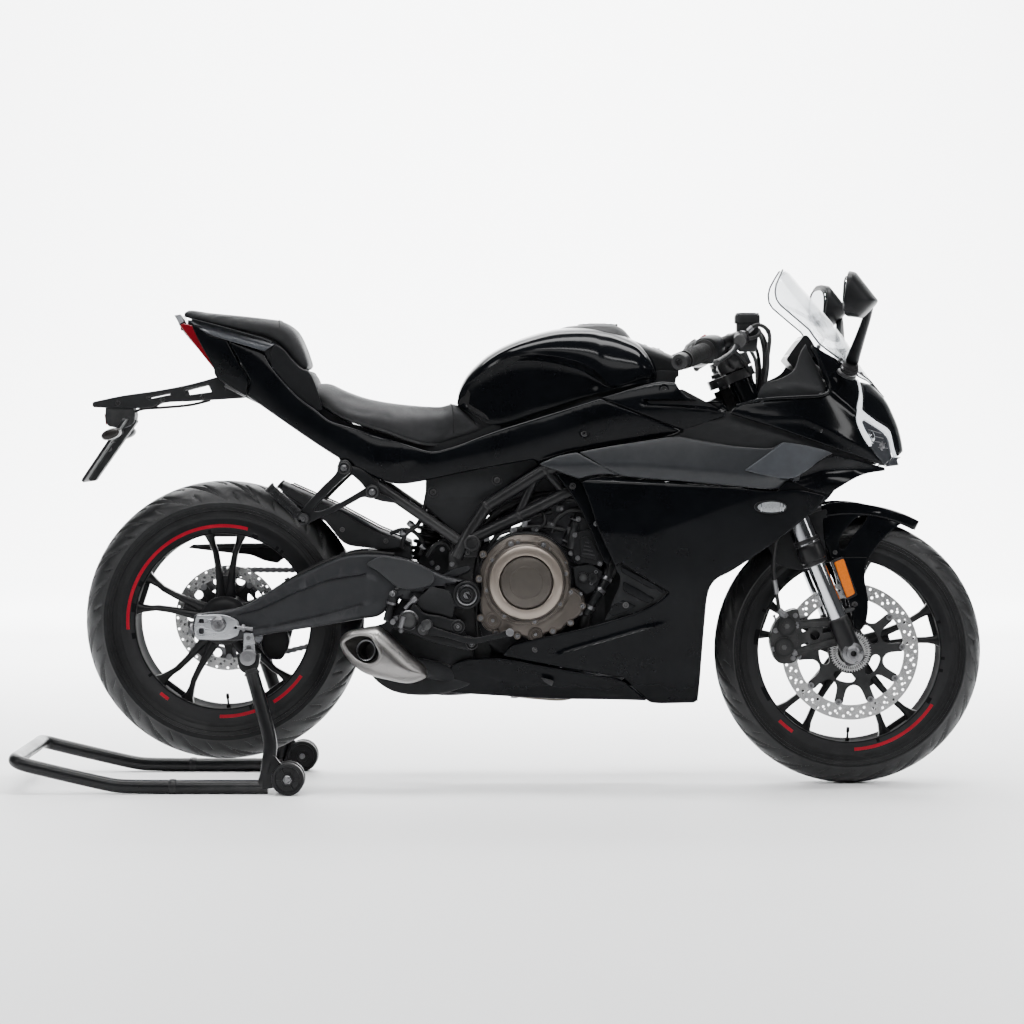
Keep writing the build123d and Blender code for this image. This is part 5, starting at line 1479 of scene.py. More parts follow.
    # perch clamp
    put(sc, lathe([(11.2, 0.045 * Lr), (18.6, 0.045 * Lr), (20, 0.06 * Lr), (20, 0.145 * Lr), (18.6, 0.16 * Lr), (11.2, 0.16 * Lr)], bi, bd, 36, closed=True), "frame_black")
    arm = catmull([bi + run * 0.12 + np.array((8, 0, 4)), (500, -158, 972), (519, -184, 978)], 8)
    put(sc, tube(arm, [15, 13.5, 14.5], 24), "frame_black")
    # master cylinder with banjo
    a, b = np.array((520.0, -182, 980)), np.array((508.0, -247, 966))
    d = (b - a) / np.linalg.norm(b - a)
    Lm = np.linalg.norm(b - a)
    put(sc, turned([(12, -4), (15.2, -2), (16, 2), (16, Lm * 0.66), (14, Lm * 0.72), (13.2, Lm * 0.9), (14, Lm * 0.94), (14, Lm), (12, Lm + 1.5)], a, d, 32), "frame_black")
    put(sc, turned([(7, -10), (7, -4), (8, -4)], a, d, 6), "bolt_steel")
    # lever pivot and blade
    pv = np.array((512.0, -207, 967))
    put(sc, turned([(10, -9), (11, -7), (11, 7), (10, 9), (5, 9.6)], pv, (0.12, 0.0, 1), 24), "satin_black")
    lev = catmull([(512, -206, 968), (503, -236, 957), (494, -266, 946), (478, -298, 934), (462, -318, 924), (452, -331, 918.5)], 10)
    put(sc, tube(lev, [8.2, 7.6, 6.6, 6.2, 6.2, 6.6, 7.4], 20, flat=0.72, hint=(0, 0, 1)), "satin_black")
    bp = lev[-1]
    ico = turned([(4, -6.5), (6.6, -4), (7.6, 0), (6.6, 4), (4, 6.5)], bp, lev[-1] - lev[-3], 20)
    put(sc, ico, "satin_black")
    # reservoir on the right-hand bar only: a rounded square pot with a screwed lid
    if sd > 0:
        def pot(w_, z_, dx=0.0):
            return [(527.0 + dx + px, -198.0 + py * 0.74, z_) for px, py in fixed(round_outline([(-w_, -w_), (w_, -w_), (w_, w_), (-w_, w_)], 30, w_ * 0.34, 3), 48)]
        put(sc, loft([pot(16, 944), pot(20, 948), pot(21.5, 962), pot(23, 972), pot(23.6, 1003), pot(22.8, 1004.5)]), "satin_black")
        put(sc, loft([pot(25.4, 1004.6), pot(26.6, 1006), pot(26.6, 1019), pot(25.4, 1023), pot(21.5, 1025)]), "matte_black")
        put(sc, loft([pot(19.0, 1024.6), pot(18.2, 1027.4)]), "satin_black")
        for px, py in ((-21, -21), (21, -21), (21, 21), (-21, 21)):
            put(sc, turned([(3.0, 1020), (3.0, 1026.2), (2.3, 1026.8)], (527 + px, -198 + py * 0.74, 0), (0, 0, 1), 12), "bolt_steel")
        put(sc, tube([(518, -186, 976), (520, -190, 962), (524, -194, 950)], 13, 20), "frame_black")
    # thin feed hose
    put(sc, tube(catmull([(540, -196, 996), (552, -206, 990), (548, -222, 978), (532, -224, 972), (520, -222, 972)], 8), 4.0, 14), "hose_black")
for pts, r in (([(520, -150, 968), (552, -142, 988), (574, -100, 968), (581, -84, 930), (576, -76, 880), (566, -70, 846)], 4.6), ([(516, -176, 976), (548, -166, 986), (568, -112, 960), (572, -96, 922), (567, -88, 880), (560, -84, 840)], 4.2),
               ([(500, -166, 950), (520, -150, 930), (540, -120, 900), (548, -90, 860)], 4.0), ([(470, -150, 946), (492, -128, 920), (520, -96, 890), (536, -70, 852)], 3.6), ([(488, -128, 978), (520, -112, 986), (552, -90, 960), (566, -60, 900), (560, -40, 850)], 4.0),
               ([(486, 128, 976), (530, 120, 980), (566, 96, 940), (572, 76, 870)], 4.2)):
    v, f = tube(catmull(pts, 8), r, 12)
    sc.add(v, f, "hose_black")
ob = sh.done("bars_and_grips", "steering", "handlebars", smooth=36)
ob = sc.done("bar_controls", "steering", "hand_controls", smooth=34, bevel=0.5, bevel_angle=55)

# brake hose and the loom beside it
sh = Shape()
hose = [(514, -240, 976), (544, -236, 1000), (572, -208, 986), (572, -168, 920), (566, -140, 840), (568, -138, 740), (594, -136, 640), (598, -120, 560), (592, -98, 480), (606, -80, 384)]
hp = catmull(hose, 16)
v, f = tube(hp, 4.4, 16)
sh.add(v, f, "hose_black")
for i in (6, len(hp) - 12):
    a, b = hp[i], hp[i + 5]
    v, f = tube([a, b], 5.8, 16)
    sh.add(v, f, "bolt_steel")
for i in range(30, len(hp) - 30, 26):
    a, b = hp[i], hp[i + 2]
    v, f = tube([a, b], 5.2, 14)
    sh.add(v, f, "rubber")
v, f = turned([(8.4, -5.5), (8.4, 5.5), (7.2, 6.2)], (514, -240, 976), (0.15, 0.1, 1), 24)
sh.add(v, f, "bolt_steel")
v, f = turned([(6.4, 6), (6.4, 10), (5.4, 11)], (514, -240, 976), (0.15, 0.1, 1), 6)
sh.add(v, f, "bolt_steel")
sh.done("front_brake_line", "steering", "front_brake_hose", smooth=36)

# --------------------------------------------------------------- body surfaces
def pchip(xs, ys, q):
    """A monotone smooth curve through (xs, ys), read at q."""
    xs, ys, q = np.asarray(xs, float), np.asarray(ys, float), np.asarray(q, float)
    h = np.diff(xs)
    dl = np.diff(ys) / h
    m = np.zeros(len(xs))
    m[0], m[-1] = dl[0], dl[-1]
    for i in range(1, len(xs) - 1):
        if dl[i - 1] * dl[i] > 0:
            w1, w2 = 2 * h[i] + h[i - 1], h[i] + 2 * h[i - 1]
            m[i] = (w1 + w2) / (w1 / dl[i - 1] + w2 / dl[i])
    k = np.clip(np.searchsorted(xs, q) - 1, 0, len(xs) - 2)
    t = np.clip((q - xs[k]) / h[k], 0, 1)
    return (ys[k] * (1 + 2 * t) * (1 - t) ** 2 + h[k] * m[k] * t * (1 - t) ** 2 + ys[k + 1] * t * t * (3 - 2 * t) + h[k] * m[k + 1] * t * t * (t - 1))


class Surf:
    """A surface as a table of points P[i, j] over a in A and b in B, a may be mirrored."""

    def __init__(self, A, B, P, key):
        self.A, self.B, self.P, self.key = np.array(A, float), np.array(B, float), P, key

    def at(self, a, b):
        a, b = np.asarray(a, float), np.asarray(b, float)
        s = np.abs(a)
        i = np.clip(np.searchsorted(self.A, s) - 1, 0, len(self.A) - 2)
        j = np.clip(np.searchsorted(self.B, b) - 1, 0, len(self.B) - 2)
        u = ((s - self.A[i]) / (self.A[i + 1] - self.A[i]))[..., None]
        v = ((b - self.B[j]) / (self.B[j + 1] - self.B[j]))[..., None]
        u = np.clip(u, 0, 1)
        P = self.P
        p = (P[i, j] * (1 - u) + P[i + 1, j] * u) * (1 - v) + (P[i, j + 1] * (1 - u) + P[i + 1, j + 1] * u) * v
        p = p.copy()
        p[..., 1] *= np.where(a >= 0, -1, 1)
        return p

    def normal(self, a, b, e=1.5):
        da = self.at(a + e, b) - self.at(a - e, b)
        db = self.at(a, b + e) - self.at(a, b - e)
        n = -np.cross(da, db)
        return n / (np.linalg.norm(n, axis=-1)[..., None] + 1e-9)

    def find(self, pts):
        """Side-view points (x, z) turned into (a, b)."""
        out = []
        for x, z in np.array(pts, float):
            b, want = (z, x) if self.key == "hull" else (x, z)
            p = self.at(self.A, np.full(len(self.A), b))
            got = p[:, 0] if self.key == "hull" else p[:, 2]
            # both fall as a rises
            g = got[::-1]
            a = np.interp(want, g, self.A[::-1])
            out.append((a, b))
        return np.array(out)


def patch(surf, loops, disp=None, thick=4.0, edge=2.5, res=8.0, lines=(), extra_pts=None):
    """A shell of the surface inside (a, b) loops, with rounded edges."""
    outer = np.array(loops[0], float)
    area2 = 0.5 * np.sum(outer[:, 0] * np.roll(outer[:, 1], -1) - np.roll(outer[:, 0], -1) * outer[:, 1])
    if area2 < 0:
        outer = outer[::-1]
    loops = [outer] + [np.array(l, float) for l in loops[1:]]
    cand, want = [], []
    for li, lp in enumerate(loops):
        t = np.roll(lp, -1, 0) - np.roll(lp, 1, 0)
        t /= np.linalg.norm(t, axis=1)[:, None] + 1e-9
        nrm = np.stack([-t[:, 1], t[:, 0]], 1)
        if li:
            ar = 0.5 * np.sum(lp[:, 0] * np.roll(lp[:, 1], -1) - np.roll(lp[:, 0], -1) * lp[:, 1])
            nrm = -nrm if ar > 0 else nrm
        for k in (0.12, 0.35, 0.7, 1.15):
            cand.append(lp + nrm * edge * k)
            want.append(np.full(len(lp), edge * k * 0.93))
    a0, b0 = outer.min(0)
    a1, b1 = outer.max(0)
    ga, gb = np.meshgrid(np.arange(a0, a1 + res, res), np.arange(b0, b1 + res, res * 0.866))
    ga = ga + (np.arange(ga.shape[0])[:, None] % 2) * res * 0.5
    cand.append(np.stack([ga.ravel(), gb.ravel()], 1))
    want.append(np.full(ga.size, edge * 1.15 + res * 0.45))
    if extra_pts is not None:
        cand.append(extra_pts)
        want.append(np.full(len(extra_pts), edge * 1.2))
    cand, want = np.vstack(cand), np.concatenate(want)
    ok = inside(outer, cand)
    for h in loops[1:]:
        ok &= ~inside(h, cand)
    cand, want = cand[ok], want[ok]
    d = np.full(len(cand), 1e9)
    for lp in loops:
        d = np.minimum(d, edge_distance(lp, cand))
    cand = cand[d >= want]
    v, f = triangulate(loops, cand, [np.array(l, float) for l in lines])
    d = np.full(len(v), 1e9)
    for lp in loops:
        d = np.minimum(d, edge_distance(lp, v))
    p = surf.at(v[:, 0], v[:, 1])
    nn = surf.normal(v[:, 0], v[:, 1])
    dd = np.clip(d, 0, edge)
    drop = edge - np.sqrt(np.maximum(edge * edge - (edge - dd) ** 2, 0))
    lift = np.zeros(len(v)) if disp is None else np.asarray(disp(p[:, 0], p[:, 2]), float)
    po = p + nn * (lift - drop)[:, None]
    pi = p + nn * (lift - max(thick, edge + 0.3))[:, None]
    n = len(v)
    rim = open_edges(f)
    faces = [tuple(reversed(t)) for t in f] + [tuple(int(i) + n for i in t) for t in f]
    faces += [(a, b, b + n, a + n) for a, b in rim]
    return np.vstack([po, pi]), faces


def smooth_step(t):
    t = np.clip(t, 0, 1)
    return t * t * (3 - 2 * t)


def line_dist(pts):
    """Signed distance from a polyline in side view: positive to its left."""
    p = np.array(pts, float)

    def f(x, z):
        q = np.stack([np.asarray(x, float), np.asarray(z, float)], -1)
        best = np.full(q.shape[:-1], 1e9)
        sign = np.ones(q.shape[:-1])
        for a, b in zip(p[:-1], p[1:]):
            ab = b - a
            L = (ab * ab).sum()
            t = np.clip(((q - a) @ ab) / L, 0, 1)
            r = q - (a + t[..., None] * ab)
            d = np.hypot(r[..., 0], r[..., 1])
            s = np.sign(ab[0] * (q[..., 1] - a[1]) - ab[1] * (q[..., 0] - a[0]))
            closer = d < best
            best = np.where(closer, d, best)
            sign = np.where(closer, s, sign)
        return best * sign
    return f


# the bodywork's master surface: columns of (x, half width) at each height
LEVELS = [
    (150, [(-330, 70), (-100, 86), (80, 100), (250, 106), (430, 108), (560, 106), (690, 98), (790, 70), (850, 42), (886, 10)]),
    (176, [(-330, 84), (-100, 100), (80, 112), (250, 116), (430, 118), (560, 118), (690, 104), (790, 76), (860, 40), (886, 10)]),
    (230, [(-330, 101), (-100, 124), (80, 145), (250, 153), (430, 156), (560, 150), (690, 122), (790, 86), (860, 44), (886, 10)]),
    (300, [(-330, 112), (-100, 140), (80, 165), (250, 178), (430, 182), (560, 170), (690, 132), (790, 92), (860, 46), (886, 10)]),
    (480, [(-330, 120), (-100, 150), (80, 178), (250, 196), (430, 202), (560, 188), (690, 142), (790, 96), (860, 46), (886, 10)]),
    (640, [(-330, 120), (-100, 150), (80, 178), (250, 198), (430, 206), (560, 194), (690, 152), (790, 104), (860, 50), (886, 12)]),
    (690, [(-330, 120), (-100, 146), (80, 174), (250, 195), (430, 203), (560, 194), (690, 156), (790, 107), (860, 54), (885, 16)]),
    (740, [(-330, 120), (-100, 140), (80, 168), (250, 190), (430, 198), (560, 192), (690, 156), (790, 110), (858, 56), (881, 18)]),
    (780, [(-330, 116), (-100, 136), (80, 162), (250, 182), (430, 190), (560, 186), (690, 153), (785, 110), (848, 58), (872, 18)]),
    (810, [(-330, 113), (-100, 133), (80, 156), (250, 175), (430, 184), (560, 181), (690, 150), (778, 107), (836, 58), (860, 18)]),
    (840, [(-330, 110), (-100, 130), (80, 150), (250, 168), (430, 178), (560, 176), (690, 146), (766, 104), (820, 58), (845, 18)]),
    (880, [(-330, 106), (-100, 124), (80, 142), (250, 158), (430, 168), (560, 168), (680, 140), (742, 100), (786, 56), (810, 18)]),
    (930, [(-330, 103), (-100, 117), (80, 131), (250, 144), (430, 154), (560, 156), (650, 136), (712, 98), (752, 54), (776, 18)]),
    (985, [(-330, 100), (-100, 110), (80, 120), (250, 130), (430, 140), (560, 144), (640, 130), (690, 98), (722, 52), (742, 16)]),
    (1010, [(-330, 98), (-100, 106), (80, 114), (250, 124), (430, 134), (560, 138), (630, 126), (676, 96), (706, 50), (726, 16)]),
]


def build_hull(levels, dz=4.0, ds=3.0, s_max=1320.0):
    zs = np.array([l[0] for l in levels], float)
    cols = np.array([l[1] for l in levels], float)            # level, column, (x, w)
    B = np.arange(zs[0], zs[-1] + 0.1, dz)
    grid = np.zeros((len(B), cols.shape[1], 2))
    for c_ in range(cols.shape[1]):
        for k in range(2):
            grid[:, c_, k] = pchip(zs, cols[:, c_, k], B)
    A = np.arange(0, s_max, ds)
    P = np.zeros((len(A), len(B), 3))
    for j, z in enumerate(B):
        rows = grid[j][::-1]
        tip = np.array([[rows[0, 0] + 1.2, 0.0]])
        full = np.vstack([[[rows[0, 0], -rows[0, 1]]], tip, rows])
        cur = catmull(full, 14)
        k0 = 14
        cur = cur[k0:]
        d = np.concatenate([[0], np.cumsum(np.linalg.norm(np.diff(cur, axis=0), axis=1))])
        P[:, j, 0] = np.interp(A, d, cur[:, 0])
        P[:, j, 1] = np.interp(A, d, cur[:, 1])
        over = A > d[-1]
        P[over, j, 0] = cur[-1, 0] - (A[over] - d[-1])
        P[over, j, 1] = cur[-1, 1]
        P[:, j, 2] = z
    # even out the rows a little, so that the sheen runs smoothly
    for _ in range(2):
        P[:, 1:-1, :2] = 0.25 * P[:, :-2, :2] + 0.5 * P[:, 1:-1, :2] + 0.25 * P[:, 2:, :2]
    return Surf(A, B, P, "hull")


HULL = build_hull(LEVELS)


def hull_patch(sh, outline, mat, disp=None, thick=4.0, edge=2.5, res=8.0, holes=(), corner=32.0, radius=4.0, mirror=True, lines=()):
    o = round_outline(outline, corner, radius, 4.0)
    loops = [HULL.find(o)] + [HULL.find(round_outline(h, corner, radius, 4.0)) for h in holes]
    v, f = patch(HULL, loops, disp, thick, edge, res, [HULL.find(resample(np.array(l, float), 5.0)) for l in lines])
    sh.add(v, f, mat, mirror=mirror)


# ------------------------------------------------------------- side fairings
sh = Shape()
fairing = [(172, 667), (186, 674), (220, 679), (260, 676), (300, 671), (400, 663), (500, 655), (580, 646),
           (640, 649), (703, 636), (690, 615), (640, 575), (595, 540), (540, 505), (500, 479),
           (470, 463), (455, 450), (445, 430), (437, 360), (430, 260), (424, 186), (418, 182), (328, 182), (318, 186), (265, 240),
           (250, 243), (200, 252), (100, 270), (2, 289), (20, 312), (30, 316), (60, 323), (100, 333), (200, 357),
           (260, 375), (300, 389), (340, 411), (361, 429), (255, 493), (245, 484), (235, 505), (210, 560), (190, 620)]
big = line_dist([(205, 560), (250, 560), (310, 552), (400, 585), (470, 612), (560, 640), (640, 652)])
low = line_dist([(120, 292), (325, 354), (460, 400)])
nose_edge = line_dist([(425, 180), (432, 300), (445, 430), (500, 480), (600, 545), (690, 615)])


def fairing_lift(x, z):
    d = big(x, z)
    up_ = 5.5 * np.exp(-np.maximum(d, 0) / 60.0) * (d >= 0) + 5.5 * np.exp(-np.maximum(-d, 0) / 110.0) * (d < 0)
    e = low(x, z)
    fade = smooth_step((x - 90) / 60.0) * smooth_step((380 - x) / 90.0)
    crease = 6.0 * fade * (np.exp(-np.maximum(-e, 0) / 26.0) * (e < 0) + np.exp(-np.maximum(e, 0) / 5.0) * (e >= 0))
    top = -7.0 * smooth_step((z - 648 + (x - 430) * 0.045) / 22.0) ** 2
    tuck = -5.0 * smooth_step((nose_edge(x, z) + 26) / 30.0)
    return up_ * 0.8 + crease + top + tuck


hull_patch(sh, fairing, "gloss_black", fairing_lift, thick=5.5, edge=3.2, res=7.0, radius=5,
           lines=[[(125, 293.5), (325, 354), (420, 386)], [(123.5, 298.5), (323.5, 359), (418.5, 391)], [(122, 304), (322, 364.5), (417, 396.5)]])
hull_patch(sh, [(590, 640), (618, 668), (660, 662), (712, 648), (728, 648), (704, 622), (660, 606), (610, 612)], "gloss_black", lambda x, z: -9 + 0 * x, thick=4, edge=2, res=8)
# the recessed vent behind the engine's edge, in three vanes
vent = [(244, 480), (254, 492), (360, 428), (342, 412), (300, 389), (260, 375), (221, 364), (232, 388), (240, 410), (252, 438), (256, 462)]
hull_patch(sh, vent, "matte_black", lambda x, z: -15 + 6 * np.exp(-np.abs(line_dist([(235, 400), (330, 428)])(x, z)) / 7), thick=4, edge=2, res=6)
hull_patch(sh, [(256, 486), (258, 472), (330, 432), (350, 426), (344, 436)], "gloss_black", lambda x, z: -7 - 0.10 * (492 - z), thick=4, edge=1.6, res=5)
hull_patch(sh, [(262, 452), (262, 432), (300, 411), (318, 404), (330, 414), (300, 432)], "gloss_black", lambda x, z: -9 + 0 * x, thick=4, edge=1.6, res=5)
hull_patch(sh, [(236, 400), (230, 384), (238, 376), (268, 386), (290, 398), (262, 412)], "gloss_black", lambda x, z: -10 + 0 * x, thick=4, edge=1.6, res=5)
# return flange along the wheel opening, seen from the front
hull_patch(sh, [(436, 430), (428, 300), (418, 196), (404, 196), (412, 300), (420, 430)], "matte_black", lambda x, z: -9 + 0 * x, thick=6, edge=2, res=8)
# inner walls to the radiator, so that the opening is lined
for sd in (-1, 1):
    ln = catmull([(432, 190), (436, 260), (440, 360), (452, 444), (505, 478), (600, 540), (690, 610)], 8)
    ra, rb = [], []
    pa = HULL.at(HULL.find(ln)[:, 0], HULL.find(ln)[:, 1])
    for p in pa:
        q = p * np.array((1, -sd, 1))
        ra.append(q + np.array((-6, -sd * 6, 0)))
        rb.append(q + np.array((-30, -sd * np.interp(q[2], [430, 500], [46, 13]), 0)))
    mid = [(a + b) / 2 + np.array((6, 0, 0)) for a, b in zip(ra, rb)]
    v, f = loft([ra, mid, rb, [m - np.array((3, 0, 0)) for m in mid]], closed_ring=False, caps=False)
    sh.add(v, f, "matte_black")
for x, z in ((74, 305), (268, 388 + 14)):
    q = HULL.find([(x, z)])
    p = HULL.at(q[:, 0], q[:, 1])[0]
    for sd in (-1, 1):
        bolt(sh, p[0], sd * (abs(p[1]) + fairing_lift(np.array([x]), np.array([z]))[0] - 1.0), p[2], 6.0, 2.6, (0, sd, 0), "black_bolt")
# clips under the fairing's lower edge
for x, z in ((104, 276), (130, 270), (182, 262), (200, 260)):
    for sd in (-1, 1):
        w = abs(HULL.at(HULL.find([(x, z)])[:, 0], np.array([z]))[0, 1])
        bolt(sh, x, sd * (w - 12), z - 2, 4.2, 5.0, (0, sd, 0), "bolt_steel", washer=False)
sh.done("side_fairing_skins", "chassis", "side_fairings", smooth=38)

# ---------------------------------------------------------------- mid panels
sh = Shape()
main = [(168, 729), (200, 736), (300, 753), (365, 763), (385, 763), (420, 757), (480, 746), (520, 741), (582, 739), (606, 750), (640, 747), (700, 734), (722, 726),
        (704, 719), (684, 706), (645, 680), (640, 652), (580, 650), (500, 658), (400, 667), (300, 675), (258, 680)]
ridge = line_dist([(100, 700), (300, 700), (420, 690), (560, 676)])


def mid_lift(x, z):
    d = ridge(x, z)
    # face leans up above the ridge and rolls under below it
    return 5.0 - 0.10 * np.maximum(d, 0) - 0.30 * np.maximum(-d, 0) - 8.0 * smooth_step((x - 560) / 90.0) * smooth_step((672 - z) / 26.0)


hull_patch(sh, main, "dark_grey", mid_lift, thick=5, edge=2.8, res=7.5, radius=4)
hull_patch(sh, [(81, 703), (124, 721), (163, 729), (252, 681), (221, 683), (190, 679), (166, 673)], "dark_grey", mid_lift, thick=5, edge=2.6, res=7, radius=4)
hull_patch(sh, [(521, 691), (606, 751), (640, 747), (700, 734), (721, 726), (702, 718), (682, 705), (642, 680), (620, 673), (560, 681)], "light_grey",
           lambda x, z: mid_lift(x, z) + 3.6 + 0 * x, thick=3.4, edge=2.2, res=7, radius=3)
duct = [(621, 671), (655, 652), (704, 638), (720, 646), (760, 668), (800, 682), (838, 688), (837, 695), (800, 704), (745, 717), (712, 721), (692, 713), (652, 686)]
dl = line_dist([(640, 672), (700, 690), (836, 692)])
hull_patch(sh, duct, "gloss_black", lambda x, z: -12 * np.exp(-(dl(x, z) / 16.0) ** 2) * smooth_step((830 - x) / 60) + 1.0, thick=3, edge=2.2, res=5.5, radius=3)
sh.done("mid_panel_skins", "chassis", "mid_panels", smooth=38)

# ---------------------------------------------------------------- upper cowl
sh = Shape()
cowl = [(491, 812), (540, 797), (600, 779), (700, 744), (790, 714), (837, 697), (792, 749), (776, 779), (770, 800), (774, 830), (782, 860), (777, 889),
        (760, 912), (735, 930), (700, 948), (676, 962), (673, 952), (690, 925), (702, 898), (712, 871), (708, 856), (690, 847), (660, 844), (560, 838), (520, 832), (501, 825)]
c1 = line_dist([(490, 818), (560, 802), (650, 800), (700, 778), (790, 732), (838, 694)])
c2 = line_dist([(712, 862), (745, 838), (775, 812)])


def cowl_lift(x, z):
    d = c1(x, z)
    e = c2(x, z)
    bowl = 6.0 * np.exp(-np.maximum(d, 0) / 34.0) * (d >= 0) + 6.0 * np.exp(-np.maximum(-d, 0) / 8.0) * (d < 0)
    lip = 3.2 * np.exp(-(e / 7.0) ** 2)
    return bowl * 0.9 + lip * smooth_step((x - 700) / 30)


hull_patch(sh, cowl, "gloss_black", cowl_lift, thick=4.5, edge=3.0, res=7.0, radius=4)
# thin bright trim that frames the cockpit edge
trim = catmull([(505, 829), (560, 842), (650, 848), (690, 851), (708, 860), (709, 874), (700, 900), (689, 928), (674, 955)], 8)
q = HULL.find(trim)
pt = HULL.at(q[:, 0], q[:, 1])
for sd in (-1, 1):
    pp = pt * np.array((1, -sd, 1)) + np.array((0, 0, 0))
    v, f = tube(pp - np.array((0, sd * 1.0, 0)), 4.2, 14, flat=1.3)
    sh.add(v, f, "gloss_black")
# the dark recess between cowl and grey panel
hull_patch(sh, [(392, 775), (370, 766), (420, 752), (480, 741), (580, 732), (606, 742), (700, 727), (790, 703), (830, 694), (790, 722), (700, 752), (600, 786), (540, 804),
                (494, 818), (430, 838), (400, 820)], "matte_black", lambda x, z: -15 + 4 * np.exp(-np.abs(line_dist([(420, 800), (560, 768), (760, 716)])(x, z)) / 6), thick=3, edge=1.5, res=9)
# cockpit liner, inside the cowl
hull_patch(sh, [(552, 836), (640, 842), (690, 846), (706, 856), (710, 870), (700, 897), (688, 924), (672, 950), (668, 966), (655, 948), (640, 915), (628, 903), (600, 889), (570, 882), (556, 862)],
           "matte_black", lambda x, z: -11 + 5 * np.exp(-np.abs(line_dist([(560, 860), (640, 872), (700, 862)])(x, z)) / 9), thick=4, edge=2, res=7)
# nose panel across the centre line, between the lamps
nose_side = [(884, 721), (880, 745), (872, 780), (860, 810), (845, 840), (828, 862), (810, 880), (803, 886)]
inner_side = [(787, 882), (790, 853), (787, 822), (800, 811), (820, 798), (851, 778), (858, 756), (863, 736), (871, 719)]
right = HULL.find(resample(catmull(inner_side, 6), 3.0))
right = right[right[:, 0] > 1.0]
loop = np.vstack([right, np.array([[-a, b] for a, b in right[::-1]])])


def nose_lift(x, z):
    return 1.5 + 0 * x


v, f = patch(HULL, [loop], nose_lift, 4.0, 2.2, 6.0)
sh.add(v, f, "gloss_black")
# cross tube and stays that carry the instruments
for a, b, r in (((722, -112, 884), (722, 112, 884), 7), ((722, -60, 884), (560, -22, 800), 6), ((722, 60, 884), (560, 22, 800), 6)):
    v, f = rod(a, b, r, 20)
    sh.add(v, f, "frame_black")
for x, z in ((688, 776), (560, 841), (690, 852)):
    q = HULL.find([(x, z)])
    p = HULL.at(q[:, 0], q[:, 1])[0]
    li = float(cowl_lift(np.array([float(x)]), np.array([float(z)]))[0])
    for sd in (-1, 1):
        bolt(sh, p[0], sd * (abs(p[1]) + li - 1.2), p[2], 4.4, 2.4, (0, sd, 0), "bolt_steel" if z > 800 else "black_bolt")
sh.done("upper_cowl_skins", "chassis", "upper_cowl", smooth=38)

# ----------------------------------------------------------------- headlight
sh = Shape()
drl = [(779, 889), (785, 880), (788, 853), (785, 820), (799, 809), (818, 796), (849, 776), (856, 755), (861, 735), (868, 717), (861, 716), (854, 735), (849, 756), (838, 771), (813, 787),
       (791, 800), (783, 795), (789, 780), (802, 758), (806, 742), (800, 741), (789, 755), (777, 779), (771, 800), (775, 830), (783, 860)]
hull_patch(sh, drl, "lamp_white", lambda x, z: 0.5 + 0 * x, thick=5, edge=1.8, res=5, radius=2.5, corner=40)
pod = [(785, 796), (792, 799), (814, 786), (839, 770), (849, 755), (854, 735), (860, 716), (840, 699), (808, 738), (803, 757), (790, 781)]
hull_patch(sh, pod, "smoke_lens", lambda x, z: -4.5 + 0 * x, thick=5, edge=1.5, res=6, radius=2.5)
hull_patch(sh, [(840, 696), (873, 699), (868, 711), (880, 717), (861, 717), (848, 706)], "smoke_lens", lambda x, z: 0 * x, thick=4, edge=1.2, res=5, radius=2)
for (x, z), r in (((812, 762), 15.0), ((836, 742), 11.0)):
    q = HULL.find([(x, z)])
    p = HULL.at(q[:, 0], q[:, 1])[0]
    n_ = HULL.normal(q[:, 0], q[:, 1])[0]
    d_ = n_ * 0.75 + np.array((0.5, 0, 0))
    c0 = p - n_ * 6
    for mirror_y in (1, -1):
        tfm = np.diag([1, mirror_y, 1, 1]).astype(float)
        v, f = turned([(r, -6), (r, 0), (r - 1.5, 1.4), (r - 3.5, 0.2), (r - 4.5, -1.0), (r - 5, 2.2), (r * 0.35, 4.2), (0.2, 4.6)], c0, d_, 36)
        f2 = f if mirror_y > 0 else [tuple(reversed(t)) for t in f]
        sh.add(np.array(v) * np.array([1, mirror_y, 1]), f2, "chrome" if r > 12 else "bolt_steel")
# ribs between, like a light guide
for k in range(4):
    a = (800 + 8 * k, 778 - 13 * k)
    b = (832 + 5 * k, 770 - 11 * k)
    q = HULL.find(resample(np.array([a, b], float), 6.0))
    pr = HULL.at(q[:, 0], q[:, 1]) - HULL.normal(q[:, 0], q[:, 1]) * 4.2
    v, f = tube(pr, 0.9, 8)
    sh.add(v, f, "bolt_steel", mirror=True)
sh.done("headlight_lamps", "chassis", "headlight", smooth=38)

# ---------------------------------------------------------------- windscreen
levels = []
for z, xc, deep, half in ((836, 856, 120, 96), (850, 843, 125, 100), (884, 816, 130, 106), (920, 790, 130, 108), (950, 775, 134, 108), (1010, 731, 126, 104), (1060, 689, 112, 96), (1100, 654, 80, 80), (1127, 632, 46, 60), (1142, 620, 28, 40)):
    row = []
    for ph in (90, 78, 66, 54, 43, 33, 24, 16, 9, 4):
        a = math.radians(ph)
        row.append((xc - deep * (1 - math.cos(a)), half * math.sin(a)))
    levels.append((z, row))
SCREEN = build_hull(levels, 4.0, 2.0, 300.0)
edge_r = [(850, 846), (812, 886), (798, 894), (760, 918), (716, 947), (692, 965), (680, 981), (671, 995), (640, 1021), (607, 1049), (599, 1062), (597, 1078), (600, 1094), (610, 1114), (620, 1132)]
er = resample(np.array(edge_r, float), 4.0)
sa = SCREEN.find(er)
sa = sa[1:-1]
loop = np.vstack([sa, np.array([[-a, b] for a, b in sa[::-1]])])
sh = Shape()
v, f = patch(SCREEN, [loop], None, 2.8, 1.2, 7.0)
sh.add(v, f, "screen_clear")
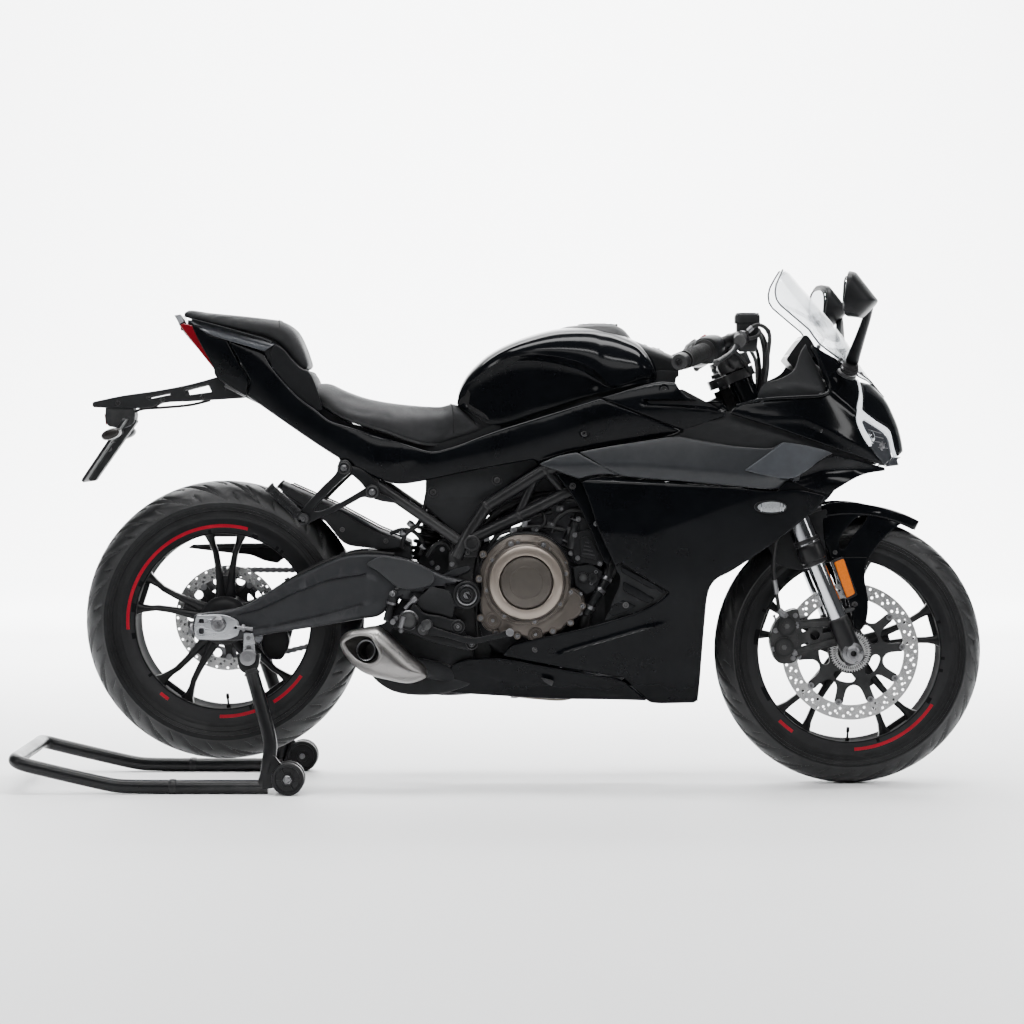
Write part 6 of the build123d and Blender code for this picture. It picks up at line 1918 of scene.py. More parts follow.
# bright rubber-like edge bead on the screen's free edge
bead = SCREEN.at(sa[:, 0], sa[:, 1]) - SCREEN.normal(sa[:, 0], sa[:, 1]) * 1.4
for sd in (1, -1):
    v, f = tube(bead * np.array((1, sd, 1)), 2.0, 10)
    sh.add(v, f if sd > 0 else [tuple(reversed(t)) for t in f], "smoke_lens")
# screws with washers along its foot
for x, z in ((690, 957), (740, 930), (790, 900)):
    q = SCREEN.find([(x, z)])
    p = SCREEN.at(q[:, 0], q[:, 1])[0]
    n_ = SCREEN.normal(q[:, 0], q[:, 1])[0]
    for sd in (1, -1):
        m_ = np.array((1, sd, 1.0))
        bolt(sh, *(p * m_ - n_ * m_ * 0.5), 4.6, 3.0, n_ * m_, "black_bolt")
ob = sh.done("windscreen_sheet", "chassis", "windscreen", smooth=50)

# screen mount: dark strip below the screen joining it to the cowl, and dash pieces
sh = Shape()
ins = round_outline([(622, 930), (640, 956), (662, 984), (670, 982), (676, 974), (690, 950), (676, 930), (655, 906), (641, 911)], 32, 5, 4)
v, f = plate(ins, -71, 71)
sh.add(v, f, "satin_black")
# screen glass of the dash, on its rear-upper face
a, b = np.array((627.0, 0, 934)), np.array((662.0, 0, 981))
n_ = np.array((-(b - a)[2], 0, (b - a)[0]))
n_ /= np.linalg.norm(n_)
quad = [a + n_ * 0.2, b + n_ * 0.2]
rings = []
for off, w in ((0.0, 62), (1.8, 61.5), (2.2, 60)):
    e = 0 if off < 2 else 1.5
    d_ = (b - a) / np.linalg.norm(b - a)
    rings.append([a + d_ * (3 + e) + n_ * off + np.array((0, -w, 0)), b - d_ * (3 + e) + n_ * off + np.array((0, -w, 0)), b - d_ * (3 + e) + n_ * off + np.array((0, w, 0)), a + d_ * (3 + e) + n_ * off + np.array((0, w, 0))])
v, f = loft(rings)
sh.add(v, f, "gloss_screen")
v, f = rod((668, 0, 930), (722, 0, 890), 8, 20)
sh.add(v, f, "frame_black")
for yy in (-60, 60):
    bolt(sh, 690, yy, 952, 4, 3, (0.7, 0, 0.7), "black_bolt")
sh.done("instrument_cluster", "chassis", "instrument_panel", smooth=32, bevel=1.2, bevel_angle=50)

# ------------------------------------------------------------------- mirrors
sh = Shape()
for sd in (-1, 1):
    def put(vf, mat, yaw=0.0):
        v, f = vf
        v = np.array(v, float)
        v[:, 0] += (v[:, 1] + 301) * yaw
        if sd > 0:
            v = v * np.array([1, -1, 1])
            f = [tuple(reversed(q)) for q in f]
        sh.add(v, f, mat)
    # housing as rings across y, from the inner end to the outer, each a side profile that shrinks
    prof = round_outline([(734, 1111), (748, 1109), (795, 1049), (790, 1040), (762, 1012), (727, 1016), (726, 1040)], 8, 5, 4)[::-1]
    mid = np.array((742.0, 1062.0))
    rings = []
    for y, k, dz in ((-236, 0.30, 2), (-240, 0.52, 2), (-250, 0.76, 2), (-270, 0.92, 1), (-300, 1.0, 0), (-330, 0.99, 0), (-350, 0.90, -2), (-362, 0.72, -4), (-367, 0.42, -6)):
        ring = []
        for x, z in prof:
            xx = mid[0] - 8 + (x - mid[0] + 8) * (k if x > mid[0] - 8 else 1.0 * (0.5 + 0.5 * k))
            zz = mid[1] + (z - mid[1]) * k + dz
            ring.append((xx, y, zz))
        rings.append(ring)
    put(loft([r[::-1] for r in rings]), "satin_black", 0.21)
    # mirror glass on the rear face, set in a bezel
    gl = []
    for t in np.linspace(0, 2 * math.pi, 56, endpoint=False):
        cs, sn = math.cos(t), math.sin(t)
        gl.append((-301 + abs(cs) ** 0.7 * math.copysign(1, cs) * 55, 1062 + abs(sn) ** 0.75 * math.copysign(1, sn) * 37))
    gx = [725.6 + 0.05 * (z - 1015) for _, z in gl]
    ring1 = [(x - 0.4, y, z) for x, (y, z) in zip(gx, gl)]
    ring0 = [(x + 6, y, z) for x, (y, z) in zip(gx, gl)]
    put(loft([ring0, ring1]), "mirror_glass", 0.21)
    bz = [(x - 0.6, y, z) for x, (y, z) in zip(gx, gl)]
    put(tube(bz, 2.2, 10, closed=True, hint=(1, 0, 0)), "satin_black", 0.21)
    # stem with a bellows foot
    st = catmull([(757, -114, 908), (761, -122, 928), (766, -160, 955), (771, -210, 985), (776, -262, 1018), (777, -285, 1034)], 8)
    put(tube(st, [15, 14.5, 12.5, 10.5, 9, 9], 24, flat=0.75), "satin_black")
    put(lathe([(12, -8), (19, -7), (20, -3), (18, 0), (19, 3), (16, 6), (17, 9), (13.5, 12), (12, 16)], (755, -122, 911), (0.2, -0.6, 0.75), 32), "rubber")
    put(turned([(20, -10), (22, -8), (22, -4), (20, -2)], (751, -116, 903), (0.35, -0.35, 0.87), 32), "satin_black")
    for dx in (-12, 12):
        put(turned([(4, 0), (4, 3), (3, 3.6)], (751 + dx, -128 + dx * 0.2, 905 - dx * 0.3), (0.2, -0.8, 0.55), 6), "bolt_steel")
sh.done("mirror_pair", "chassis", "mirrors", smooth=40)

# ----------------------------------------------------------------- belly pan
sh = Shape()
belly = [(-234, 216), (-160, 209), (0, 199), (120, 193), (200, 192), (316, 191), (300, 204), (258, 236), (245, 240), (200, 248), (100, 266), (0, 284), (-40, 284), (-80, 280), (-100, 272), (-114, 258), (-122, 248),
         (-160, 232)]
bl = line_dist([(-230, 226), (-60, 262), (0, 236), (200, 222), (310, 196)])
b2 = line_dist([(-70, 262), (-30, 246), (10, 236)])


def belly_lift(x, z):
    d = bl(x, z)
    return -2 + 4.0 * np.exp(-np.abs(d) / 16.0) + 2.0 * np.exp(-(b2(x, z) / 4.0) ** 2)


hull_patch(sh, belly, "gloss_black", belly_lift, thick=5, edge=3.0, res=7.5, radius=4)
# floor of the pan
rings = []
for x in np.linspace(-225, 312, 24):
    z0 = np.interp(x, [-234, 0, 120, 200, 316], [216, 199, 193, 192, 191]) + 1.5
    hull_w = abs(HULL.at(HULL.find([(x, z0 + 3)])[:, 0], np.array([z0 + 3.0]))[0, 1]) - 5
    row = []
    for s in np.linspace(-1, 1, 13):
        row.append((x, s * hull_w, z0 + 2.5 * (abs(s) ** 6) - 5 * (1 - abs(s) ** 2) * (1 if -60 < x < 250 else 0.3) + (3 if abs(s) > 0.9 else 0)))
    row2 = [(x, y, z + 3.2) for _, y, z in reversed(row)]
    rings.append(row + row2)
v, f = loft(rings)
sh.add(v, f, "matte_black")
# sump strip in bronze below the pan's middle
v, f = plate(round_outline([(2, 198), (40, 192), (90, 187), (130, 185), (150, 188), (166, 194), (166, 199)], 32, 4, 4), -62, 62)
sh.add(v, f, "bronze")
for x in (30, 110):
    v, f = turned([(9, 0), (9, -3.6), (7.5, -4.6)], (x, 0, 190), (0, 0, 1), 6)
    sh.add(v, [tuple(reversed(q)) for q in f], "bolt_steel")
v, f = plate(round_outline([(86, 244), (98, 233), (110, 226), (114, 236), (106, 240)], 30, 2, 2), -166, -158)
sh.add(v, f, "matte_black", mirror=True)
sh.done("belly_pan_skins", "chassis", "belly_pan", smooth=38)

# ---------------------------------------------------------- front indicators
sh = Shape()
for sd in (-1, 1):
    q = HULL.find([(578, 612)])
    w = abs(HULL.at(q[:, 0], q[:, 1])[0, 1])
    el = [(578 + 36 * math.cos(t) - 2 * math.sin(t) , 612 + 14.5 * math.sin(t)) for t in np.linspace(0, 2 * math.pi, 56, endpoint=False)]
    fy = lambda x, z: w + 4.5 + (578 - x) * 0.27 + 0 * z
    v, f = skin(el, lambda x, z: fy(x, z) - 3.0, thick=14, edge=2.0, res=6, side=sd, rounded=False)
    sh.add(v, f, "satin_black")
    el2 = [(580 + 31 * math.cos(t), 612 + 11.5 * math.sin(t)) for t in np.linspace(0, 2 * math.pi, 56, endpoint=False)]
    v, f = skin(el2, lambda x, z: fy(x, z) - 1.0 + 3.5 * np.sqrt(np.clip(1 - ((x - 580) / 33.0) ** 2 - ((z - 612) / 13.0) ** 2, 0, 1)), thick=2.4, edge=1.0, res=5, side=sd, rounded=False)
    sh.add(v, f, "indicator_clear")
    for k in range(9):
        x = 557 + k * 6
        v, f = tube([(x, sd * (float(fy(x, 603)) - 0.2), 603), (x, sd * (float(fy(x, 612)) + 1.2), 612), (x, sd * (float(fy(x, 621)) - 0.2), 621)], 1.0, 8)
        sh.add(v, f, "chrome")
material("indicator_clear", (0.20, 0.21, 0.22), rough=0.16, coat=1.0, color_var=0.25, color_scale=260, bump=0.8, bump_scale=520, bump_kind="voronoi")
sh.done("front_indicator_lenses", "chassis", "front_indicators", smooth=40)

# ---------------------------------------------------------------- fuel tank
TANK = np.array([
    # x, top, crease z, half width, recess, bottom z, half width at the bottom
    (-96, 836, 835, 52, 0, 833, 50), (-92, 862, 851, 62, 1, 829, 60), (-76, 895, 874, 76, 2, 820, 74), (-55, 919, 890, 89, 4, 806, 84),
    (-25, 944, 912, 104, 8, 789, 94), (20, 968, 934, 121, 13, 792, 105), (70, 986, 940, 137, 18, 810, 116), (120, 998, 935, 148, 22, 827, 126),
    (175, 1002, 921, 154, 25, 845, 130), (205, 1001, 904, 156, 23, 855, 136), (224, 998, 884, 156, 14, 860, 144), (243, 994, 872, 155.5, 4, 864, 150), (270, 984, 880, 152, 1, 870, 151),
    (300, 969, 894, 146, 1, 875, 145), (322, 948, 896, 135, 1, 879, 134), (334, 926, 898, 122, 0.5, 884, 121), (338, 906, 898, 110, 0, 890, 109)], float)
rows = catmull(TANK, 7)


def tank_half(r):
    _, zt, zc, w, rec, zb, wb = r
    h = zt - zc
    low = catmull([(wb - 10, zb + 1), (wb, zb), (w - rec - 1.0, zb + 0.42 * (zc - zb)), (w - rec, zc - min(18, 0.34 * (zc - zb)) - 1), (w - rec * 0.45, zc - min(7, 0.12 * (zc - zb)) - 0.5), (w - 0.6, zc - 0.4)], 5)
    up_ = catmull([(w, zc + 0.6), (w * 0.975, zc + 0.27 * h), (w * 0.90, zc + 0.55 * h), (w * 0.76, zc + 0.78 * h), (w * 0.55, zc + 0.92 * h), (w * 0.28, zc + 0.985 * h), (0, zt)], 5)
    return np.vstack([low, up_])


rings = []
for r in rows:
    half = tank_half(r)
    right = [(r[0], -y, z) for y, z in half]
    left = [(r[0], y, z) for y, z in half[::-1][1:]]
    rings.append(right + left)
sh = Shape()
v, f = loft(rings, closed_ring=True)
sh.add(v, f, "gloss_black")
# front cover between tank and steering head
cov = catmull(np.array([(250, 990, 44, 50), (262, 985, 66, 64), (285, 976, 82, 74), (320, 962, 88, 72), (355, 949, 86, 62), (378, 939, 80, 50), (388, 930, 68, 36)], float), 6)
rings = []
for x, zt, w, deep in cov:
    sec = catmull([(0, zt), (w * 0.5, zt - 1), (w * 0.86, zt - 5), (w, zt - 13), (w * 1.02, zt - deep * 0.6), (w * 0.99, zt - deep)], 5)
    rings.append([(x, -y, z) for y, z in sec[::-1]] + [(x, y, z) for y, z in sec[1:]])
v, f = loft(rings, closed_ring=True)
sh.add(v, f, "satin_black")
for x, y in ((276, -62), (276, 62), (360, -56), (360, 56), (318, 0)):
    zt = np.interp(x, cov[:, 0], cov[:, 1])
    bolt(sh, x, y, zt - (4.5 if y else 0.4), 5.5, 3.0, (0.36, 0.0, 0.93), "black_bolt")
# key barrel in the cover
v, f = turned([(15, -2), (15, 3), (13, 5), (8, 5), (7.6, 3.4), (2, 3.4)], (345, 0, 950), (0.38, 0, 0.92), 32)
sh.add(v, f, "bolt_steel")
v, f = plate([(340, -1.2), (350, -1.2), (350, 1.2), (340, 1.2)], 953.5, 956.6, plane="xy")
sh.add(v, f, "black_bolt")
# raised ring the lid closes on
v, f = lathe([(78, -16), (70, -6), (62, 0.5), (57, 3.2), (51, 4.4), (47, 4.2), (46, 2.8), (45.6, -4)], (212, 0, 1001.5), (0, 0, 1), 96)
hv = np.array(v)
ex = hv[:, 0] < 212
hv[ex, 0] = 212 + (hv[ex, 0] - 212) * (1 + 0.45 * np.clip((np.hypot(hv[ex, 0] - 212, hv[ex, 1]) - 47) / 31, 0, 1))
hv[:, 2] -= np.clip(hv[:, 0] - 252, 0, 60) * 0.36
sh.add(hv, f, "satin_black")
under = [(-92, 828), (-60, 800), (-24, 774), (100, 799), (213, 836), (340, 870), (378, 868), (384, 905), (338, 905), (235, 885), (110, 850), (-10, 812), (-50, 832)]
both_sides(sh, under, lambda x, z: np.interp(x, [-96, -55, -25, 70, 175, 270, 338, 390], [44, 72, 86, 106, 122, 138, 104, 84]) + 0 * z, "matte_black", thick=3, edge=1, res=12)
# rear rubber between tank and seat
rub = [(-93, 834), (-76, 872), (-66, 856), (-70, 833), (-31, 808), (-24, 797), (-60, 815), (-84, 828)]
v, f = skin(rub, lambda x, z: np.interp(x, [-95, -60, -20], [58, 84, 98]) + 2.0, thick=5, edge=1.6, res=5)
sh.add(v, f, "rubber", mirror=True)
sh.done("fuel_tank_shell", "chassis", "fuel_tank", smooth=34)

sh = Shape()
v, f = lathe([(0.001, 1003.6), (42, 1003.6), (43.6, 1004.4), (44, 1006.5), (43, 1008.6), (40.5, 1009.6), (36, 1009.9), (34.6, 1008.9), (33.6, 1008.9), (32.6, 1010.0), (28, 1010.3), (0.001, 1010.4)], (212, 0, 0), (0, 0, 1), 72)
sh.add(v, f, "bolt_steel")
v, f = turned([(25.5, 991), (26, 996), (26, 1003.6)], (212, 0, 0), (0, 0, 1), 40)
sh.add(v, f, "black_bolt")
for k in range(7):
    a = 2 * math.pi * k / 7 + 0.2
    bolt(sh, 212 + 38.6 * math.cos(a), 38.6 * math.sin(a), 1009.4, 2.6, 1.0, (0, 0, 1), "black_bolt", washer=False)
v, f = plate(round_outline([(192, -10), (232, -10), (232, 10), (192, 10)], 30, 6, 3), 1010.0, 1011.6, plane="xy")
sh.add(v, f, "satin_black")
v, f = rod((254, -14, 1007), (254, 14, 1007), 3, 16)
sh.add(v, f, "bolt_steel")
sh.done("fuel_lid_turned", "fuel_lid", "fuel_cap", smooth=34)


# -------------------------------------------------------------------- pads
def puffed(name, verts, faces, mat, node_name, cap, pressure=4.0, voxel=5.0, hold=None):
    me = bpy.data.meshes.new(name)
    me.from_pydata([tuple(c) for c in np.array(verts) * MM], [], faces)
    me.validate()
    me.update()
    ob_ = bpy.data.objects.new(name, me)
    bpy.context.scene.collection.objects.link(ob_)
    rm = ob_.modifiers.new("voxels", "REMESH")
    rm.mode = "VOXEL"
    rm.voxel_size = voxel * MM
    rm.use_smooth_shade = True
    dg = bpy.context.evaluated_depsgraph_get()
    new = bpy.data.meshes.new_from_object(ob_.evaluated_get(dg))
    ob_.modifiers.clear()
    ob_.data = new
    n = len(new.vertices)
    base = np.empty(n * 3)
    new.vertices.foreach_get("co", base)
    base = base.reshape(-1, 3)
    cl = ob_.modifiers.new("puff", "CLOTH")
    st = cl.settings
    st.quality = 6
    st.mass = 0.3
    st.use_pressure = True
    st.uniform_pressure_force = pressure
    st.tension_stiffness = 30
    st.compression_stiffness = 30
    st.shear_stiffness = 15
    st.bending_stiffness = 6
    st.effector_weights.gravity = 0.0
    cl.point_cache.frame_start = 1
    cl.point_cache.frame_end = 22
    sc_ = bpy.context.scene
    for fr in range(1, 21):
        sc_.frame_set(fr)
        bpy.context.view_layer.update()
    dg = bpy.context.evaluated_depsgraph_get()
    ev = ob_.evaluated_get(dg)
    got = np.empty(n * 3)
    ev.data.vertices.foreach_get("co", got)
    got = got.reshape(-1, 3)
    ob_.modifiers.clear()
    d = got - base
    L = np.linalg.norm(d, axis=1)
    lim = cap * MM * (hold(base / MM) if hold is not None else np.ones(n))
    k = np.where(L > 1e-9, np.minimum(1.0, lim / np.maximum(L, 1e-9)), 0)
    base = base + d * k[:, None]
    new.vertices.foreach_set("co", base.ravel())
    sc_.frame_set(1)
    new.materials.clear()
    new.materials.append(MATS[mat])
    new.polygons.foreach_set("use_smooth", [True] * len(new.polygons))
    sm = ob_.modifiers.new("soften", "SMOOTH")
    sm.factor = 0.5
    sm.iterations = 3
    new.update()
    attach(ob_, "chassis")
    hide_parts(node_name)
    return ob_


def on_surface(ob_, pts, direction, lift=0.2):
    """Points dropped on an object's surface along a direction."""
    dg = bpy.context.evaluated_depsgraph_get()
    ev = ob_.evaluated_get(dg)
    out = []
    d = Vector(direction)
    for p in pts:
        hit, loc, nrm, _ = ev.ray_cast(Vector(tuple(np.array(p, float) * MM)), d)
        if hit:
            out.append(np.array(loc) / MM + np.array(nrm) * lift)
    return np.array(out)


SEAT = catmull(np.array([
    # x, top, bottom, half width, side height of the shoulder below the top
    (-424, 877, 866, 84, 4), (-414, 881, 850, 98, 10), (-384, 876, 832, 112, 18), (-345, 857, 806, 124, 24), (-300, 841, 790, 132, 27), (-250, 831, 774, 134, 27),
    (-200, 825, 755, 128, 25), (-160, 822, 745, 116, 22), (-130, 822, 746, 100, 18), (-108, 829, 752, 90, 15), (-90, 824, 757, 84, 13), (-62, 810, 766, 78, 12), (-38, 797, 775, 72, 9), (-27, 787, 780, 62, 4)], float), 6)
rings = []
for x, zt, zb, w, s_ in SEAT:
    h = zt - zb
    sec = catmull([(0, zt - 1.5), (w * 0.42, zt), (w * 0.72, zt - s_ * 0.16), (w * 0.90, zt - s_ * 0.62), (w * 0.975, zt - s_ * 1.15), (w, zb + h * 0.32), (w * 0.985, zb + h * 0.10), (w * 0.93, zb)], 4)
    rings.append([(x, -y, z) for y, z in sec[::-1]] + [(x, y, z) for y, z in sec[1:]])
v, f = loft(rings)
seat = puffed("rider_seat_pad", v, f, "seat_vinyl", "rider_seat", 6.0, 4.0, 5.0, hold=lambda p: np.clip((p[:, 2] - np.interp(p[:, 0], SEAT[:, 0], SEAT[:, 2])) / 22.0, 0.05, 1))
sh = Shape()
ys = np.linspace(-88, 88, 40)
line = on_surface(seat, [(-112 + 10 * (abs(y) / 88) ** 2, y, 950) for y in ys], (0, 0, -1), 0.3)
v, f = tube(line, 1.4, 10)
sh.add(v, f, "rubber")
# moulded seat base below the pad
rings = []
for x, zt, zb, w, s_ in SEAT[4:-2:3]:
    sec = [(w * 0.95, zb + 3), (w * 0.95, zb - 2), (w * 0.90, zb - 5)]
    rings.append([(x, -y, z) for y, z in sec] + [(x, y, z) for y, z in sec[::-1]])
v, f = loft(rings)
sh.add(v, f, "matte_black")
sh.done("rider_seat_piping", "chassis", (), smooth=40)

PAIRS = [((-698, 1029), (-697, 1026), 40), ((-690, 1035), (-687, 1021), 46), ((-640, 1029), (-650, 1012), 62), ((-560, 1021), (-566, 993), 82), ((-500, 1014), (-512, 978), 91), ((-476, 1010), (-488, 968), 93),
         ((-462, 1002), (-475, 955), 93), ((-450, 990), (-466, 944), 92), ((-440, 973), (-457, 931), 90), ((-430, 949), (-446, 919), 86), ((-422, 925), (-436, 910), 82), ((-418, 913), (-428, 906), 78)]
pr = catmull(np.array([(a[0], a[1], b[0], b[1], w) for a, b, w in PAIRS], float), 6)
rings = []
for tx, tz, bx, bz, w in pr:
    t_, b_ = np.array((tx, 0, tz)), np.array((bx, 0, bz))
    sec = catmull([(0, 1.0), (0.45, 0.99), (0.78, 0.92), (0.94, 0.72), (1.0, 0.42), (0.98, 0.15), (0.90, 0.0)], 4)
    pts = [(b_ + (t_ - b_) * h_ + np.array((0, w * s_, 0))) for s_, h_ in sec]
    rings.append([p * np.array((1, -1, 1)) for p in pts[::-1]] + [p for p in pts[1:]])
v, f = loft(rings)
pill = puffed("pillion_seat_pad", v, f, "seat_vinyl", "pillion_seat", 5.0, 4.0, 5.0, hold=lambda p: np.clip((p[:, 2] - np.interp(p[:, 0], [-697, -566, -488, -457, -428], [1018, 985, 952, 925, 900])) / 22.0, 0.05, 1))
sh = Shape()
line = on_surface(pill, [(-487 + 6 * (abs(y) / 90) ** 2, y, 1100) for y in np.linspace(-92, 92, 40)], (0, 0, -1), 0.3)
v, f = tube(line, 1.4, 10)
sh.add(v, f, "rubber")
sh.done("pillion_seat_piping", "chassis", (), smooth=40)

# ------------------------------------------------------------- side panels
PLAN = np.array([(-702, 52), (-620, 72), (-515, 96), (-400, 126), (-280, 140), (-180, 132), (-100, 124), (0, 136), (100, 158), (200, 174), (300, 182), (400, 181), (490, 177)], float)
spine = line_dist([(-700, 1004), (-620, 962), (-540, 905), (-440, 812), (-340, 745), (-260, 716), (-170, 724), (-60, 736), (80, 770), (215, 812), (380, 850), (470, 838)])
wedge = line_dist([(-345, 712), (-250, 690), (-168, 724)])


SP_X = [-702, -620, -540, -440, -340, -260, -170, -60, 80, 215, 380, 490]
SP_Z = [1003, 958, 902, 812, 747, 712, 708, 728, 764, 806, 832, 838]
SP_K = [0.86, 0.84, 0.78, 0.76, 0.88, 0.98, 1.0, 0.98, 0.96, 0.97, 0.99, 1.0]


def panel_y(x, z):
    d = (z - pchip(SP_X, SP_Z, np.clip(x, -702, 490))) * np.interp(x, SP_X, SP_K)
    base = pchip(PLAN[:, 0], PLAN[:, 1], np.clip(x, -702, 490))
    up_ = np.maximum(d, 0)
    dn = np.maximum(-d, 0)
    w_ = wedge(x, z)
    dent = -4.0 * smooth_step(-w_ / 14.0) * smooth_step((-168 - x) / 40.0) * smooth_step((x + 420) / 80.0)
    return base + 2.0 - 0.05 * up_ - 0.0040 * up_ ** 2 - 0.03 * dn - 0.0026 * dn ** 2 + dent


sh = Shape()
tail_a = [(-678, 1008), (-652, 1000), (-640, 987), (-598, 974), (-590, 958), (-549, 882), (-556, 850), (-612, 884), (-625, 896), (-628, 912), (-655, 962)]
main_b = [(-596, 973), (-515, 947), (-500, 920), (-440, 851), (-400, 821), (-370, 798), (-340, 788), (-260, 765), (-200, 745), (-165, 734), (-145, 731), (-100, 742), (-20, 772), (100, 810), (213, 845),
          (300, 811), (388, 775), (365, 765), (200, 737), (150, 729), (80, 707), (70, 713), (-80, 685), (-160, 668), (-200, 661), (-222, 660), (-250, 666), (-345, 713), (-540, 842), (-554, 851), (-546, 882), (-587, 958)]
front_c = [(216, 846), (340, 880), (376, 878), (386, 861), (415, 841), (472, 838), (487, 824), (480, 806), (392, 776), (303, 811)]
both_sides(sh, tail_a, panel_y, "gloss_black", thick=4.5, edge=2.6, res=7)
both_sides(sh, main_b, panel_y, "gloss_black", thick=7.0, edge=5.0, res=7)
sc1 = line_dist([(296, 843), (410, 843), (474, 838)])
sc2 = line_dist([(300, 828), (440, 821), (484, 812)])


def front_y(x, z):
    pocket = -12.0 * smooth_step(-sc1(x, z) / 5.0) * smooth_step(sc2(x, z) / 10.0) * smooth_step((x - 292) / 30.0)
    return panel_y(x, z) + pocket


both_sides(sh, front_c, front_y, "gloss_black", thick=4.5, edge=2.6, res=5.5)
# bright lower edge of the scoop
for sd in (-1, 1):
    ln = resample([(302, 827), (370, 825), (440, 820), (482, 812)], 6)
    pp = [(x, sd * (float(panel_y(np.array(x), np.array(z))) - 1.0), z) for x, z in ln]
    v, f = tube(pp, 2.4, 12)
    sh.add(v, f, "gloss_black")
    for x, z, r in ((350, 865, 6.5), (180, 770, 7.5)):
        y = float(panel_y(np.array(float(x)), np.array(float(z))))
        v, f = lathe([(r + 4.5, -1.0), (r + 4.2, 0.8), (r + 2.5, 1.0), (r + 1.6, -0.6), (r, -1.5)], (x, sd * y, z), (0, sd, 0), 32)
        sh.add(v, f, "gloss_black")
        bolt(sh, x, sd * (y - 1.5), z, r - 0.5, 3, (0, sd, 0), "black_bolt")
# dark backing that closes the view between panels
both_sides(sh, [(-600, 930), (-430, 836), (-340, 775), (-200, 735), (-150, 722), (-20, 760), (100, 800), (213, 835), (390, 865), (470, 822), (390, 790), (60, 720), (-150, 680), (-240, 690), (-520, 850)],
           lambda x, z: panel_y(x, z) - 9.0, "matte_black", thick=2.0, edge=1.0, res=14)
sh.done("side_panel_skins", "chassis", "side_panels", smooth=38)

# ------------------------------------------------------- covers under the seat
sh = Shape()
stepl = line_dist([(-168, 616), (-100, 622), (-55, 624), (90, 700)])
both_sides(sh, [(-163, 678), (-82, 696), (66, 719), (83, 702), (20, 660), (-30, 626), (-58, 592), (-74, 551), (-94, 549), (-130, 580), (-164, 611)],
           lambda x, z: 97.5 + 3.2 * smooth_step(stepl(x, z) / 3.0) - 0.0 * x, "matte_black", thick=4.5, edge=2.4, res=7, radius=5)
for sd in (-1, 1):
    for x, z, r in ((-147, 642, 7), (-8, 668, 7)):
        v, f = lathe([(r + 5, -0.5), (r + 4.6, 1.6), (r + 2.6, 2.0), (r + 1.2, 0.4)], (x, sd * 100.5, z), (0, sd, 0), 32)
        sh.add(v, f, "matte_black")
        bolt(sh, x, sd * 100.2, z, r - 1, 4, (0, sd, 0), "black_bolt")
sh.done("under_seat_skins", "chassis", "under_seat_covers", smooth=38)

# ------------------------------------------------------------------ tail cowl
sh = Shape()
tl = catmull(np.array([(-686, 1018, 996, 44), (-660, 1015, 974, 52), (-600, 1001, 950, 66), (-540, 986, 915, 82), (-500, 974, 880, 90), (-472, 953, 872, 96), (-445, 922, 860, 100), (-428, 908, 848, 100), (-410, 896, 838, 100), (-398, 872, 832, 100)], float), 5)
rings = []
for x, zt, zb, w in tl:
    sec = [(w * 0.86, zb), (w * 0.95, zb + (zt - zb) * 0.35), (w * 0.97, zt - 6), (w * 0.88, zt)]
    rings.append([(x, -y, z) for y, z in sec] + [(x, y, z) for y, z in sec[::-1]])
v, f = loft(rings)
sh.add(v, f, "matte_black")
# light grey strip along the top of the tail: a painted highlight standing in for the gloss sheen there, not a separate
# paint
strip = [(-684, 1016), (-660, 1012), (-510, 971), (-491, 963), (-514, 948), (-640, 987), (-664, 1002)]
both_sides(sh, strip, lambda x, z: pchip(PLAN[:, 0], PLAN[:, 1], np.clip(x, -702, 490)) + 3.0 - 1.15 * np.maximum(z - np.interp(x, [-684, -510, -490], [1004, 956, 951]), 0), "light_grey", thick=5, edge=2.4, res=6)
# raised shut-line rib on top
rib = resample([(-676, 1018), (-600, 998), (-520, 975), (-497, 966)], 6)
for sd in (-1, 1):
    v, f = tube([(x, sd * (float(np.interp(x, PLAN[:, 0], PLAN[:, 1])) - 3), z) for x, z in rib], 3.2, 12)
    sh.add(v, f, "gloss_black")
# piece between the two pads, in front of the pillion seat
both_sides(sh, [(-502, 950), (-489, 963), (-472, 952), (-454, 930), (-434, 911), (-416, 904), (-406, 886), (-397, 862), (-386, 822), (-400, 817), (-440, 847), (-500, 916)], lambda x, z: np.interp(x, [-500, -440, -386], [94, 106, 117]) + 0 * z, "satin_black", thick=4, edge=2.4, res=6)
sh.done("tail_cowl_skins", "chassis", "tail_cowl", smooth=38)

# ----------------------------------------------------------------- tail light
material("indicator_smoke", (0.012, 0.010, 0.0095), rough=0.2, coat=0.12, spec=0.2, color_var=0.2, bump=0.5, bump_scale=420, bump_kind="voronoi")
material("lamp_grey", (0.22, 0.225, 0.24), rough=0.22, coat=0.8, color_var=0.1, bump=0.3, bump_scale=500, bump_kind="wave")
sh = Shape()
body_p = [(-713, 1026), (-701, 1029), (-690, 1012), (-640, 950), (-610, 915), (-617, 904), (-640, 928), (-703, 1002)]
rings = []
o = round_outline(body_p, 30, 3, 3)
for s_, k in ((-1.0, 0.93), (-0.94, 0.985), (-0.8, 1.0), (-0.4, 1.0), (0.0, 1.0), (0.4, 1.0), (0.8, 1.0), (0.94, 0.985), (1.0, 0.93)):
    c_ = o.mean(0)
    rings.append([(c_[0] + (x - c_[0]) * k, s_ * np.interp(x, [-713, -700, -610], [38, 46, 52]), c_[1] + (z - c_[1]) * k) for x, z in o[::-1]])
v, f = loft(rings)
sh.add(v, f, "gloss_screen")
red = [(-703, 1006), (-694, 1010), (-670, 1004), (-647, 958), (-621, 908), (-617, 900), (-622, 905), (-664, 956)]
both_sides(sh, red, lambda x, z: np.interp(x, [-713, -700, -610], [41, 50, 64]) + 0 * z + 5.0, "red_lens", thick=9, edge=2.2, res=4, radius=2)
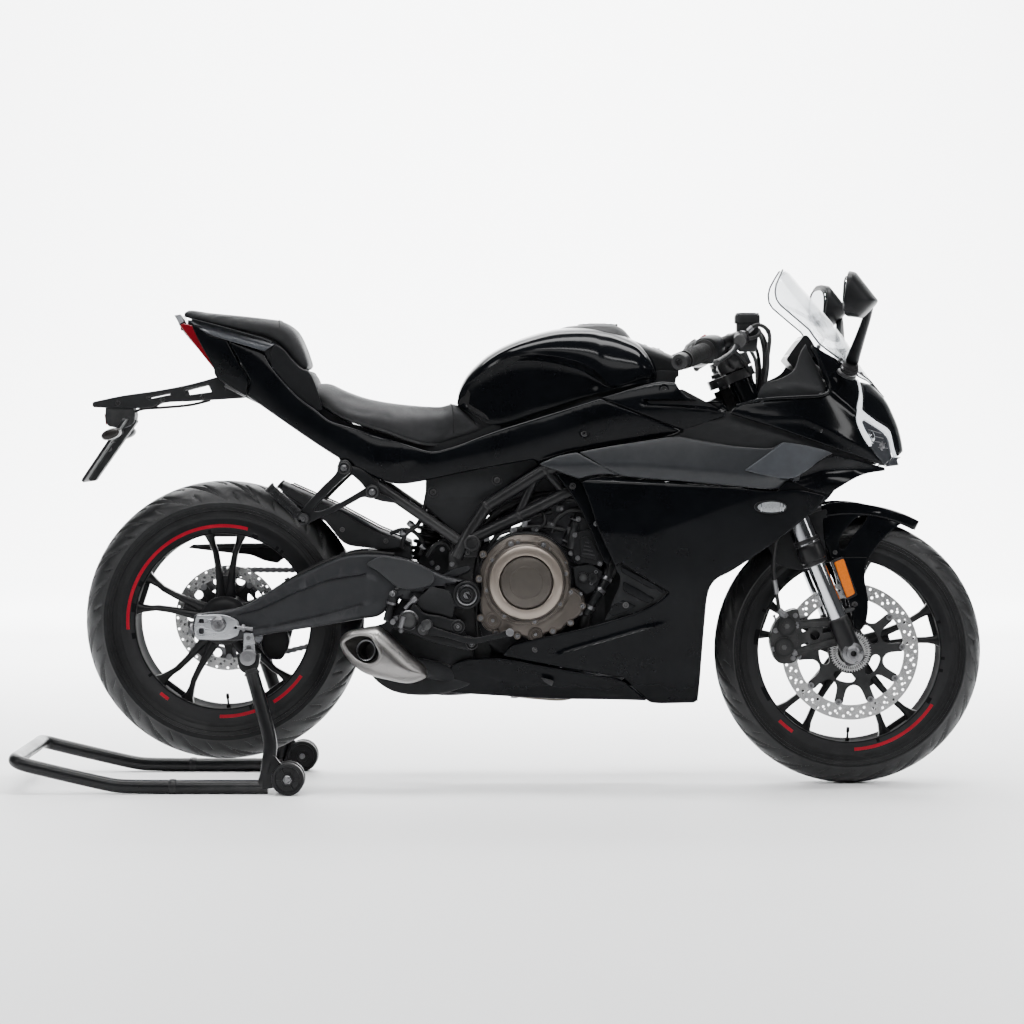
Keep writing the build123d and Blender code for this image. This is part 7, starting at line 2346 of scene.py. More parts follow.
both_sides(sh, [(-716, 1028), (-700, 1030), (-694, 1013), (-704, 1008)], lambda x, z: np.interp(x, [-716, -700], [40, 49]) + 0 * z + 4.0, "lamp_grey", thick=8, edge=2.0, res=4, radius=2)
# lens bars across the back
n_ = np.array((-94.0, 0, -74.0))
n_ /= np.linalg.norm(n_)
d_ = np.array((88.0, 0, -100.0))
d_ /= np.linalg.norm(d_)
for s0, w, r in ((14, 44, 4.2), (104, 42, 3.6)):
    p = np.array((-707.0, 0, 1009)) + d_ * s0 + n_ * 1.0
    pts = [p + np.array((0.0, y, 0)) + d_ * (-3.0 * (1 - abs(y) / w)) for y in np.linspace(-w, w, 17)]
    v, f = tube(pts, r, 16, flat=0.8)
    sh.add(v, f, "red_lens")
for s0 in (34, 50, 66, 82):
    p = np.array((-707.0, 0, 1009)) + d_ * s0 + n_ * 0.4
    v, f = tube([p + np.array((0.0, y, 0)) for y in np.linspace(-38, 38, 9)], 1.4, 10)
    sh.add(v, f, "smoke_lens")
sh.done("tail_light_lenses", "chassis", "tail_light", smooth=38)

# -------------------------------------------------------------- plate bracket
sh = Shape()
side_p = [(-897, 838), (-830, 852), (-760, 862), (-690, 875), (-640, 888), (-620, 894), (-585, 882), (-545, 858), (-560, 849), (-600, 845), (-680, 840), (-750, 835), (-765, 827), (-870, 825), (-896, 826)]
slots = [[(-695, 867), (-642, 878), (-632, 859), (-690, 851)], [(-779, 848), (-727, 859), (-723, 853), (-771, 843)]]
o = round_outline(side_p, 30, 5, 5)
hl = [round_outline(h, 20, 4, 3) for h in slots]
for sd in (-1, 1):
    v, f = skin(o, lambda x, z: 35.0 + 0 * x, thick=10, edge=2.6, res=8, holes=hl, side=sd, rounded=False)
    sh.add(v, f, "matte_black")
    for h in slots:
        hh = round_outline(h, 20, 4, 3)
        v, f = tube([(x, sd * 34.6, z) for x, z in hh], 1.6, 8, closed=True)
        sh.add(v, f, "matte_black")
    for x, z in ((-600, 868), (-655, 848), (-742, 843), (-840, 836)):
        bolt(sh, x, sd * 34, z, 5.5, 3.4, (0, sd, 0), "black_bolt")
# spine between, with ribs
rings = []
for x, zt, zb in ((-897, 838, 826), (-830, 850, 830), (-760, 860, 840), (-690, 873, 850), (-640, 886, 858), (-600, 880, 866), (-560, 864, 858)):
    zb = zt - 8
    rings.append([(x, -25, zb), (x, -25, zt - 3), (x, -14, zt), (x, 14, zt), (x, 25, zt - 3), (x, 25, zb), (x, 14, zb - 2), (x, -14, zb - 2)])
v, f = loft(rings)
sh.add(v, f, "matte_black")
for x in (-620, -670, -710, -760, -800, -850):
    v, f = rod((x, -26, float(np.interp(x, [-897, -640, -600], [832, 879, 872]))), (x, 26, float(np.interp(x, [-897, -640, -600], [832, 879, 872]))), 3.4, 12)
    sh.add(v, f, "black_bolt")
# lamp housing over the plate, with its white lens below
v, f = plate(round_outline([(-868, 829), (-812, 834), (-803, 812), (-806, 791), (-830, 781), (-862, 784), (-868, 800)], 30, 5, 4), -30, 30)
sh.add(v, f, "matte_black")
v, f = plate(round_outline([(-860, 792), (-834, 778), (-812, 786), (-818, 792), (-836, 786), (-856, 798)], 30, 2, 3), -22, 22)
sh.add(v, f, "lamp_grey")
# red reflector, in the tail lamp's lens material with its faint emission: a painted glow, as a reflector is no lamp
v, f = plate(round_outline([(-871, 812), (-866, 812), (-863, 788), (-868, 788)], 30, 1.5, 3), -26, 26)
sh.add(v, f, "red_lens")
# blank plate carrier with a raised rim, two slots
pd = np.array((-93.0, 0, -138.0))
pd /= np.linalg.norm(pd)
pn = np.array((-138.0, 0, 93.0))
pn /= np.linalg.norm(pn)
o_ = np.array((-816.0, 0, 800.0))


def on_plate(v2, h):
    v2 = np.array(v2, float)
    return o_ + v2[:, 1:2] * pd + np.stack([0 * v2[:, 0], v2[:, 0], 0 * v2[:, 0]], 1) + h * pn


rect = round_outline([(-90, 0), (90, 0), (90, 166), (-90, 166)], 30, 9, 5)
holes = [circle(-60, 83, 3.2, 20), circle(60, 83, 3.2, 20)]
v2, f2 = triangulate([rect] + holes)
n = len(v2)
rim = open_edges(f2)
verts = np.vstack([on_plate(v2, 0), on_plate(v2, 5)])
faces = [tuple(t) for t in f2] + [tuple(int(i) + n for i in reversed(t)) for t in f2] + [(b, a, a + n, b + n) for a, b in rim]
sh.add(verts, faces, "matte_black")
rr = np.array(round_outline([(-87, 3), (87, 3), (87, 163), (-87, 163)], 30, 8, 5))
v, f = tube(on_plate(rr, 4.6), 2.2, 10, closed=True, hint=(0.3, 0, 0.9))
sh.add(v, f, "satin_black")
for y in (-30, 0, 30):
    v, f = tube(on_plate(np.array([(y, 8), (y, 158)]), 0.2), 2.6, 10)
    sh.add(v, f, "matte_black")
v, f = tube(on_plate(np.array([(-70, 60), (70, 60)]), 0.4), 2.2, 10)
sh.add(v, f, "matte_black")
# long carrier arm seen from the side
arm = [(-812, 806), (-800, 796), (-893, 664), (-905, 664), (-903, 676)]
v, f = plate(round_outline(arm, 30, 4, 4), -16, 16)
sh.add(v, f, "matte_black")
v, f = rod((-842, -96, 768), (-842, 96, 768), 6, 20)
sh.add(v, f, "matte_black")
for x, z in ((-836, 772), (-862, 735)):
    bolt(sh, x, -17, z, 6, 4, (0, -1, 0), "bolt_steel")
    bolt(sh, x, 17, z, 6, 4, (0, 1, 0), "bolt_steel")
# lead for the lamp
v, f = tube(catmull([(-640, -10, 842), (-680, -16, 832), (-740, -18, 826), (-790, -20, 822), (-815, -18, 812)], 8), 3.0, 12)
sh.add(v, f, "hose_black")
sh.done("plate_bracket_moulded", "chassis", "plate_bracket", smooth=38)

sh = Shape()
for sd in (-1, 1):
    def pod(y_, k_, grow=0.0):
        loop = []
        for q in range(40):
            t = 2 * math.pi * q / 40
            cs, sn = math.cos(t), math.sin(t)
            a_ = (21.5 * k_ + grow) * abs(cs) ** 0.86 * math.copysign(1, cs)
            b_ = (11.6 * k_ + grow) * abs(sn) ** 0.92 * math.copysign(1, sn)
            loop.append((-842 + a_ * 0.94 - b_ * 0.34, sd * y_, 768 + a_ * 0.34 + b_ * 0.94))
        return loop[::-1] if sd < 0 else loop
    v, f = loft([pod(88, 0.34), pod(93, 0.46), pod(98, 0.74), pod(106, 0.94), pod(118, 1.0), pod(136, 1.0), pod(138, 0.97)])
    sh.add(v, f, "satin_black")
    v, f = loft([pod(137.6, 0.96), pod(143, 0.95), pod(147.5, 0.86), pod(150, 0.66), pod(150.8, 0.3)])
    sh.add(v, f, "indicator_smoke")
    v, f = turned([(7.5, 84), (8.6, 88), (8.6, 91), (6.5, 95)], (-842, 0, 768), (0, sd, 0), 24)
    sh.add(v, f, "rubber")
sh.done("rear_indicator_pair", "chassis", "rear_indicators", smooth=38)

# ------------------------------------------------------------------- engine
CC = np.array((55.0, 450.0))
case = [(-44, 474), (-40, 440), (-43, 402), (-38, 372), (-24, 349), (-6, 343), (20, 335), (52, 331), (70, 318), (88, 322), (98, 339), (128, 342), (142, 360), (170, 378), (178, 402),
        (168, 424), (150, 436), (149, 470), (140, 502), (120, 530), (92, 547), (60, 552), (25, 548), (-6, 532), (-30, 506)]


def case_y(x, z):
    r = np.hypot(x - CC[0], z - CC[1])
    dome = 150 + 13.0 * smooth_step((100 - r) / 16.0)
    low_ = 7.0 * smooth_step((z - 320) / 40.0)
    return dome + low_


material("bronze_dark", (0.060, 0.051, 0.044), rough=0.36, metal=0.6, rough_var=0.06, bump=0.25, bump_scale=1500, color_var=0.08)
material("bronze_face", (0.062, 0.054, 0.047), rough=0.40, metal=0.6, rough_var=0.06, bump=0.3, bump_scale=1400, color_var=0.08)
material("bronze_bright", (0.25, 0.215, 0.185), rough=0.33, metal=0.8, rough_var=0.02, bump=0.05, bump_scale=2600, color_var=0.03)
sh = Shape()
v, f = skin(case, case_y, thick=52, edge=5.0, res=8, corner=50)
sh.add(v, f, "bronze")
# gasket flange line and the case half behind it
grow = round_outline(case, 50, 4, 5)
cen = grow.mean(0)
v, f = skin(cen + (grow - cen) * 1.03, lambda x, z: 138.0 + 0 * x, thick=10, edge=2.0, res=12, rounded=False)
sh.add(v, f, "black_bolt")
v, f = skin(cen + (grow - cen) * 1.05, lambda x, z: 131.0 + 0 * x, thick=50, edge=3.0, res=14, rounded=False)
sh.add(v, f, "cast_black")
for x, z in ((-38, 508), (-46, 456), (-43, 372), (-10, 340), (20, 534), (92, 533), (137, 490), (150, 428), (176, 398), (150, 362), (112, 344), (36, 334)):
    d = np.array((x, z)) - CC
    v, f = turned([(8.4, -34), (8.4, -5), (7.6, -1), (6.8, 0)], (x, -158, z), (0, -1, 0), 28)
    sh.add(v, f, "bronze")
    bolt(sh, x, -158, z, 5.0, 6, (0, -1, 0), "bolt_steel")
# stiffening ribs of the case
for a in range(200, 350, 18):
    t = math.radians(a)
    p0, p1 = CC + 90 * np.array((math.cos(t), math.sin(t))), CC + 104 * np.array((math.cos(t), math.sin(t)))
    v, f = tube([(p0[0], -154, p0[1]), (p1[0], -148, p1[1])], 2.4, 10)
    sh.add(v, f, "bronze")
# main castings behind
body = [(-56, 338), (-60, 400), (-56, 478), (-42, 526), (28, 552), (60, 585), (105, 640), (160, 652), (224, 630), (262, 548), (232, 500), (214, 468), (226, 400), (222, 332), (160, 294), (60, 286), (0, 292)]
v, f = plate(round_outline(body, 32, 10, 6), -104, 74)
sh.add(v, f, "cast_black")
v, f = plate(round_outline([(-40, 320), (210, 320), (200, 296), (160, 240), (120, 214), (20, 214), (-20, 250)], 32, 10, 6), -76, 70)
sh.add(v, f, "cast_black")
# cylinder and head leaning forward, with seams and bolts
ax = np.array((0.42, 0.0, 0.907))
ax2 = np.array((0.907, 0.0, -0.42))
base = np.array((140.0, 0, 470.0))
for h0, h1, w0, w1, ya, yb, mt in ((0, 58, -34, 72, -108, 92, "cast_black"), (58, 62, -38, 76, -113, 97, "cast_alloy"), (62, 108, -36, 74, -112, 96, "cast_black"), (108, 112, -40, 78, -117, 101, "bolt_steel"), (112, 146, -34, 70, -112, 96, "cast_black")):
    rings = []
    for h in (h0, h0 + 0.8, h1 - 0.8, h1):
        e = 0.8 if h in (h0, h1) else 0
        o = fixed(round_outline([(w0 + e, ya + e), (w1 - e, ya + e), (w1 - e, yb - e), (w0 + e, yb - e)], 30, 10, 5), 96)
        rings.append([tuple(base + ax * h + ax2 * a + np.array((0, b, 0))) for a, b in o])
    v, f = loft([r[::-1] for r in rings])
    sh.add(v, f, mt)
for h in (14, 26, 38, 50, 74, 86, 98):
    p0, p1 = base + ax * h + ax2 * -30, base + ax * h + ax2 * 68
    v, f = tube([(p0[0], -109.5, p0[2]), (p1[0], -109.5, p1[2])], 2.2, 10)
    sh.add(v, f, "cast_black")
# flat cover plate on the side of the cylinder, seen behind the clutch cover
pl_ = [(150, 500), (146, 530), (168, 590), (200, 584), (214, 540), (196, 492), (170, 484)]
v, f = skin(pl_, lambda x, z: 122.0 + 0 * x, thick=12, edge=3, res=8)
sh.add(v, f, "matte_black")
v, f = skin([(160, 440), (156, 480), (196, 490), (222, 470), (206, 430), (184, 420)], lambda x, z: 126.0 + 0 * x, thick=20, edge=3, res=8)
sh.add(v, f, "matte_black")
for x, z in ((152, 510), (168, 584), (200, 578), (208, 535), (192, 498), (196, 445), (192, 400), (206, 470)):
    bolt(sh, x, -122, z, 5.2, 6, (0, -1, 0), "bolt_steel")
for x, z in ((60, 585), (95, 615), (150, 640), (214, 622), (245, 560)):
    bolt(sh, x, -105, z, 6, 6, (0, -1, 0), "bolt_steel")
# cylinder side block with a sunk panel, studs and a sensor
blk = [(164, 556), (192, 562), (226, 512), (219, 482), (160, 494), (154, 520)]
v, f = skin(blk, lambda x, z: 133.0 + 0 * x, thick=14, edge=2.6, res=6, corner=50)
sh.add(v, f, "cast_black")
v, f = skin([(172, 544), (188, 548), (211, 512), (207, 496), (172, 504)], lambda x, z: 135.5 + 0 * x, thick=4, edge=1.6, res=6, corner=50)
sh.add(v, f, "satin_black")
for k in range(4):
    v, f = rod((176 + 2 * k, -136, 511 + 8 * k), (203 - 4 * k, -136, 506 + 9 * k), 1.6, 8)
    sh.add(v, f, "cast_black")
for x, z in ((160, 550), (220, 516), (214, 488), (166, 500)):
    bolt(sh, x, -133, z, 5, 5, (0, -1, 0), "bolt_steel")
v, f = turned([(9, 0), (10, 3), (10, 40), (8.4, 43), (8.4, 56), (6, 58)], (152, -124, 520), (0.18, 0, 1), 28)
sh.add(v, f, "satin_black")
v, f = turned([(7, 0), (8, 3), (8, 34), (6, 37)], (232, -122, 452), (0.25, 0, 1), 24)
sh.add(v, f, "satin_black")
for x, z in ((200, 456), (178, 458)):
    v, f = turned([(11, -4), (11, 3), (9, 5), (5, 5.4)], (x, -128, z), (0, -1, 0), 28)
    sh.add(v, f, "satin_black")
# oil filler and drain bosses
for x, z, r, y0 in ((-17, 367, 20, 150), (75, 337, 15, 150)):
    v, f = turned([(r + 5, -14), (r + 4, 0), (r + 1, 1.5), (r + 0.5, 6), (r - 1, 8), (r - 4, 8), (r - 5, 6), (r - 8, 6), (r - 9, 9), (3, 9.5)], (x, -y0, z), (0, -1, 0), 40)
    sh.add(v, f, "bronze_dark")
    bolt(sh, x, -y0 - 9, z, 5, 3, (0, -1, 0), "bolt_steel", washer=False)
# starter / water pump housing
v, f = turned([(36, -50), (36, -4), (34, 0), (29, 1.5), (28, 8), (26.5, 10), (24, 10.5), (3, 11.2)], (147, -140, 402), (0, -1, 0), 48)
sh.add(v, f, "bronze_dark")
for a in (40, 140, 200, 320):
    t = math.radians(a)
    bolt(sh, 147 + 32 * math.cos(t), -141, 402 + 32 * math.sin(t), 4.6, 6, (0, -1, 0), "bolt_steel")
# left-hand side: alternator bulge and front sprocket cover
v, f = turned([(76, -46), (76, -2), (72, 0)], (140, 118, 430), (0, 1, 0), 72)
sh.add(v, f, "cast_black")
for k in range(9):
    t = 2 * math.pi * k / 9
    bolt(sh, 140 + 71 * math.cos(t), 117, 430 + 71 * math.sin(t), 5, 6, (0, 1, 0), "bolt_steel")
v, f = skin([(-52, 360), (-50, 450), (-10, 480), (40, 478), (66, 440), (60, 370), (20, 344), (-30, 344)], lambda x, z: 108.0 + 0 * x, thick=14, edge=5, res=9, side=1)
sh.add(v, f, "cast_black")
for x, z in ((-40, 370), (-38, 446), (24, 466), (52, 380)):
    bolt(sh, x, 107, z, 5, 6, (0, 1, 0), "bolt_steel")
# coolant pipe with silver clamps, and hoses
p = catmull([(232, -118, 462), (222, -124, 440), (208, -128, 420), (196, -130, 400), (184, -128, 378)], 8)
v, f = tube(p, 9.5, 20)
sh.add(v, f, "satin_black")
for q in (3, 12, 26):
    d = p[q + 1] - p[q]
    v, f = lathe([(9.5, -4), (12, -4), (12.4, 0), (12, 4), (9.5, 4)], p[q], d, 28)
    sh.add(v, f, "bolt_steel")
for pts, r, m_ in (
        ([(232, -112, 462), (250, -112, 500), (268, -104, 540), (300, -96, 560), (352, -90, 570)], 14, "hose_black"),
        ([(184, -126, 378), (180, -120, 352), (200, -112, 330), (250, -100, 330), (350, -90, 420)], 13, "hose_black"),
        ([(-46, -96, 520), (-30, -108, 552), (20, -112, 572), (70, -110, 590), (110, -104, 600)], 6, "hose_black"),
        ([(-30, -112, 508), (-8, -118, 548), (30, -120, 562), (90, -116, 568), (138, -112, 560)], 5, "hose_black"),
        ([(10, -104, 560), (36, -108, 596), (80, -104, 622), (130, -100, 628), (180, -96, 622)], 8, "hose_black"),
        ([(110, -112, 556), (122, -118, 585), (150, -116, 602), (190, -112, 600), (230, -108, 580)], 5, "hose_black"),
        ([(-55, -70, 545), (0, -80, 600), (60, -84, 628), (120, -80, 640)], 9, "hose_black"),
        ([(40, -118, 552), (52, -120, 575), (44, -112, 600)], 4, "hose_black"),
        ([(80, -117, 560), (96, -120, 578), (90, -112, 602)], 3.5, "hose_black"),
        ([(-50, -120, 330), (-52, -124, 390), (-46, -124, 440), (-50, -116, 520)], 4, "hose_black")):
    v, f = tube(catmull(pts, 8), r, 16)
    sh.add(v, f, m_)
for x, z, dx, dz in ((28, 560, 14, 10), (52, 572, 12, 12), (74, 560, 16, 10), (-18, 556, 12, 14), (108, 572, 14, 12), (-30, 540, 12, 10), (150, 560, 12, 16), (62, 600, 18, 12), (128, 606, 16, 12)):
    j = float(rng.uniform(-3, 3))
    o = round_outline([(x - dx / 2, z - dz / 2), (x + dx / 2, z - dz / 2 + j), (x + dx / 2, z + dz / 2 + j), (x - dx / 2, z + dz / 2)], 30, 2.5, 2.5)
    v, f = plate(o, -126, -106)
    sh.add(v, f, "matte_black" if (x + z) % 3 else "cast_alloy")
    bolt(sh, x + dx * 0.2, -125.5, z, 3.2, 3.6, (0, -1, 0), "bolt_steel")
# throttle bodies and intake rubbers below the tank
for y in (-45, 45):
    v, f = turned([(30, 0), (31, 6), (28, 8), (28, 34), (31, 36), (31, 44), (27, 48), (27, 70), (30, 76)], (150, y, 632), (-0.25, 0, 1), 40)
    sh.add(v, f, "matte_black")
sh.done("engine_castings", "chassis", "engine_block", smooth=34)

sh = Shape()
# clutch cover: bright ring, darker bare inner face with plain concentric steps
v, f = lathe([(92, -4), (91, 2), (88, 4), (85, 4), (84, 8), (82.5, 16), (79.5, 19.5), (78.4, 20)], (55, -165, 450), (0, -1, 0), 128)
sh.add(v, f, "bronze")
v, f = lathe([(78.4, 20), (77.5, 22.6), (75, 24), (64, 25.2), (60, 25.0), (58.6, 24)], (55, -165, 450), (0, -1, 0), 128)
sh.add(v, f, "bronze_bright")
v, f = lathe([(58.6, 24), (57.6, 20.5), (56.2, 19.6), (55, 20.4), (54.2, 23.4), (52.8, 24.4)], (55, -165, 450), (0, -1, 0), 128)
sh.add(v, f, "bronze_dark")
v, f = lathe([(52.8, 24.4), (50, 25.4), (36, 27.4), (35, 26.8), (34, 27.6), (18, 28.8), (0.001, 29.0)], (55, -165, 450), (0, -1, 0), 128)
sh.add(v, f, "bronze_face")
# eight bosses round the ring's rim, each with a bolt
for a in range(0, 360, 45):
    t = math.radians(a + 12)
    x, z = 55 + 86.5 * math.cos(t), 450 + 86.5 * math.sin(t)
    v, f = turned([(7.5, -6), (7.5, 4), (6.6, 5.6)], (x, -165, z), (0, -1, 0), 24)
    sh.add(v, f, "bronze")
    bolt(sh, x, -170, z, 4.2, 4.5, (0, -1, 0), "bolt_steel")
# lugs at the top
for x, z, a in ((22, 530, 105), (92, 528, 70)):
    t = math.radians(a)
    o = [(x - 13, z - 24), (x + 13, z - 24), (x + 11, z + 8), (x, z + 15), (x - 11, z + 8)]
    v, f = skin(o, lambda x_, z_: 176.0 + 0 * x_, thick=20, edge=3, res=6, corner=28)
    sh.add(v, f, "bronze")
    bolt(sh, x, -176, z + 2, 5.4, 5, (0, -1, 0), "bolt_steel")
v, f = lathe([(66, -2), (66, 20), (64, 27), (60, 31), (52, 33), (50, 31.5), (48, 31.5), (46, 33.5), (20, 38), (0.001, 39)], (140, 118, 430), (0, 1, 0), 96)
sh.add(v, f, "bronze")
for k in range(6):
    t = 2 * math.pi * k / 6 + 0.3
    bolt(sh, 140 + 57 * math.cos(t), 148, 430 + 57 * math.sin(t), 5, 5, (0, 1, 0), "bolt_steel")
sh.done("engine_cover_pair", "chassis", "engine_covers", smooth=30)

# ------------------------------------------------------------------- inner parts
sh = Shape()
# airbox and inner ducting that fill the dark space below the tank and the seat
rings = []
for x, zl, zh, w in ((-92, 670, 800, 60), (-60, 606, 805, 72), (0, 578, 818, 78), (100, 590, 838, 86), (200, 600, 850, 94), (300, 650, 872, 98), (360, 720, 872, 92), (420, 760, 850, 66)):
    o = round_outline([(-w, zl), (w, zl), (w, zh), (-w, zh)], 30, 22, 8)
    rings.append([(x, p[0], p[1]) for p in fixed(o, 60)])
v, f = loft([r[::-1] for r in rings])
sh.add(v, f, "matte_black")
# tray below the seat and battery box
rings = []
for x, zl, zh, w in ((-560, 880, 905, 60), (-430, 805, 850, 80), (-330, 735, 790, 100), (-240, 705, 765, 108), (-150, 690, 742, 100), (-60, 705, 770, 96), (0, 725, 795, 96)):
    rings.append([(x, -w, zl), (x, w, zl), (x, w, zh), (x, -w, zh)])
v, f = loft([r[::-1] for r in rings])
sh.add(v, f, "matte_black")
# dark liner behind the coolant pipe, and the box below the engine that the silencer sits against
for sd in (-1, 1):
    v, f = skin([(186, 520), (262, 512), (268, 430), (250, 356), (205, 340), (180, 420)], lambda x, z: 98.0 + 0 * x, thick=4, edge=1.6, res=12, side=sd)
    sh.add(v, f, "matte_black")
bx = [(-248, 268), (-228, 212), (-120, 200), (-40, 205), (-20, 300), (-70, 400), (-120, 432), (-176, 430), (-216, 410), (-240, 362)]
v, f = plate(round_outline(bx, 30, 12, 6), -94, 64)
sh.add(v, f, "matte_black")
v, f = skin([(-282, 262), (-278, 244), (-232, 211), (-140, 204), (-60, 226), (-60, 300), (-88, 356), (-120, 400), (-172, 426), (-214, 412), (-238, 366), (-276, 350), (-284, 300)], lambda x, z: 126.0 + 0 * x, thick=30, edge=6, res=9, corner=50)
sh.add(v, f, "matte_black")
for x, z in ((-150, 392), (-212, 380), (-120, 330)):
    bolt(sh, x, -126, z, 5, 4, (0, -1, 0), "bolt_steel")
for sd in (-1, 1):
    v, f = skin([(-172, 512), (-144, 530), (-114, 544), (-98, 524), (-94, 466), (-150, 458), (-182, 478)], lambda x, z: 66.0 + 0 * x, thick=4, edge=1.6, res=9, side=sd)
    sh.add(v, f, "matte_black")
    v, f = skin([(-76, 540), (-34, 552), (-22, 520), (-28, 466), (-64, 458)], lambda x, z: 84.0 + 0 * x, thick=4, edge=1.6, res=9, side=sd)
    sh.add(v, f, "matte_black")
    bolt(sh, -128, sd * 66, 516, 5, 4, (0, sd, 0), "bolt_steel")
    bolt(sh, -150, sd * 66, 486, 5, 4, (0, sd, 0), "bolt_steel")
# inner side plates between engine and fairing
for sd in (-1, 1):
    v, f = skin([(118, 684), (170, 668), (196, 620), (216, 560), (238, 505), (234, 484), (222, 492), (176, 596), (150, 640)], lambda x, z: 150.0 + 0 * x, thick=5, edge=2.2, res=8, side=sd)
    sh.add(v, f, "gloss_black")
    v, f = skin([(210, 560), (255, 500), (330, 560), (330, 640), (190, 670)], lambda x, z: 132.0 + 0 * x, thick=4, edge=2, res=10, side=sd)
    sh.add(v, f, "matte_black")
    bolt(sh, 155, sd * 150, 656, 6.5, 4, (0, sd, 0), "black_bolt")
    bolt(sh, 205, sd * 150, 575, 5, 4, (0, sd, 0), "bolt_steel")
    # link bar and rear mount seen between the arm and the engine
    v, f = skin([(-158, 447), (-154, 441), (-140, 443), (-70, 470), (-62, 478), (-70, 483), (-90, 480)], lambda x, z: 116.0 + 0 * x, thick=10, edge=3, res=5, side=sd)
    sh.add(v, f, "arm_grey")
    v, f = skin([(-112, 508), (-70, 470), (-50, 430), (-40, 400), (-46, 360), (-66, 330), (-100, 330), (-118, 380), (-110, 440)], lambda x, z: 110.0 + 0 * x, thick=6, edge=2.5, res=8, side=sd)
    sh.add(v, f, "matte_black")
    for x, z in ((-106, 486), (-137, 478), (-124, 392), (-108, 440)):
        bolt(sh, x, sd * 112, z, 5, 5, (0, sd, 0), "bolt_steel")
    # round tube end of the frame
    v, f = lathe([(12, 0), (16.5, 0), (17.5, 1.2), (17.5, 5), (16, 6.4), (12, 6.4), (11, 4.4), (0.001, 4.0)], (-62, sd * 134, 532), (0, sd, 0), 40)
    sh.add(v, f, "frame_black")
for a, b, r in (((-66, 540), (40, 590), 15), ((40, 590), (140, 640), 15), ((-65, 560), (-30, 612), 15)):
    pass
v, f = plate(round_outline([(-150, 336), (-60, 336), (-20, 300), (-40, 250), (-100, 246), (-150, 262), (-166, 300)], 30, 8, 6), -58, 58)
sh.add(v, f, "matte_black")
# wiring and hoses in the gap behind the frame
for pts, r in (([(-216, -84, 520), (-208, -90, 548), (-180, -88, 572), (-168, -80, 600), (-160, -76, 640)], 5), ([(-240, -80, 552), (-215, -88, 560), (-190, -86, 556), (-170, -80, 530), (-176, -78, 505)], 4.5),
               ([(-160, -90, 500), (-140, -96, 528), (-120, -94, 530), (-104, -90, 508)], 5), ([(-96, -104, 548), (-104, -108, 520), (-100, -108, 500)], 3.5)):
    v, f = tube(catmull(pts, 8), r, 12)
    sh.add(v, f, "hose_black")
for x, z in ((-212, 552), (-196, 572), (-168, 520)):
    v, f = turned([(8, -5), (8.6, -3), (8.6, 3), (8, 5)], (x, -88, z), (0.6, -0.3, 0.7), 24)
    sh.add(v, f, "bolt_steel")
sh.done("inner_structure", "chassis", (), smooth=36)

# -------------------------------------------------------------------- radiator
sh = Shape()
nrm = np.array((math.cos(RK), 0, math.sin(RK)))
upv = np.array((-math.sin(RK), 0, math.cos(RK)))
rc = np.array((402.0, 0, 545.0))


def rad(y, h, d):
    return rc + np.array((0.0, y, 0)) + upv * h + nrm * d


def slab3(y0, y1, h0, h1, d0, d1, mat, e=1.2):
    o = round_outline([(y0, h0), (y1, h0), (y1, h1), (y0, h1)], 30, min(6, 0.3 * min(y1 - y0, h1 - h0)), 5)
    c_ = o.mean(0)
    rings = []
    for d, k in ((d0, 1), (d0 + 0.01, 0), (d1 - 0.01, 0), (d1, 1)):
        sc_ = 1 - k * e / max(20.0, (y1 - y0) / 2)
        rings.append([tuple(rad(c_[0] + (a - c_[0]) * sc_, c_[1] + (b - c_[1]) * sc_, d)) for a, b in o])
    v, f = loft(rings)
    sh.add(v, f, mat)


slab3(-112, 112, -100, 100, -9, 9, "matte_black")
slab3(-145, -112, -106, 106, -15, 15, "satin_black")
slab3(112, 145, -106, 106, -15, 15, "satin_black")
slab3(-118, 118, 100, 109, -14, 14, "satin_black")
slab3(-118, 118, -109, -100, -14, 14, "satin_black")
for h in np.arange(-96, 97, 8.0):
    v, f = loft([[tuple(rad(y, h - 1.1, 9)), tuple(rad(y, h - 1.1, 12.5)), tuple(rad(y, h + 1.1, 12.5)), tuple(rad(y, h + 1.1, 9))] for y in (-112, 112)])
    sh.add(v, f, "cast_alloy")
    zig = [rad(y, h + 4 + (2.6 if k % 2 else -2.6), 10.6) for k, y in enumerate(np.arange(-110, 111, 4.0))]
    if h < 95:
        a_ = np.array(zig)
        b_ = a_ - nrm * 2.5
        n = len(a_)
        sh.add(np.vstack([a_, b_]), [(i, i + 1, n + i + 1, n + i) for i in range(n - 1)], "fin_plain")
for sd in (-1, 1):
    v, f = turned([(15, 0), (15, 18), (17, 20), (17, 25), (14, 27)], rad(sd * 130, 80, -10), -nrm, 28)
    sh.add(v, f, "satin_black")
v, f = turned([(20, 0), (21, 6), (19, 10), (8, 11)], rad(128, 108, 0), upv, 28)
sh.add(v, f, "bolt_steel")
# fan behind
v, f = lathe([(86, -12), (92, -12), (92, -30), (86, -30)], rc, nrm, 64, closed=True)
sh.add(v, f, "matte_black")
for k in range(7):
    t = 2 * math.pi * k / 7
    a = rad(18 * math.cos(t), 18 * math.sin(t), -20)
    b = rad(82 * math.cos(t + 0.35), 82 * math.sin(t + 0.35), -22)
    v, f = tube([a, (a + b) / 2 + upv * 2, b], [8, 15, 12], 12, flat=0.25, hint=tuple(nrm))
    sh.add(v, f, "matte_black")
v, f = turned([(24, -30), (24, -14), (20, -11)], rc, nrm, 32)
sh.add(v, f, "matte_black")
sh.done("radiator_core", "chassis", "radiator", smooth=34)

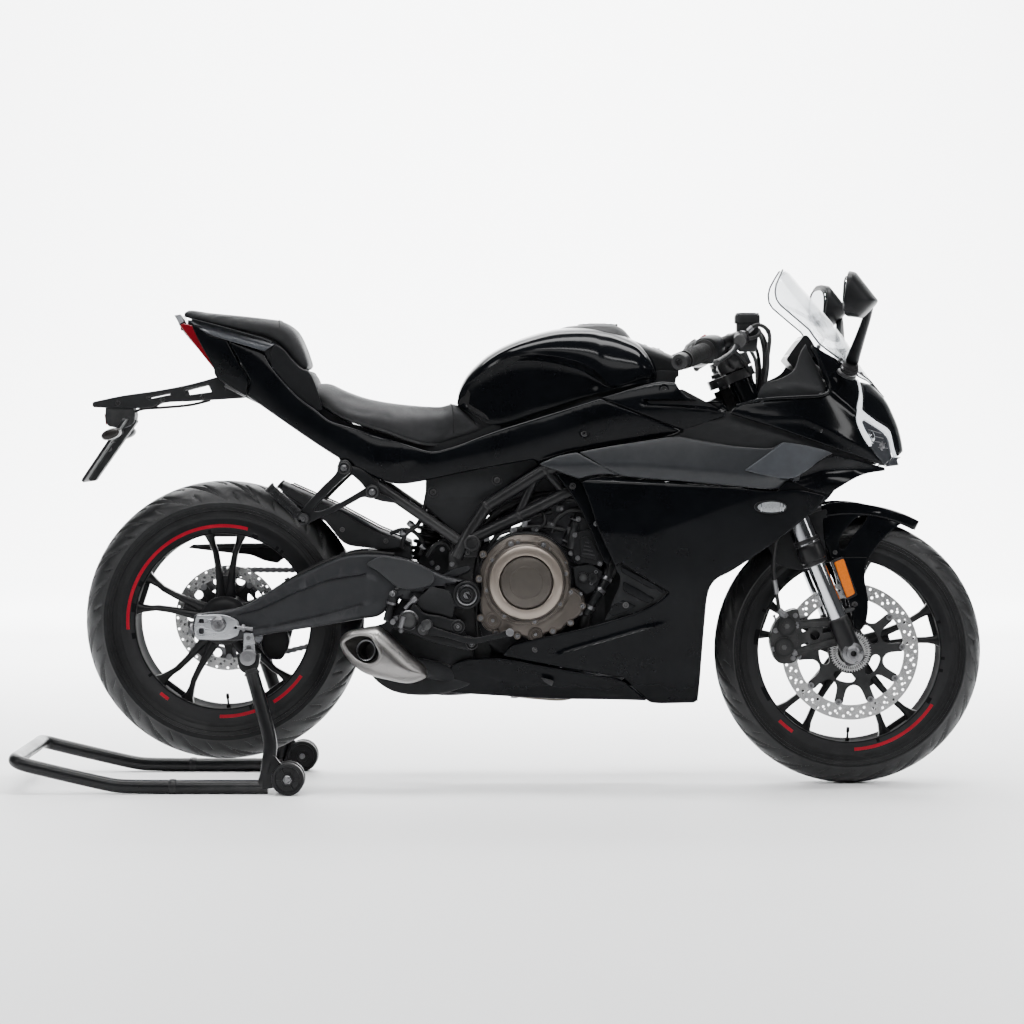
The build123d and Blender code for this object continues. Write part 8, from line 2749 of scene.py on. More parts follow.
# -------------------------------------------------------------------- silencer
sh = Shape()
so = round_outline([(-345, 325), (-332, 342), (-300, 351), (-264, 356), (-244, 343), (-200, 302), (-162, 268), (-157, 256), (-160, 246), (-178, 237), (-200, 233), (-240, 240), (-290, 254), (-314, 270), (-338, 300)], 60, 8, 4)
ridge_s = line_dist([(-262, 357), (-240, 325), (-205, 285), (-158, 250)])


def sil_y(x, z):
    pts = np.stack([np.atleast_1d(x).ravel(), np.atleast_1d(z).ravel()], 1)
    d = edge_distance(so, pts).reshape(np.shape(x)) * np.where(inside(so, pts).reshape(np.shape(x)), 1, 0)
    t = np.clip(d / 38.0, 0, 1)
    r_ = np.abs(ridge_s(x, z))
    front = smooth_step((x + 345) / 90.0)
    return 172 + 42.0 * np.sqrt(np.clip(1 - (1 - t) ** 2, 0, 1)) * (0.62 + 0.38 * front) + 3.0 * np.exp(-r_ / 7.0) * t


mouth = catmull([(-337, 322), (-322, 334), (-298, 340), (-276, 336), (-263, 318), (-256, 298), (-262, 283), (-280, 275), (-300, 279), (-320, 294)], 8, True)
v, f = skin(so, sil_y, thick=2.2, edge=1.8, res=5.0, holes=[mouth], rounded=False)
sh.add(v, f, "brushed_steel")
# inner half of the shell
v, f = skin(so, lambda x, z: -(172 - 0.0) + np.minimum(38.0, 46 * np.sqrt(np.clip(1 - (1 - np.clip(edge_distance(so, np.stack([x, z], 1)) / 34.0, 0, 1)) ** 2, 0, 1))) , thick=2.0, edge=1.8, res=7, side=1, rounded=False)
sh.add(v, f, "brushed_steel")
rim_pts = np.array([(x, -float(sil_y(np.array([x]), np.array([z]))[0]) + 0.5, z) for x, z in mouth])
v, f = tube(rim_pts, 4.2, 14, closed=True)
sh.add(v, f, "brushed_steel")
mc = rim_pts.mean(0)
deep = np.array((0.55, 0.80, -0.15))
deep /= np.linalg.norm(deep)
outlet = np.array((-286.0, -180.0, 304.0))
r0 = rim_pts
rr = []
u_, w_, _ = frame_of((-0.42, -0.90, 0.12), (0, 0, 1))
for k, p in enumerate(rim_pts):
    d = p - mc
    a = math.atan2(d @ w_, d @ u_)
    rr.append(outlet + 24 * (math.cos(a) * u_ + math.sin(a) * w_))
rr = np.array(rr)
v, f = loft([r0, r0 * 0.72 + rr * 0.28 + deep * 4, r0 * 0.4 + rr * 0.6 + deep * 5, rr], caps=False)
sh.add(v, f, "silencer_dark")
sh.add(v, [tuple(reversed(q)) for q in f], "silencer_dark")
dirn = np.array((-0.42, -0.90, 0.12))
v, f = lathe([(24, -16), (24, -2), (22.5, 4), (20.5, 4.4), (19.5, 2), (19.5, -30), (0.001, -31)], outlet, dirn, 48)
sh.add(v, f, "silencer_dark")
v, f = lathe([(21.5, -2), (23.6, 5.5), (22.4, 7), (20.4, 6.6), (19.8, 3)], outlet, dirn, 48)
sh.add(v, f, "bolt_steel")
# link pipe into the body, seams and strap
v, f = tube(catmull([(-60, -84, 240), (-110, -112, 250), (-160, -146, 262), (-186, -160, 268)], 8), 20, 28)
sh.add(v, f, "matte_black")
for x, z in ((-196, 262), (-216, 300), (-250, 340)):
    y = float(sil_y(np.array([float(x)]), np.array([float(z)]))[0])
    bolt(sh, x, -y + 0.6, z, 3.2, 1.4, (0, -1, 0), "bolt_steel", washer=False)
for x, z in ((-232, 372), (-190, 352)):
    pass
v, f = skin([(-262, 352), (-240, 372), (-222, 372), (-236, 342)], lambda x, z: 168.0 + 0 * x, thick=6, edge=2, res=5)
sh.add(v, f, "satin_black")
v, f = rod((-231, -190, 366), (-231, -120, 366), 6, 16)
sh.add(v, f, "bolt_steel")
sh.done("silencer_shell", "chassis", "silencer", smooth=42)

material("arm_plate", (0.40, 0.41, 0.43), rough=0.30, metal=0.9, rough_var=0.08, bump=0.25, bump_scale=900, stretch=(2, 20, 20), color_var=0.12)
# -------------------------------------------------------------------- swingarm
sh = Shape()
arm_o = [(-662, 378), (-560, 395), (-520, 415), (-480, 440), (-400, 480), (-340, 505), (-300, 510), (-250, 508), (-200, 497), (-160, 479), (-120, 462), (-73, 450), (-50, 437), (-44, 421), (-50, 405), (-73, 392),
         (-120, 394), (-200, 408), (-230, 414), (-244, 392), (-262, 376), (-300, 369), (-400, 352), (-520, 333), (-545, 325), (-590, 323), (-657, 323), (-665, 350)]
rl = line_dist([(-600, 372), (-520, 392), (-440, 430), (-370, 456), (-290, 468), (-240, 440), (-160, 436), (-60, 421)])
rl2 = line_dist([(-590, 340), (-500, 350), (-400, 372), (-300, 398), (-250, 410)])


def arm_y(x, z):
    d = rl(x, z)
    d2 = rl2(x, z)
    groove = -7.0 * smooth_step((-d) / 4.0) * smooth_step(d2 / 5.0) * smooth_step((x + 590) / 40.0) * smooth_step((-262 - x) / 30.0)
    return 150 - 0.11 * np.maximum(d, 0) - 0.10 * np.maximum(-d2, 0) + groove


ao = round_outline(arm_o, 36, 8, 6)
for sd in (-1, 1):
    v, f = skin(ao, arm_y, thick=32, edge=7, res=6.5, side=sd, rounded=False,
                lines=[[(-580, 377), (-520, 392), (-440, 430), (-370, 456), (-296, 467)], [(-578, 373), (-518, 388), (-438, 426), (-368, 452), (-296, 463)], [(-580, 341), (-500, 350), (-400, 372), (-300, 398)], [(-580, 346), (-500, 355), (-400, 377), (-300, 403)]])
    sh.add(v, f, "arm_grey")
    cov = [(-288, 488), (-276, 497), (-255, 505), (-225, 501), (-190, 493), (-160, 480), (-146, 470), (-142, 459), (-147, 447), (-165, 438), (-200, 433), (-225, 440), (-240, 452), (-268, 475)]
    v, f = skin(cov, lambda x, z: 156.5 - 0.02 * np.maximum(z - 470, 0), thick=12, edge=2.4, res=7, side=sd, corner=60)
    sh.add(v, f, "cover_grey")
    # pivot cap with its rings
    v, f = lathe([(30, -8), (30, 0), (28.5, 2), (25.5, 2.4), (24.6, 1.2), (23, 1.2), (22, 4.6), (18.6, 5.4), (17.6, 3.6), (14.5, 3.6), (13.6, 6.4), (10, 6.8), (9.4, 5.2), (0.001, 5.0)], (-73, sd * 150, 421), (0, sd, 0), 56)
    sh.add(v, f, "satin_black")
    v, f = lathe([(22.4, 4.2), (21.6, 5.4), (19.2, 5.9), (18.2, 4.2)], (-73, sd * 150, 421), (0, sd, 0), 56)
    sh.add(v, f, "bolt_steel")
    v, f = turned([(8.8, 4), (8.8, 8.5), (8, 9.5)], (-73, sd * 150, 421), (0, sd, 0), 6)
    sh.add(v, f, "bolt_steel")
    # axle adjuster plate and its bolt
    ap = [(-655, 326), (-590, 326), (-566, 334), (-561, 350), (-566, 366), (-592, 378), (-655, 378), (-660, 352)]
    v, f = skin(ap, lambda x, z: 156.0 + 0 * x, thick=8, edge=2.0, res=7, side=sd, corner=30, holes=[circle(-571, 351, 3.2, 16), round_outline([(-650, 360), (-639, 360), (-639, 370), (-650, 370)], 30, 3, 3), round_outline([(-650, 338), (-639, 338), (-639, 350), (-650, 350)], 30, 3, 3)])
    sh.add(v, f, "arm_plate")
    v, f = skin([(-634, 340), (-592, 340), (-588, 356), (-594, 370), (-634, 370), (-638, 355)], lambda x, z: 158.4 + 0 * x, thick=5, edge=1.8, res=5, side=sd)
    sh.add(v, f, "arm_plate")
    v, f = turned([(16, 0), (16.6, 1.4), (15, 3.4)], (-607, sd * 158, 359), (0, sd, 0), 40)
    sh.add(v, f, "bolt_steel")
    v, f = turned([(13.5, 2), (13.5, 11), (12, 12.6), (8, 12.8), (7.4, 11)], (-607, sd * 158, 359), (0, sd, 0), 6)
    sh.add(v, f, "bolt_steel")
    v, f = rod((-664, sd * 136, 352), (-640, sd * 136, 352), 4.5, 16)
    sh.add(v, f, "bolt_steel")
    v, f = turned([(8, 0), (8, 6), (7, 7)], (-664, sd * 136, 352), (-1, 0, 0), 6)
    sh.add(v, f, "bolt_steel")
    v, f = rod((-566, sd * 159, 352), (-534, sd * 159, 348), 4.6, 16)
    sh.add(v, f, "bolt_steel")
    v, f = turned([(8.4, 0), (8.4, 5), (7.4, 6)], (-556, sd * 159, 351), (1, 0, 0), 6)
    sh.add(v, f, "bolt_steel")
    # lifting spool with its plate
    v, f = skin([(-553, 341), (-533, 339), (-530, 312), (-529, 284), (-536, 275), (-549, 275), (-556, 284), (-554, 312)], lambda x, z: 156.0 + 0 * x, thick=9, edge=2, res=6, side=sd)
    sh.add(v, f, "arm_plate")
    for x, z in ((-543, 329), (-542, 309)):
        bolt(sh, x, sd * 156, z, 4.4, 4, (0, sd, 0), "bolt_steel")
    v, f = lathe([(16, 0), (17, 2), (15, 4), (11.2, 6), (10.8, 10), (10.8, 24), (11.5, 27), (16.5, 29), (17, 33), (15, 34), (7, 34), (6.4, 32), (0.001, 32)], (-542, sd * 156, 289), (0, sd, 0), 40)
    sh.add(v, f, "cast_alloy")
# bridge between the arms and the pivot tube
for x0, z0, x1, z1, ya, yb in ((-232, 434, -184, 488, -120, 62), (-232, 416, -182, 452, 50, 120)):
    o = round_outline([(x0, z0), (x1 + 4, z0 + 6), (x1, z1), (x0, z1 + 3)], 30, 8, 6)
    v, f = plate(o, ya, yb)
    sh.add(v, f, "arm_grey")
v, f = rod((-73, -152, 421), (-73, 152, 421), 18, 28)
sh.add(v, f, "satin_black")
for y in (-96, -40, 20):
    v, f = tube([(-208, y, 431), (-208, y, 493)], 2.2, 8)
    sh.add(v, f, "arm_grey")
# a line along the arm, held in two rubber guides
for pts in ([(-500, -135, 424), (-440, -137, 462), (-360, -138, 500), (-300, -136, 513), (-230, -132, 508)],):
    v, f = tube(catmull(pts, 8), 4, 12)
    sh.add(v, f, "hose_black")
for x, z in ((-460, 452), (-340, 508)):
    v, f = lathe([(4.2, -5), (6.2, -5), (6.2, 5), (4.2, 5)], (x, -137, z), (0.8, 0, 0.5), 20)
    sh.add(v, f, "rubber")
sh.done("swingarm_pressed", "chassis", "swingarm", smooth=36)

# ----------------------------------------------------------- shock absorber
sh = Shape()
a, b = np.array((-178.0, 0, 470)), np.array((-114.0, 0, 702))
d = (b - a) / np.linalg.norm(b - a)
u_, w_, _ = frame_of(d)
L = np.linalg.norm(b - a)
pts = []
for k in range(0, 321):
    t = k / 320
    ang = 2 * math.pi * 8.5 * t
    pts.append(a + d * (34 + 130 * t) + 28 * (math.cos(ang) * u_ + math.sin(ang) * w_))
v, f = tube(pts, 4.6, 12)
sh.add(v, f, "spring_black")
v, f = turned([(12, 14), (12, 24), (30, 26), (33, 29), (33, 33), (24, 34), (22, 60), (22, 150), (24, 160)], a, d, 44)
sh.add(v, f, "satin_black")
v, f = turned([(22.5, 158), (33, 160), (33, 165), (26, 166), (25, 172), (30, 173), (30, 179), (24, 180), (21, 196), (14, 204), (13, 226)], a, d, 44)
sh.add(v, f, "cast_alloy")
for k in range(6):
    v, f = lathe([(22, 181 + k * 2.4), (23.4, 182.2 + k * 2.4), (22, 183.4 + k * 2.4)], a, d, 40)
    sh.add(v, f, "cast_alloy")
for c_ in (a, b):
    v, f = turned([(13, -18), (14, -16), (14, 16), (13, 18)], c_, (0, 1, 0), 32)
    sh.add(v, f, "satin_black")
v, f = rod((-114, -66, 704), (-114, 66, 704), 9, 24)
sh.add(v, f, "bolt_steel")
sh.done("shock_with_spring", "chassis", "shock_absorber", smooth=40)

# ------------------------------------------------------------------- hugger
sh = Shape()
top_l = catmull([(-476, 661), (-440, 644), (-365, 611), (-310, 583), (-265, 557), (-225, 541), (-198, 530)], 8)
rings = []
for (x, z) in top_l:
    k = np.interp(x, [-476, -198], [1.0, 0.86])
    w = 84 * k
    sec = catmull([(-w - 2, z - 24 - 16 * smooth_step((x + 476) / 120)), (-w, z - 10), (-w * 0.86, z - 1.5), (-w * 0.5, z + 1), (0, z + 2), (w * 0.5, z + 1), (w * 0.86, z - 1.5), (w, z - 10), (w + 2, z - 24 - 16 * smooth_step((x + 476) / 120))], 3)
    outer = [(x, y, zz) for y, zz in sec]
    inner = [(x + 1, y * 0.965, zz - 4) for y, zz in sec[::-1]]
    rings.append(outer + inner)
v, f = loft(rings)
sh.add(v, f, "matte_black")
for sd in (-1, 1):
    v, f = skin([(-440, 640), (-365, 607), (-265, 552), (-212, 535), (-206, 524), (-232, 519), (-300, 521), (-340, 530), (-372, 566), (-400, 600)], lambda x, z: 87.5 + 0 * x, thick=4, edge=2, res=9, side=sd, corner=40)
    sh.add(v, f, "matte_black")
    v, f = skin([(-455, 650), (-400, 617), (-392, 600), (-425, 612), (-468, 640)], lambda x, z: 90.0 + 0 * x, thick=4, edge=1.8, res=6, side=sd)
    sh.add(v, f, "matte_black")
    for x, z in ((-250, 535), (-345, 560)):
        bolt(sh, x, sd * 87, z, 5, 3.5, (0, sd, 0), "black_bolt")
rib = [(-460, 656), (-365, 614), (-265, 560), (-215, 540)]
for y in (-40, 40):
    v, f = tube([(x, y, z + 2.5) for x, z in resample(rib, 8)], 1.8, 8)
    sh.add(v, f, "matte_black")
v, f = plate(round_outline([(-214, 540), (-198, 532), (-194, 494), (-206, 492), (-212, 522)], 40, 2, 4), -66, 66)
sh.add(v, f, "matte_black")
sh.done("hugger_shell", "chassis", "hugger", smooth=40)

# -------------------------------------------------------------- chain guard
sh = Shape()
v, f = skin([(-701, 512), (-690, 520), (-600, 521), (-430, 518), (-401, 501), (-430, 492), (-480, 494), (-500, 478), (-530, 484), (-560, 496), (-600, 500)], lambda x, z: 103.0 - 0.14 * np.maximum(z - 508, 0), thick=4.5, edge=2.0, res=7, side=1, radius=4)
sh.add(v, f, "matte_black")
v, f = tube([(x, 96, 518) for x in np.linspace(-684, -436, 12)], [2, 5, 5, 2], 12)
sh.add(v, f, "matte_black")
v, f = rod((-440, 99, 506), (-424, 120, 478), 6, 20)
sh.add(v, f, "matte_black")
for x, z in ((-440, 506), (-590, 509)):
    bolt(sh, x, 102.4, z, 5, 3, (0, 1, 0), "black_bolt")
sh.done("chain_guard_moulded", "chassis", "chain_guard", smooth=36)

# ------------------------------------------------------------- rear caliper
sh = Shape()
co = [(-522, 330), (-504, 338), (-486, 341), (-474, 328), (-469, 310), (-474, 290), (-486, 268), (-500, 267), (-516, 272), (-526, 284), (-530, 300), (-528, 316)]
for y0, y1 in ((30, 43), (58, 72)):
    rings = []
    o = round_outline(co, 40, 5, 4)
    c_ = o.mean(0)
    for y, k in ((y0, 0.9), (y0 + 2.5, 1.0), (y1 - 2.5, 1.0), (y1, 0.9)):
        if y in (43, 58):
            k = 0.985
        rings.append([(c_[0] + (x - c_[0]) * k, y, c_[1] + (z - c_[1]) * k) for x, z in o[::-1]])
    v, f = loft(rings)
    sh.add(v, f, "cast_black")
v, f = plate(round_outline([(-482, 338), (-470, 310), (-480, 285), (-486, 290), (-478, 310), (-488, 336)], 40, 1.5, 3), 42, 59)
sh.add(v, f, "cast_black")
v, f = plate(round_outline([(-486, 340), (-470, 361), (-458, 353), (-469, 310)], 40, 3, 4), 61, 72)
sh.add(v, f, "cast_black")
v, f = rod((-472, 62, 350), (-472, 118, 362), 6, 20)
sh.add(v, f, "bolt_steel")
for x, z in ((-510, 316), (-500, 284)):
    v, f = turned([(12, 0), (12, 2), (10, 3), (4, 3.2)], (x, 72, z), (0, 1, 0), 28)
    sh.add(v, f, "cast_black")
    bolt(sh, x, 75, z, 3.6, 3, (0, 1, 0), "bolt_steel", washer=False)
for z in (276, 326):
    v, f = rod((-506, 43, z), (-506, 58, z), 3, 12)
    sh.add(v, f, "bolt_steel")
v, f = tube(catmull([(-480, 66, 344), (-470, 76, 384), (-430, 90, 430), (-360, 96, 480), (-290, 92, 505), (-232, 70, 500)], 8), 3.6, 12)
sh.add(v, f, "hose_black")
sh.done("rear_caliper_cast", "chassis", "rear_caliper", smooth=36)

# ----------------------------------------------------------------- footpegs
sh = Shape()
for sd in (-1, 1):
    br = [(-178, 398), (-166, 384), (-130, 377), (-104, 369), (-88, 370), (-78, 358), (-82, 344), (-96, 341), (-120, 346), (-150, 353), (-164, 351), (-152, 341), (-120, 333), (-86, 331), (-70, 334),
          (-53, 328), (-49, 314), (-60, 303), (-78, 305), (-115, 314), (-160, 325), (-190, 338), (-222, 346), (-246, 354), (-247, 370), (-222, 378), (-200, 380), (-188, 404)]
    v, f = skin(br, lambda x, z: 168.0 + 0 * x - 0.04 * np.abs(x + 150), thick=11, edge=3.2, res=6, side=sd, corner=50, radius=3)
    sh.add(v, f, "satin_black")
    for x, z, r in ((-92, 354, 11), (-62, 317, 9)):
        v, f = lathe([(r + 4, -3), (r + 3.6, 1.4), (r + 1.6, 2.2), (r, 0.5), (r - 1, -1.5)], (x, sd * 166, z), (0, sd, 0), 36)
        sh.add(v, f, "satin_black")
        bolt(sh, x, sd * 165, z, r - 2.5, 6, (0, sd, 0), "black_bolt")
        bolt(sh, x, sd * 168, z, r * 0.42, 5, (0, sd, 0), "bolt_steel", washer=False)
        v, f = rod((x, sd * 160, z), (x, sd * 112, z), 9, 20)
        sh.add(v, f, "satin_black")
    # peg: root clamp, knurled bar, end knob
    v, f = turned([(17, -4), (18, -2), (18, 6), (15, 8), (13, 9)], (-198, sd * 166, 368), (0, sd, 0), 36)
    sh.add(v, f, "satin_black")
    v, f = lathe([(19.5, -3), (21.5, -1), (21.5, 3), (19.5, 5)], (-198, sd * 166, 368), (0, sd, 0), 36)
    sh.add(v, f, "bolt_steel")
    prof = []
    for k in range(22):
        h = 6 + k * 3.7
        prof += [(9.4, h), (10.6, h + 0.9), (10.6, h + 2.2), (9.4, h + 3.1)]
    prof += [(11.4, 88), (11.4, 91), (9, 92.4)]
    v, f = turned(prof, (-156, sd * 166, 360), (-0.02, sd, 0.04), 28)
    sh.add(v, f, "satin_black")
    for x, z in ((-214, 346), (-182, 373), (-226, 372)):
        bolt(sh, x, sd * 166, z, 5.0, 7, (0, sd, 0), "bolt_steel")
    v, f = tube([(-216, sd * 172, 352), (-208, sd * 172, 376)], 6, 16)
    sh.add(v, f, "cast_alloy")
    # upright cylinder with its link and banjo
    v, f = turned([(8, 0), (8.6, 3), (8.6, 20), (7, 23), (7, 38), (8.6, 40), (8.6, 56), (6, 62), (4.5, 68)], (-245, sd * 164, 366), (0.26, 0, 1), 28)
    sh.add(v, f, "satin_black")
    v, f = lathe([(8.8, 0), (11, 0), (11, 5), (8.8, 5)], (-236, sd * 164, 402), (0.26, 0, 1), 28)
    sh.add(v, f, "bolt_steel")
    bolt(sh, -232, sd * 166, 424, 7, 8, (0, sd, 0), "bolt_steel")
    v, f = tube(catmull([(-228, sd * 160, 432), (-214, sd * 150, 440), (-196, sd * 146, 452), (-190, sd * 126, 480)], 8), 3.8, 12)
    sh.add(v, f, "hose_black")
    v, f = tube([(-206, sd * 164, 392), (-196, sd * 163, 404), (-184, sd * 162, 414)], 4.5, 14)
    sh.add(v, f, "bolt_steel")
    v, f = turned([(7, -6), (7.6, -4), (7.6, 4), (7, 6)], (-186, sd * 162, 412), (0.6, 0, 0.6), 20)
    sh.add(v, f, "cast_alloy")
    # heel plate
    v, f = skin([(-178, 398), (-186, 406), (-150, 440), (-110, 430), (-100, 400), (-104, 372), (-130, 380), (-164, 388)], lambda x, z: 158.0 + 0 * x, thick=4, edge=1.8, res=8, side=sd, corner=40)
    sh.add(v, f, "matte_black")
    # passenger peg bracket
    pb = [(-352, 700), (-346, 711), (-333, 712), (-323, 702), (-322, 686), (-332, 678), (-352, 660), (-398, 612), (-404, 602), (-392, 601), (-340, 624), (-292, 652), (-280, 659), (-266, 655),
          (-261, 643), (-266, 632), (-280, 629), (-296, 632), (-345, 607), (-400, 582), (-420, 572), (-436, 574), (-440, 588), (-430, 604), (-385, 654), (-354, 686)]
    v, f = skin(pb, lambda x, z: 148.0 + 0 * x, thick=11, edge=3.0, res=6, side=sd, corner=50, radius=3)
    sh.add(v, f, "satin_black")
    v, f = skin([(-330, 686), (-322, 700), (-300, 692), (-268, 662), (-262, 640), (-235, 628), (-225, 618), (-262, 624), (-284, 634), (-296, 655), (-312, 672)], lambda x, z: 136.0 + 0 * x, thick=6, edge=2, res=7, side=sd, corner=40)
    sh.add(v, f, "satin_black")
    for x, z in ((-338, 695), (-277, 643)):
        v, f = lathe([(14, -2), (13.6, 2), (11, 3), (9.5, 1.5), (9, -1)], (x, sd * 147, z), (0, sd, 0), 36)
        sh.add(v, f, "satin_black")
        bolt(sh, x, sd * 147, z, 7, 5, (0, sd, 0), "bolt_steel")
    v, f = rod((-277, sd * 140, 643), (-277, sd * 112, 643), 10, 20)
    sh.add(v, f, "satin_black")
    v, f = rod((-338, sd * 140, 693), (-338, sd * 120, 696), 10, 20)
    sh.add(v, f, "satin_black")
    pa, pb_ = np.array((-425.0, sd * 152, 585)), np.array((-500.0, sd * 158, 656))
    dd = (pb_ - pa) / np.linalg.norm(pb_ - pa)
    prof = [(8, 4), (8, 14)]
    for k in range(18):
        h = 16 + k * 4.2
        prof += [(9.6, h), (11.2, h + 1.0), (11.2, h + 2.4), (9.6, h + 3.6)]
    prof += [(10, 96), (12, 98), (12, 102), (9, 103)]
    v, f = turned(prof, pa, dd, 24)
    sh.add(v, f, "satin_black")
    v, f = turned([(11, -8), (12, -6), (12, 6), (11, 8)], pa, (0, 1, 0), 28)
    sh.add(v, f, "satin_black")
    bolt(sh, pa[0], sd * 158, pa[2], 5, 4, (0, sd, 0), "bolt_steel")
sh.done("footpeg_brackets", "chassis", "footpegs", smooth=36)

sh = Shape()
for sd in (-1, 1):
    lv = [(-177, 352), (-168, 341), (-120, 332), (-60, 318), (-20, 326), (20, 336), (26, 343), (20, 349), (-20, 338), (-60, 331), (-110, 343), (-150, 356), (-166, 359)]
    v, f = skin(lv, lambda x, z: 180.0 + 0 * x, thick=8, edge=2.4, res=6, side=sd, corner=46)
    sh.add(v, f, "satin_black")
    prof = [(6, 0)]
    for k in range(7):
        h = 4 + k * 4.6
        prof += [(6.6, h), (8.2, h + 1), (8.2, h + 2.6), (6.6, h + 3.8)]
    prof += [(7, 38)]
    v, f = turned(prof, (19, sd * 176, 343), (0.04, sd, 0.04), 24)
    sh.add(v, f, "rubber" if sd > 0 else "cast_alloy")
    v, f = turned([(11, -8), (12, -6), (12, 6), (9, 8)], (-166, sd * 175, 349), (0, 1, 0), 28)
    sh.add(v, f, "satin_black")
    bolt(sh, -166, sd * 181, 349, 5.5, 4, (0, sd, 0), "bolt_steel")
    if sd > 0:
        v, f = rod((-120, 184, 338), (-40, 150, 372), 3.6, 12)
        sh.add(v, f, "bolt_steel")
        for p in ((-120, 184, 338), (-40, 150, 372)):
            v, f = turned([(6.5, -4), (7, 0), (6.5, 4)], p, (0, 1, 0), 20)
            sh.add(v, f, "black_bolt")
sh.done("foot_levers", "chassis", "foot_controls", smooth=36)

# ------------------------------------------------------- frame extra details
sh = Shape()
for sd in (-1, 1):
    for c_, d in (((40, sd * 120, 590), (1, 0, 0.47)), ((140, sd * 118, 640), (1, 0, 0.4)), ((-30, sd * 120, 612), (0.7, 0, 0.7)), ((95, sd * 120, 690), (1, 0, 0.45)), ((-66, sd * 120, 545), (0.5, 0, 1))):
        v, f = lathe([(13.6, -5), (15.2, -3), (15.6, 0), (15.2, 3), (13.6, 5)], c_, d, 32)
        sh.add(v, f, "frame_black")
    v, f = skin([(-80, 500), (-50, 500), (-36, 548), (-56, 566), (-84, 552), (-92, 520)], lambda x, z: 127.0 + 0 * x, thick=12, edge=3, res=6, side=sd)
    sh.add(v, f, "frame_black")
    v, f = skin([(300, 745), (330, 690), (350, 690), (330, 750)], lambda x, z: 104.0 + 0 * x, thick=10, edge=2.5, res=6, side=sd)
    sh.add(v, f, "frame_black")
    for x, z in ((-72, 512), (-60, 556)):
        bolt(sh, x, sd * 127, z, 5, 4, (0, sd, 0), "black_bolt")
    v, f = skin([(-352, 716), (-338, 722), (-262, 668), (-270, 652), (-286, 658)], lambda x, z: 128.0 + 0 * x, thick=6, edge=2, res=6, side=sd)
    sh.add(v, f, "frame_black")
sh.done("frame_gussets", "chassis", (), smooth=36)

# ----------------------------------------------------------------- side stand
sh = Shape()
sp = np.array((-66.0, 148.0, 244.0))
sax = np.array((-0.099, -0.8744, -0.4751))
sax /= np.linalg.norm(sax)
stw = np.array((-0.995, 0.08, 0.06))
stw /= np.linalg.norm(stw)
ft = sp + stw * 205
v, f = lathe([(5.2, -11), (13.5, -11), (15, -9.5), (15, 9.5), (13.5, 11), (5.2, 11)], sp, sax, 40, closed=True)
sh.add(v, f, "satin_black")
v, f = tube([sp + stw * 12, sp + stw * 60, sp + stw * 120, sp + stw * 190, ft], [10, 9, 8.6, 9, 9], 20)
sh.add(v, f, "satin_black")
v, f = turned([(9, -8), (18, -6), (19, -3), (19, 11), (17.5, 13.5), (8, 14)], ft, stw, 36)
sh.add(v, f, "satin_black")
pts = []
for k in range(241):
    t = k / 240
    ang = 2 * math.pi * 17 * t
    u_, w_, _ = frame_of(stw)
    pts.append(sp + stw * (18 + 74 * t) + sax * -15 + 4.6 * (math.cos(ang) * u_ + math.sin(ang) * w_))
v, f = tube(pts, 1.3, 6)
sh.add(v, f, "bolt_steel")
v, f = tube([sp + stw * 92 + sax * -15, sp + stw * 100 + sax * -12, sp + stw * 104 + sax * -4], 1.5, 8)
sh.add(v, f, "bolt_steel")
v, f = tube([ft + stw * -20, ft + stw * -16 + np.array((0, 16, 2)), ft + stw * -14 + np.array((0, 24, 4))], 4, 12)
sh.add(v, f, "satin_black")
sh.done("side_stand_forged", "kickstand", "side_stand", smooth=36)

# --------------------------------------------------------------- paddock stand
sh = Shape()
spine_ = [(-497, -205, 15), (-560, -205, 15), (-700, -205, 15), (-790, -205, 16), (-818, -205, 17.5), (-845, -205, 22), (-990, -205, 55.5), (-1014, -204, 61.5), (-1028, -200, 65.5), (-1037, -190, 68.5), (-1041, -176, 70), (-1041, -120, 70), (-1041, 0, 70)]
full_ = spine_ + [(x, -y, z) for x, y, z in spine_[::-1][1:]]
cl = catmull(full_, 6)
v, f = tube(cl, 15, 32)
sh.add(v, f, "stand_black")
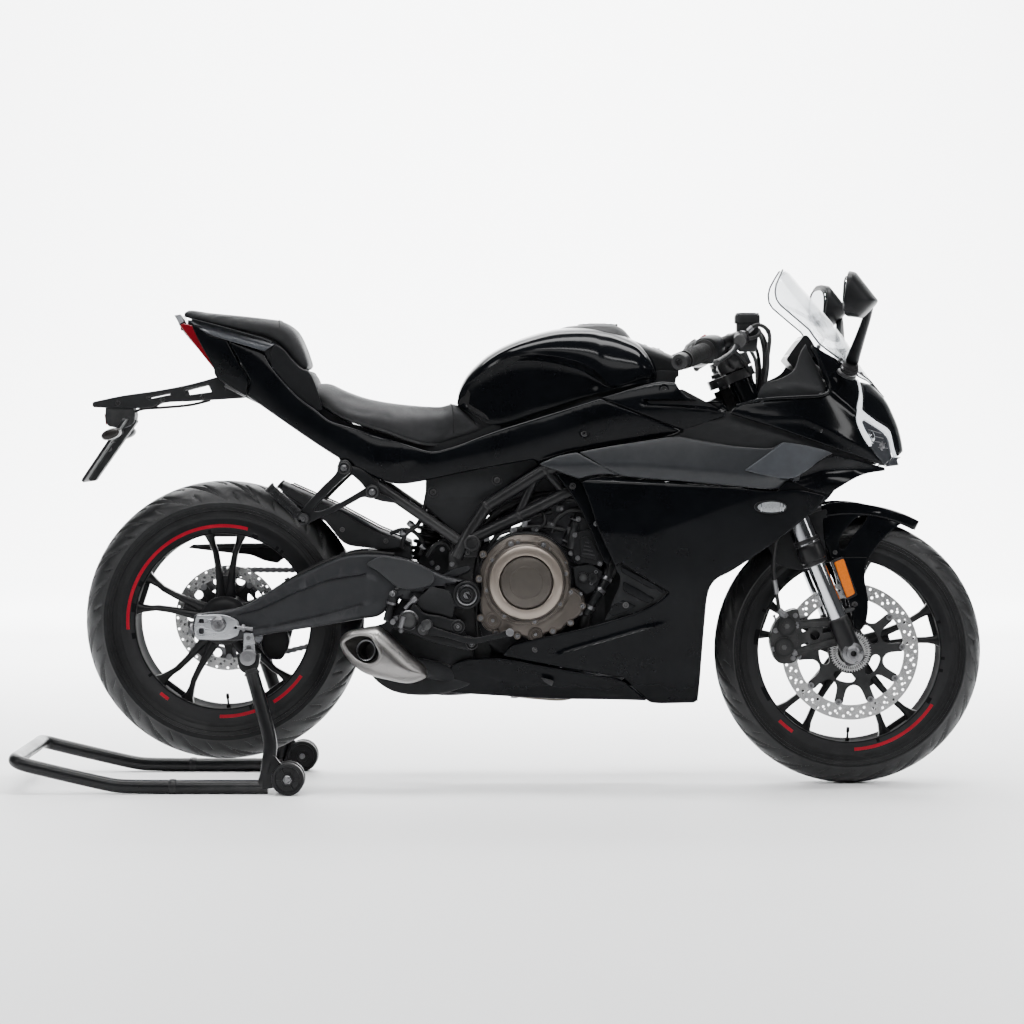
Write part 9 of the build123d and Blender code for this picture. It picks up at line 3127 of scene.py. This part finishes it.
# welded sleeves, uprights and the side plates by the rollers
for sd in (-1, 1):
    v, f = lathe([(15.0, -8), (16.4, -6), (16.8, 0), (16.4, 6), (15.0, 8)], (-700, sd * 205, 15), (1, 0, 0), 36)
    v = np.array(v)
    v[:, 2] = np.maximum(v[:, 2], 0.2)
    sh.add(v, f, "stand_black")
    a = np.array((-470.0, sd * 216, 46))
    b = np.array((-536.0, sd * 171, 262))
    up_path = catmull([(-509, sd * 208, 18), (-502, sd * 210, 40), (-496, sd * 210, 68), (-492, sd * 206, 106), (-512, sd * 190, 184), (-536, sd * 171, 262)], 8)
    v, f = tube(up_path, [float(np.interp(p[2], [18, 40, 68, 100], [12.0, 12.2, 14.2, 15.0])) for p in up_path], 32)
    v = np.array(v)
    v[:, 2] = np.maximum(v[:, 2], 0.3)
    sh.add(v, f, "stand_black")
    v, f = skin([(-500, 84), (-484, 84), (-468, 66), (-442, 50), (-434, 38), (-436, 25), (-448, 18), (-468, 17), (-508, 10), (-508, 30), (-504, 56)], lambda x, z: 222.0 + 0 * x, thick=8, edge=2.6, res=5, side=sd, corner=50, radius=4)
    sh.add(v, f, "stand_black")
    v, f = lathe([(6.4, -6.2), (14, -6.2), (15, -5.2), (15, 5.2), (14, 6.2), (6.4, 6.2)], (-452, sd * 218, 35), (0, sd, 0), 36, closed=True)
    sh.add(v, f, "stand_black")
    # adjusting clamp ring near the upright's top
    d = (b - a) / np.linalg.norm(b - a)
    for c_, dd, r in ((b - d * 8, d, 15.0),):
        v, f = lathe([(r, -3), (r + 2.2, -1.4), (r + 2.6, 0), (r + 2.2, 1.4), (r, 3)], c_, dd, 36)
        v = np.array(v)
        v[:, 2] = np.maximum(v[:, 2], 0.2)
        sh.add(v, f, "stand_black")
    # forked head under the spool
    hd = [(-566, 296), (-563, 298), (-560, 295), (-556, 279), (-549, 274), (-542, 272.5), (-535, 274), (-528, 279), (-524, 295), (-520, 298), (-516, 296), (-521, 266), (-530, 258), (-542, 255), (-554, 258), (-561, 266)]
    v, f = skin(hd, lambda x, z: 180.5 + 0 * x, thick=20, edge=2.6, res=4, side=sd, corner=50, radius=2)
    sh.add(v, f, "stand_black")
    v, f = rod((-452, sd * 189, 35), (-452, sd * 253, 35), 6, 24)
    sh.add(v, f, "bolt_steel")
    v, f = turned([(10, 0), (10, 3), (9, 4)], (-452, sd * 249, 35), (0, sd, 0), 6)
    sh.add(v, f, "bolt_steel")
sh.done("paddock_stand_tube", "chassis", "paddock_stand", smooth=40)

for body_, node_, sd in (("roller_right", "stand_roller_right", -1), ("roller_left", "stand_roller_left", 1)):
    sh = Shape()
    for y0, y1 in ((194, 209), (227, 245)):
        v, f = lathe([(6.2, y0), (12, y0), (13, y0 + 1), (13.4, y0 + 3), (26, y0 + 3.4), (27, y0 + 1), (33, y0 + 0.4), (34.6, y0 + 2.2), (35, y0 + 4.5), (35, y1 - 4.5), (34.6, y1 - 2.2), (33, y1 - 0.4), (27, y1 - 1), (26, y1 - 3.4),
                      (13.4, y1 - 3), (13, y1 - 1), (12, y1), (6.2, y1)], (-452, 0, 35), (0, sd, 0), 72, closed=True)
        sh.add(v, f, "roller_grey")
        for k in range(6):
            t = 2 * math.pi * k / 6
            p0 = (-452 + 13 * math.cos(t), sd * (y1 - 2.6), 35 + 13 * math.sin(t))
            p1 = (-452 + 26 * math.cos(t), sd * (y1 - 2.6), 35 + 26 * math.sin(t))
            v, f = tube([p0, p1], 1.6, 8)
            sh.add(v, f, "roller_grey")
    sh.done(node_ + "_moulded", body_, node_, smooth=36)

STAY = {"frame": "frame_black", "rear_subframe": "frame_black", "exhaust_headers": "cast_alloy"}

# ---------------------------------------------------------------------- end
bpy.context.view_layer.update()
for name_, ob_ in NODES.items():
    if not ob_.hide_render:
        # CAD solids that stay: their faces get the right finish
        ob_.data.materials.clear()
        ob_.data.materials.append(MATS[STAY.get(name_, "satin_black")])
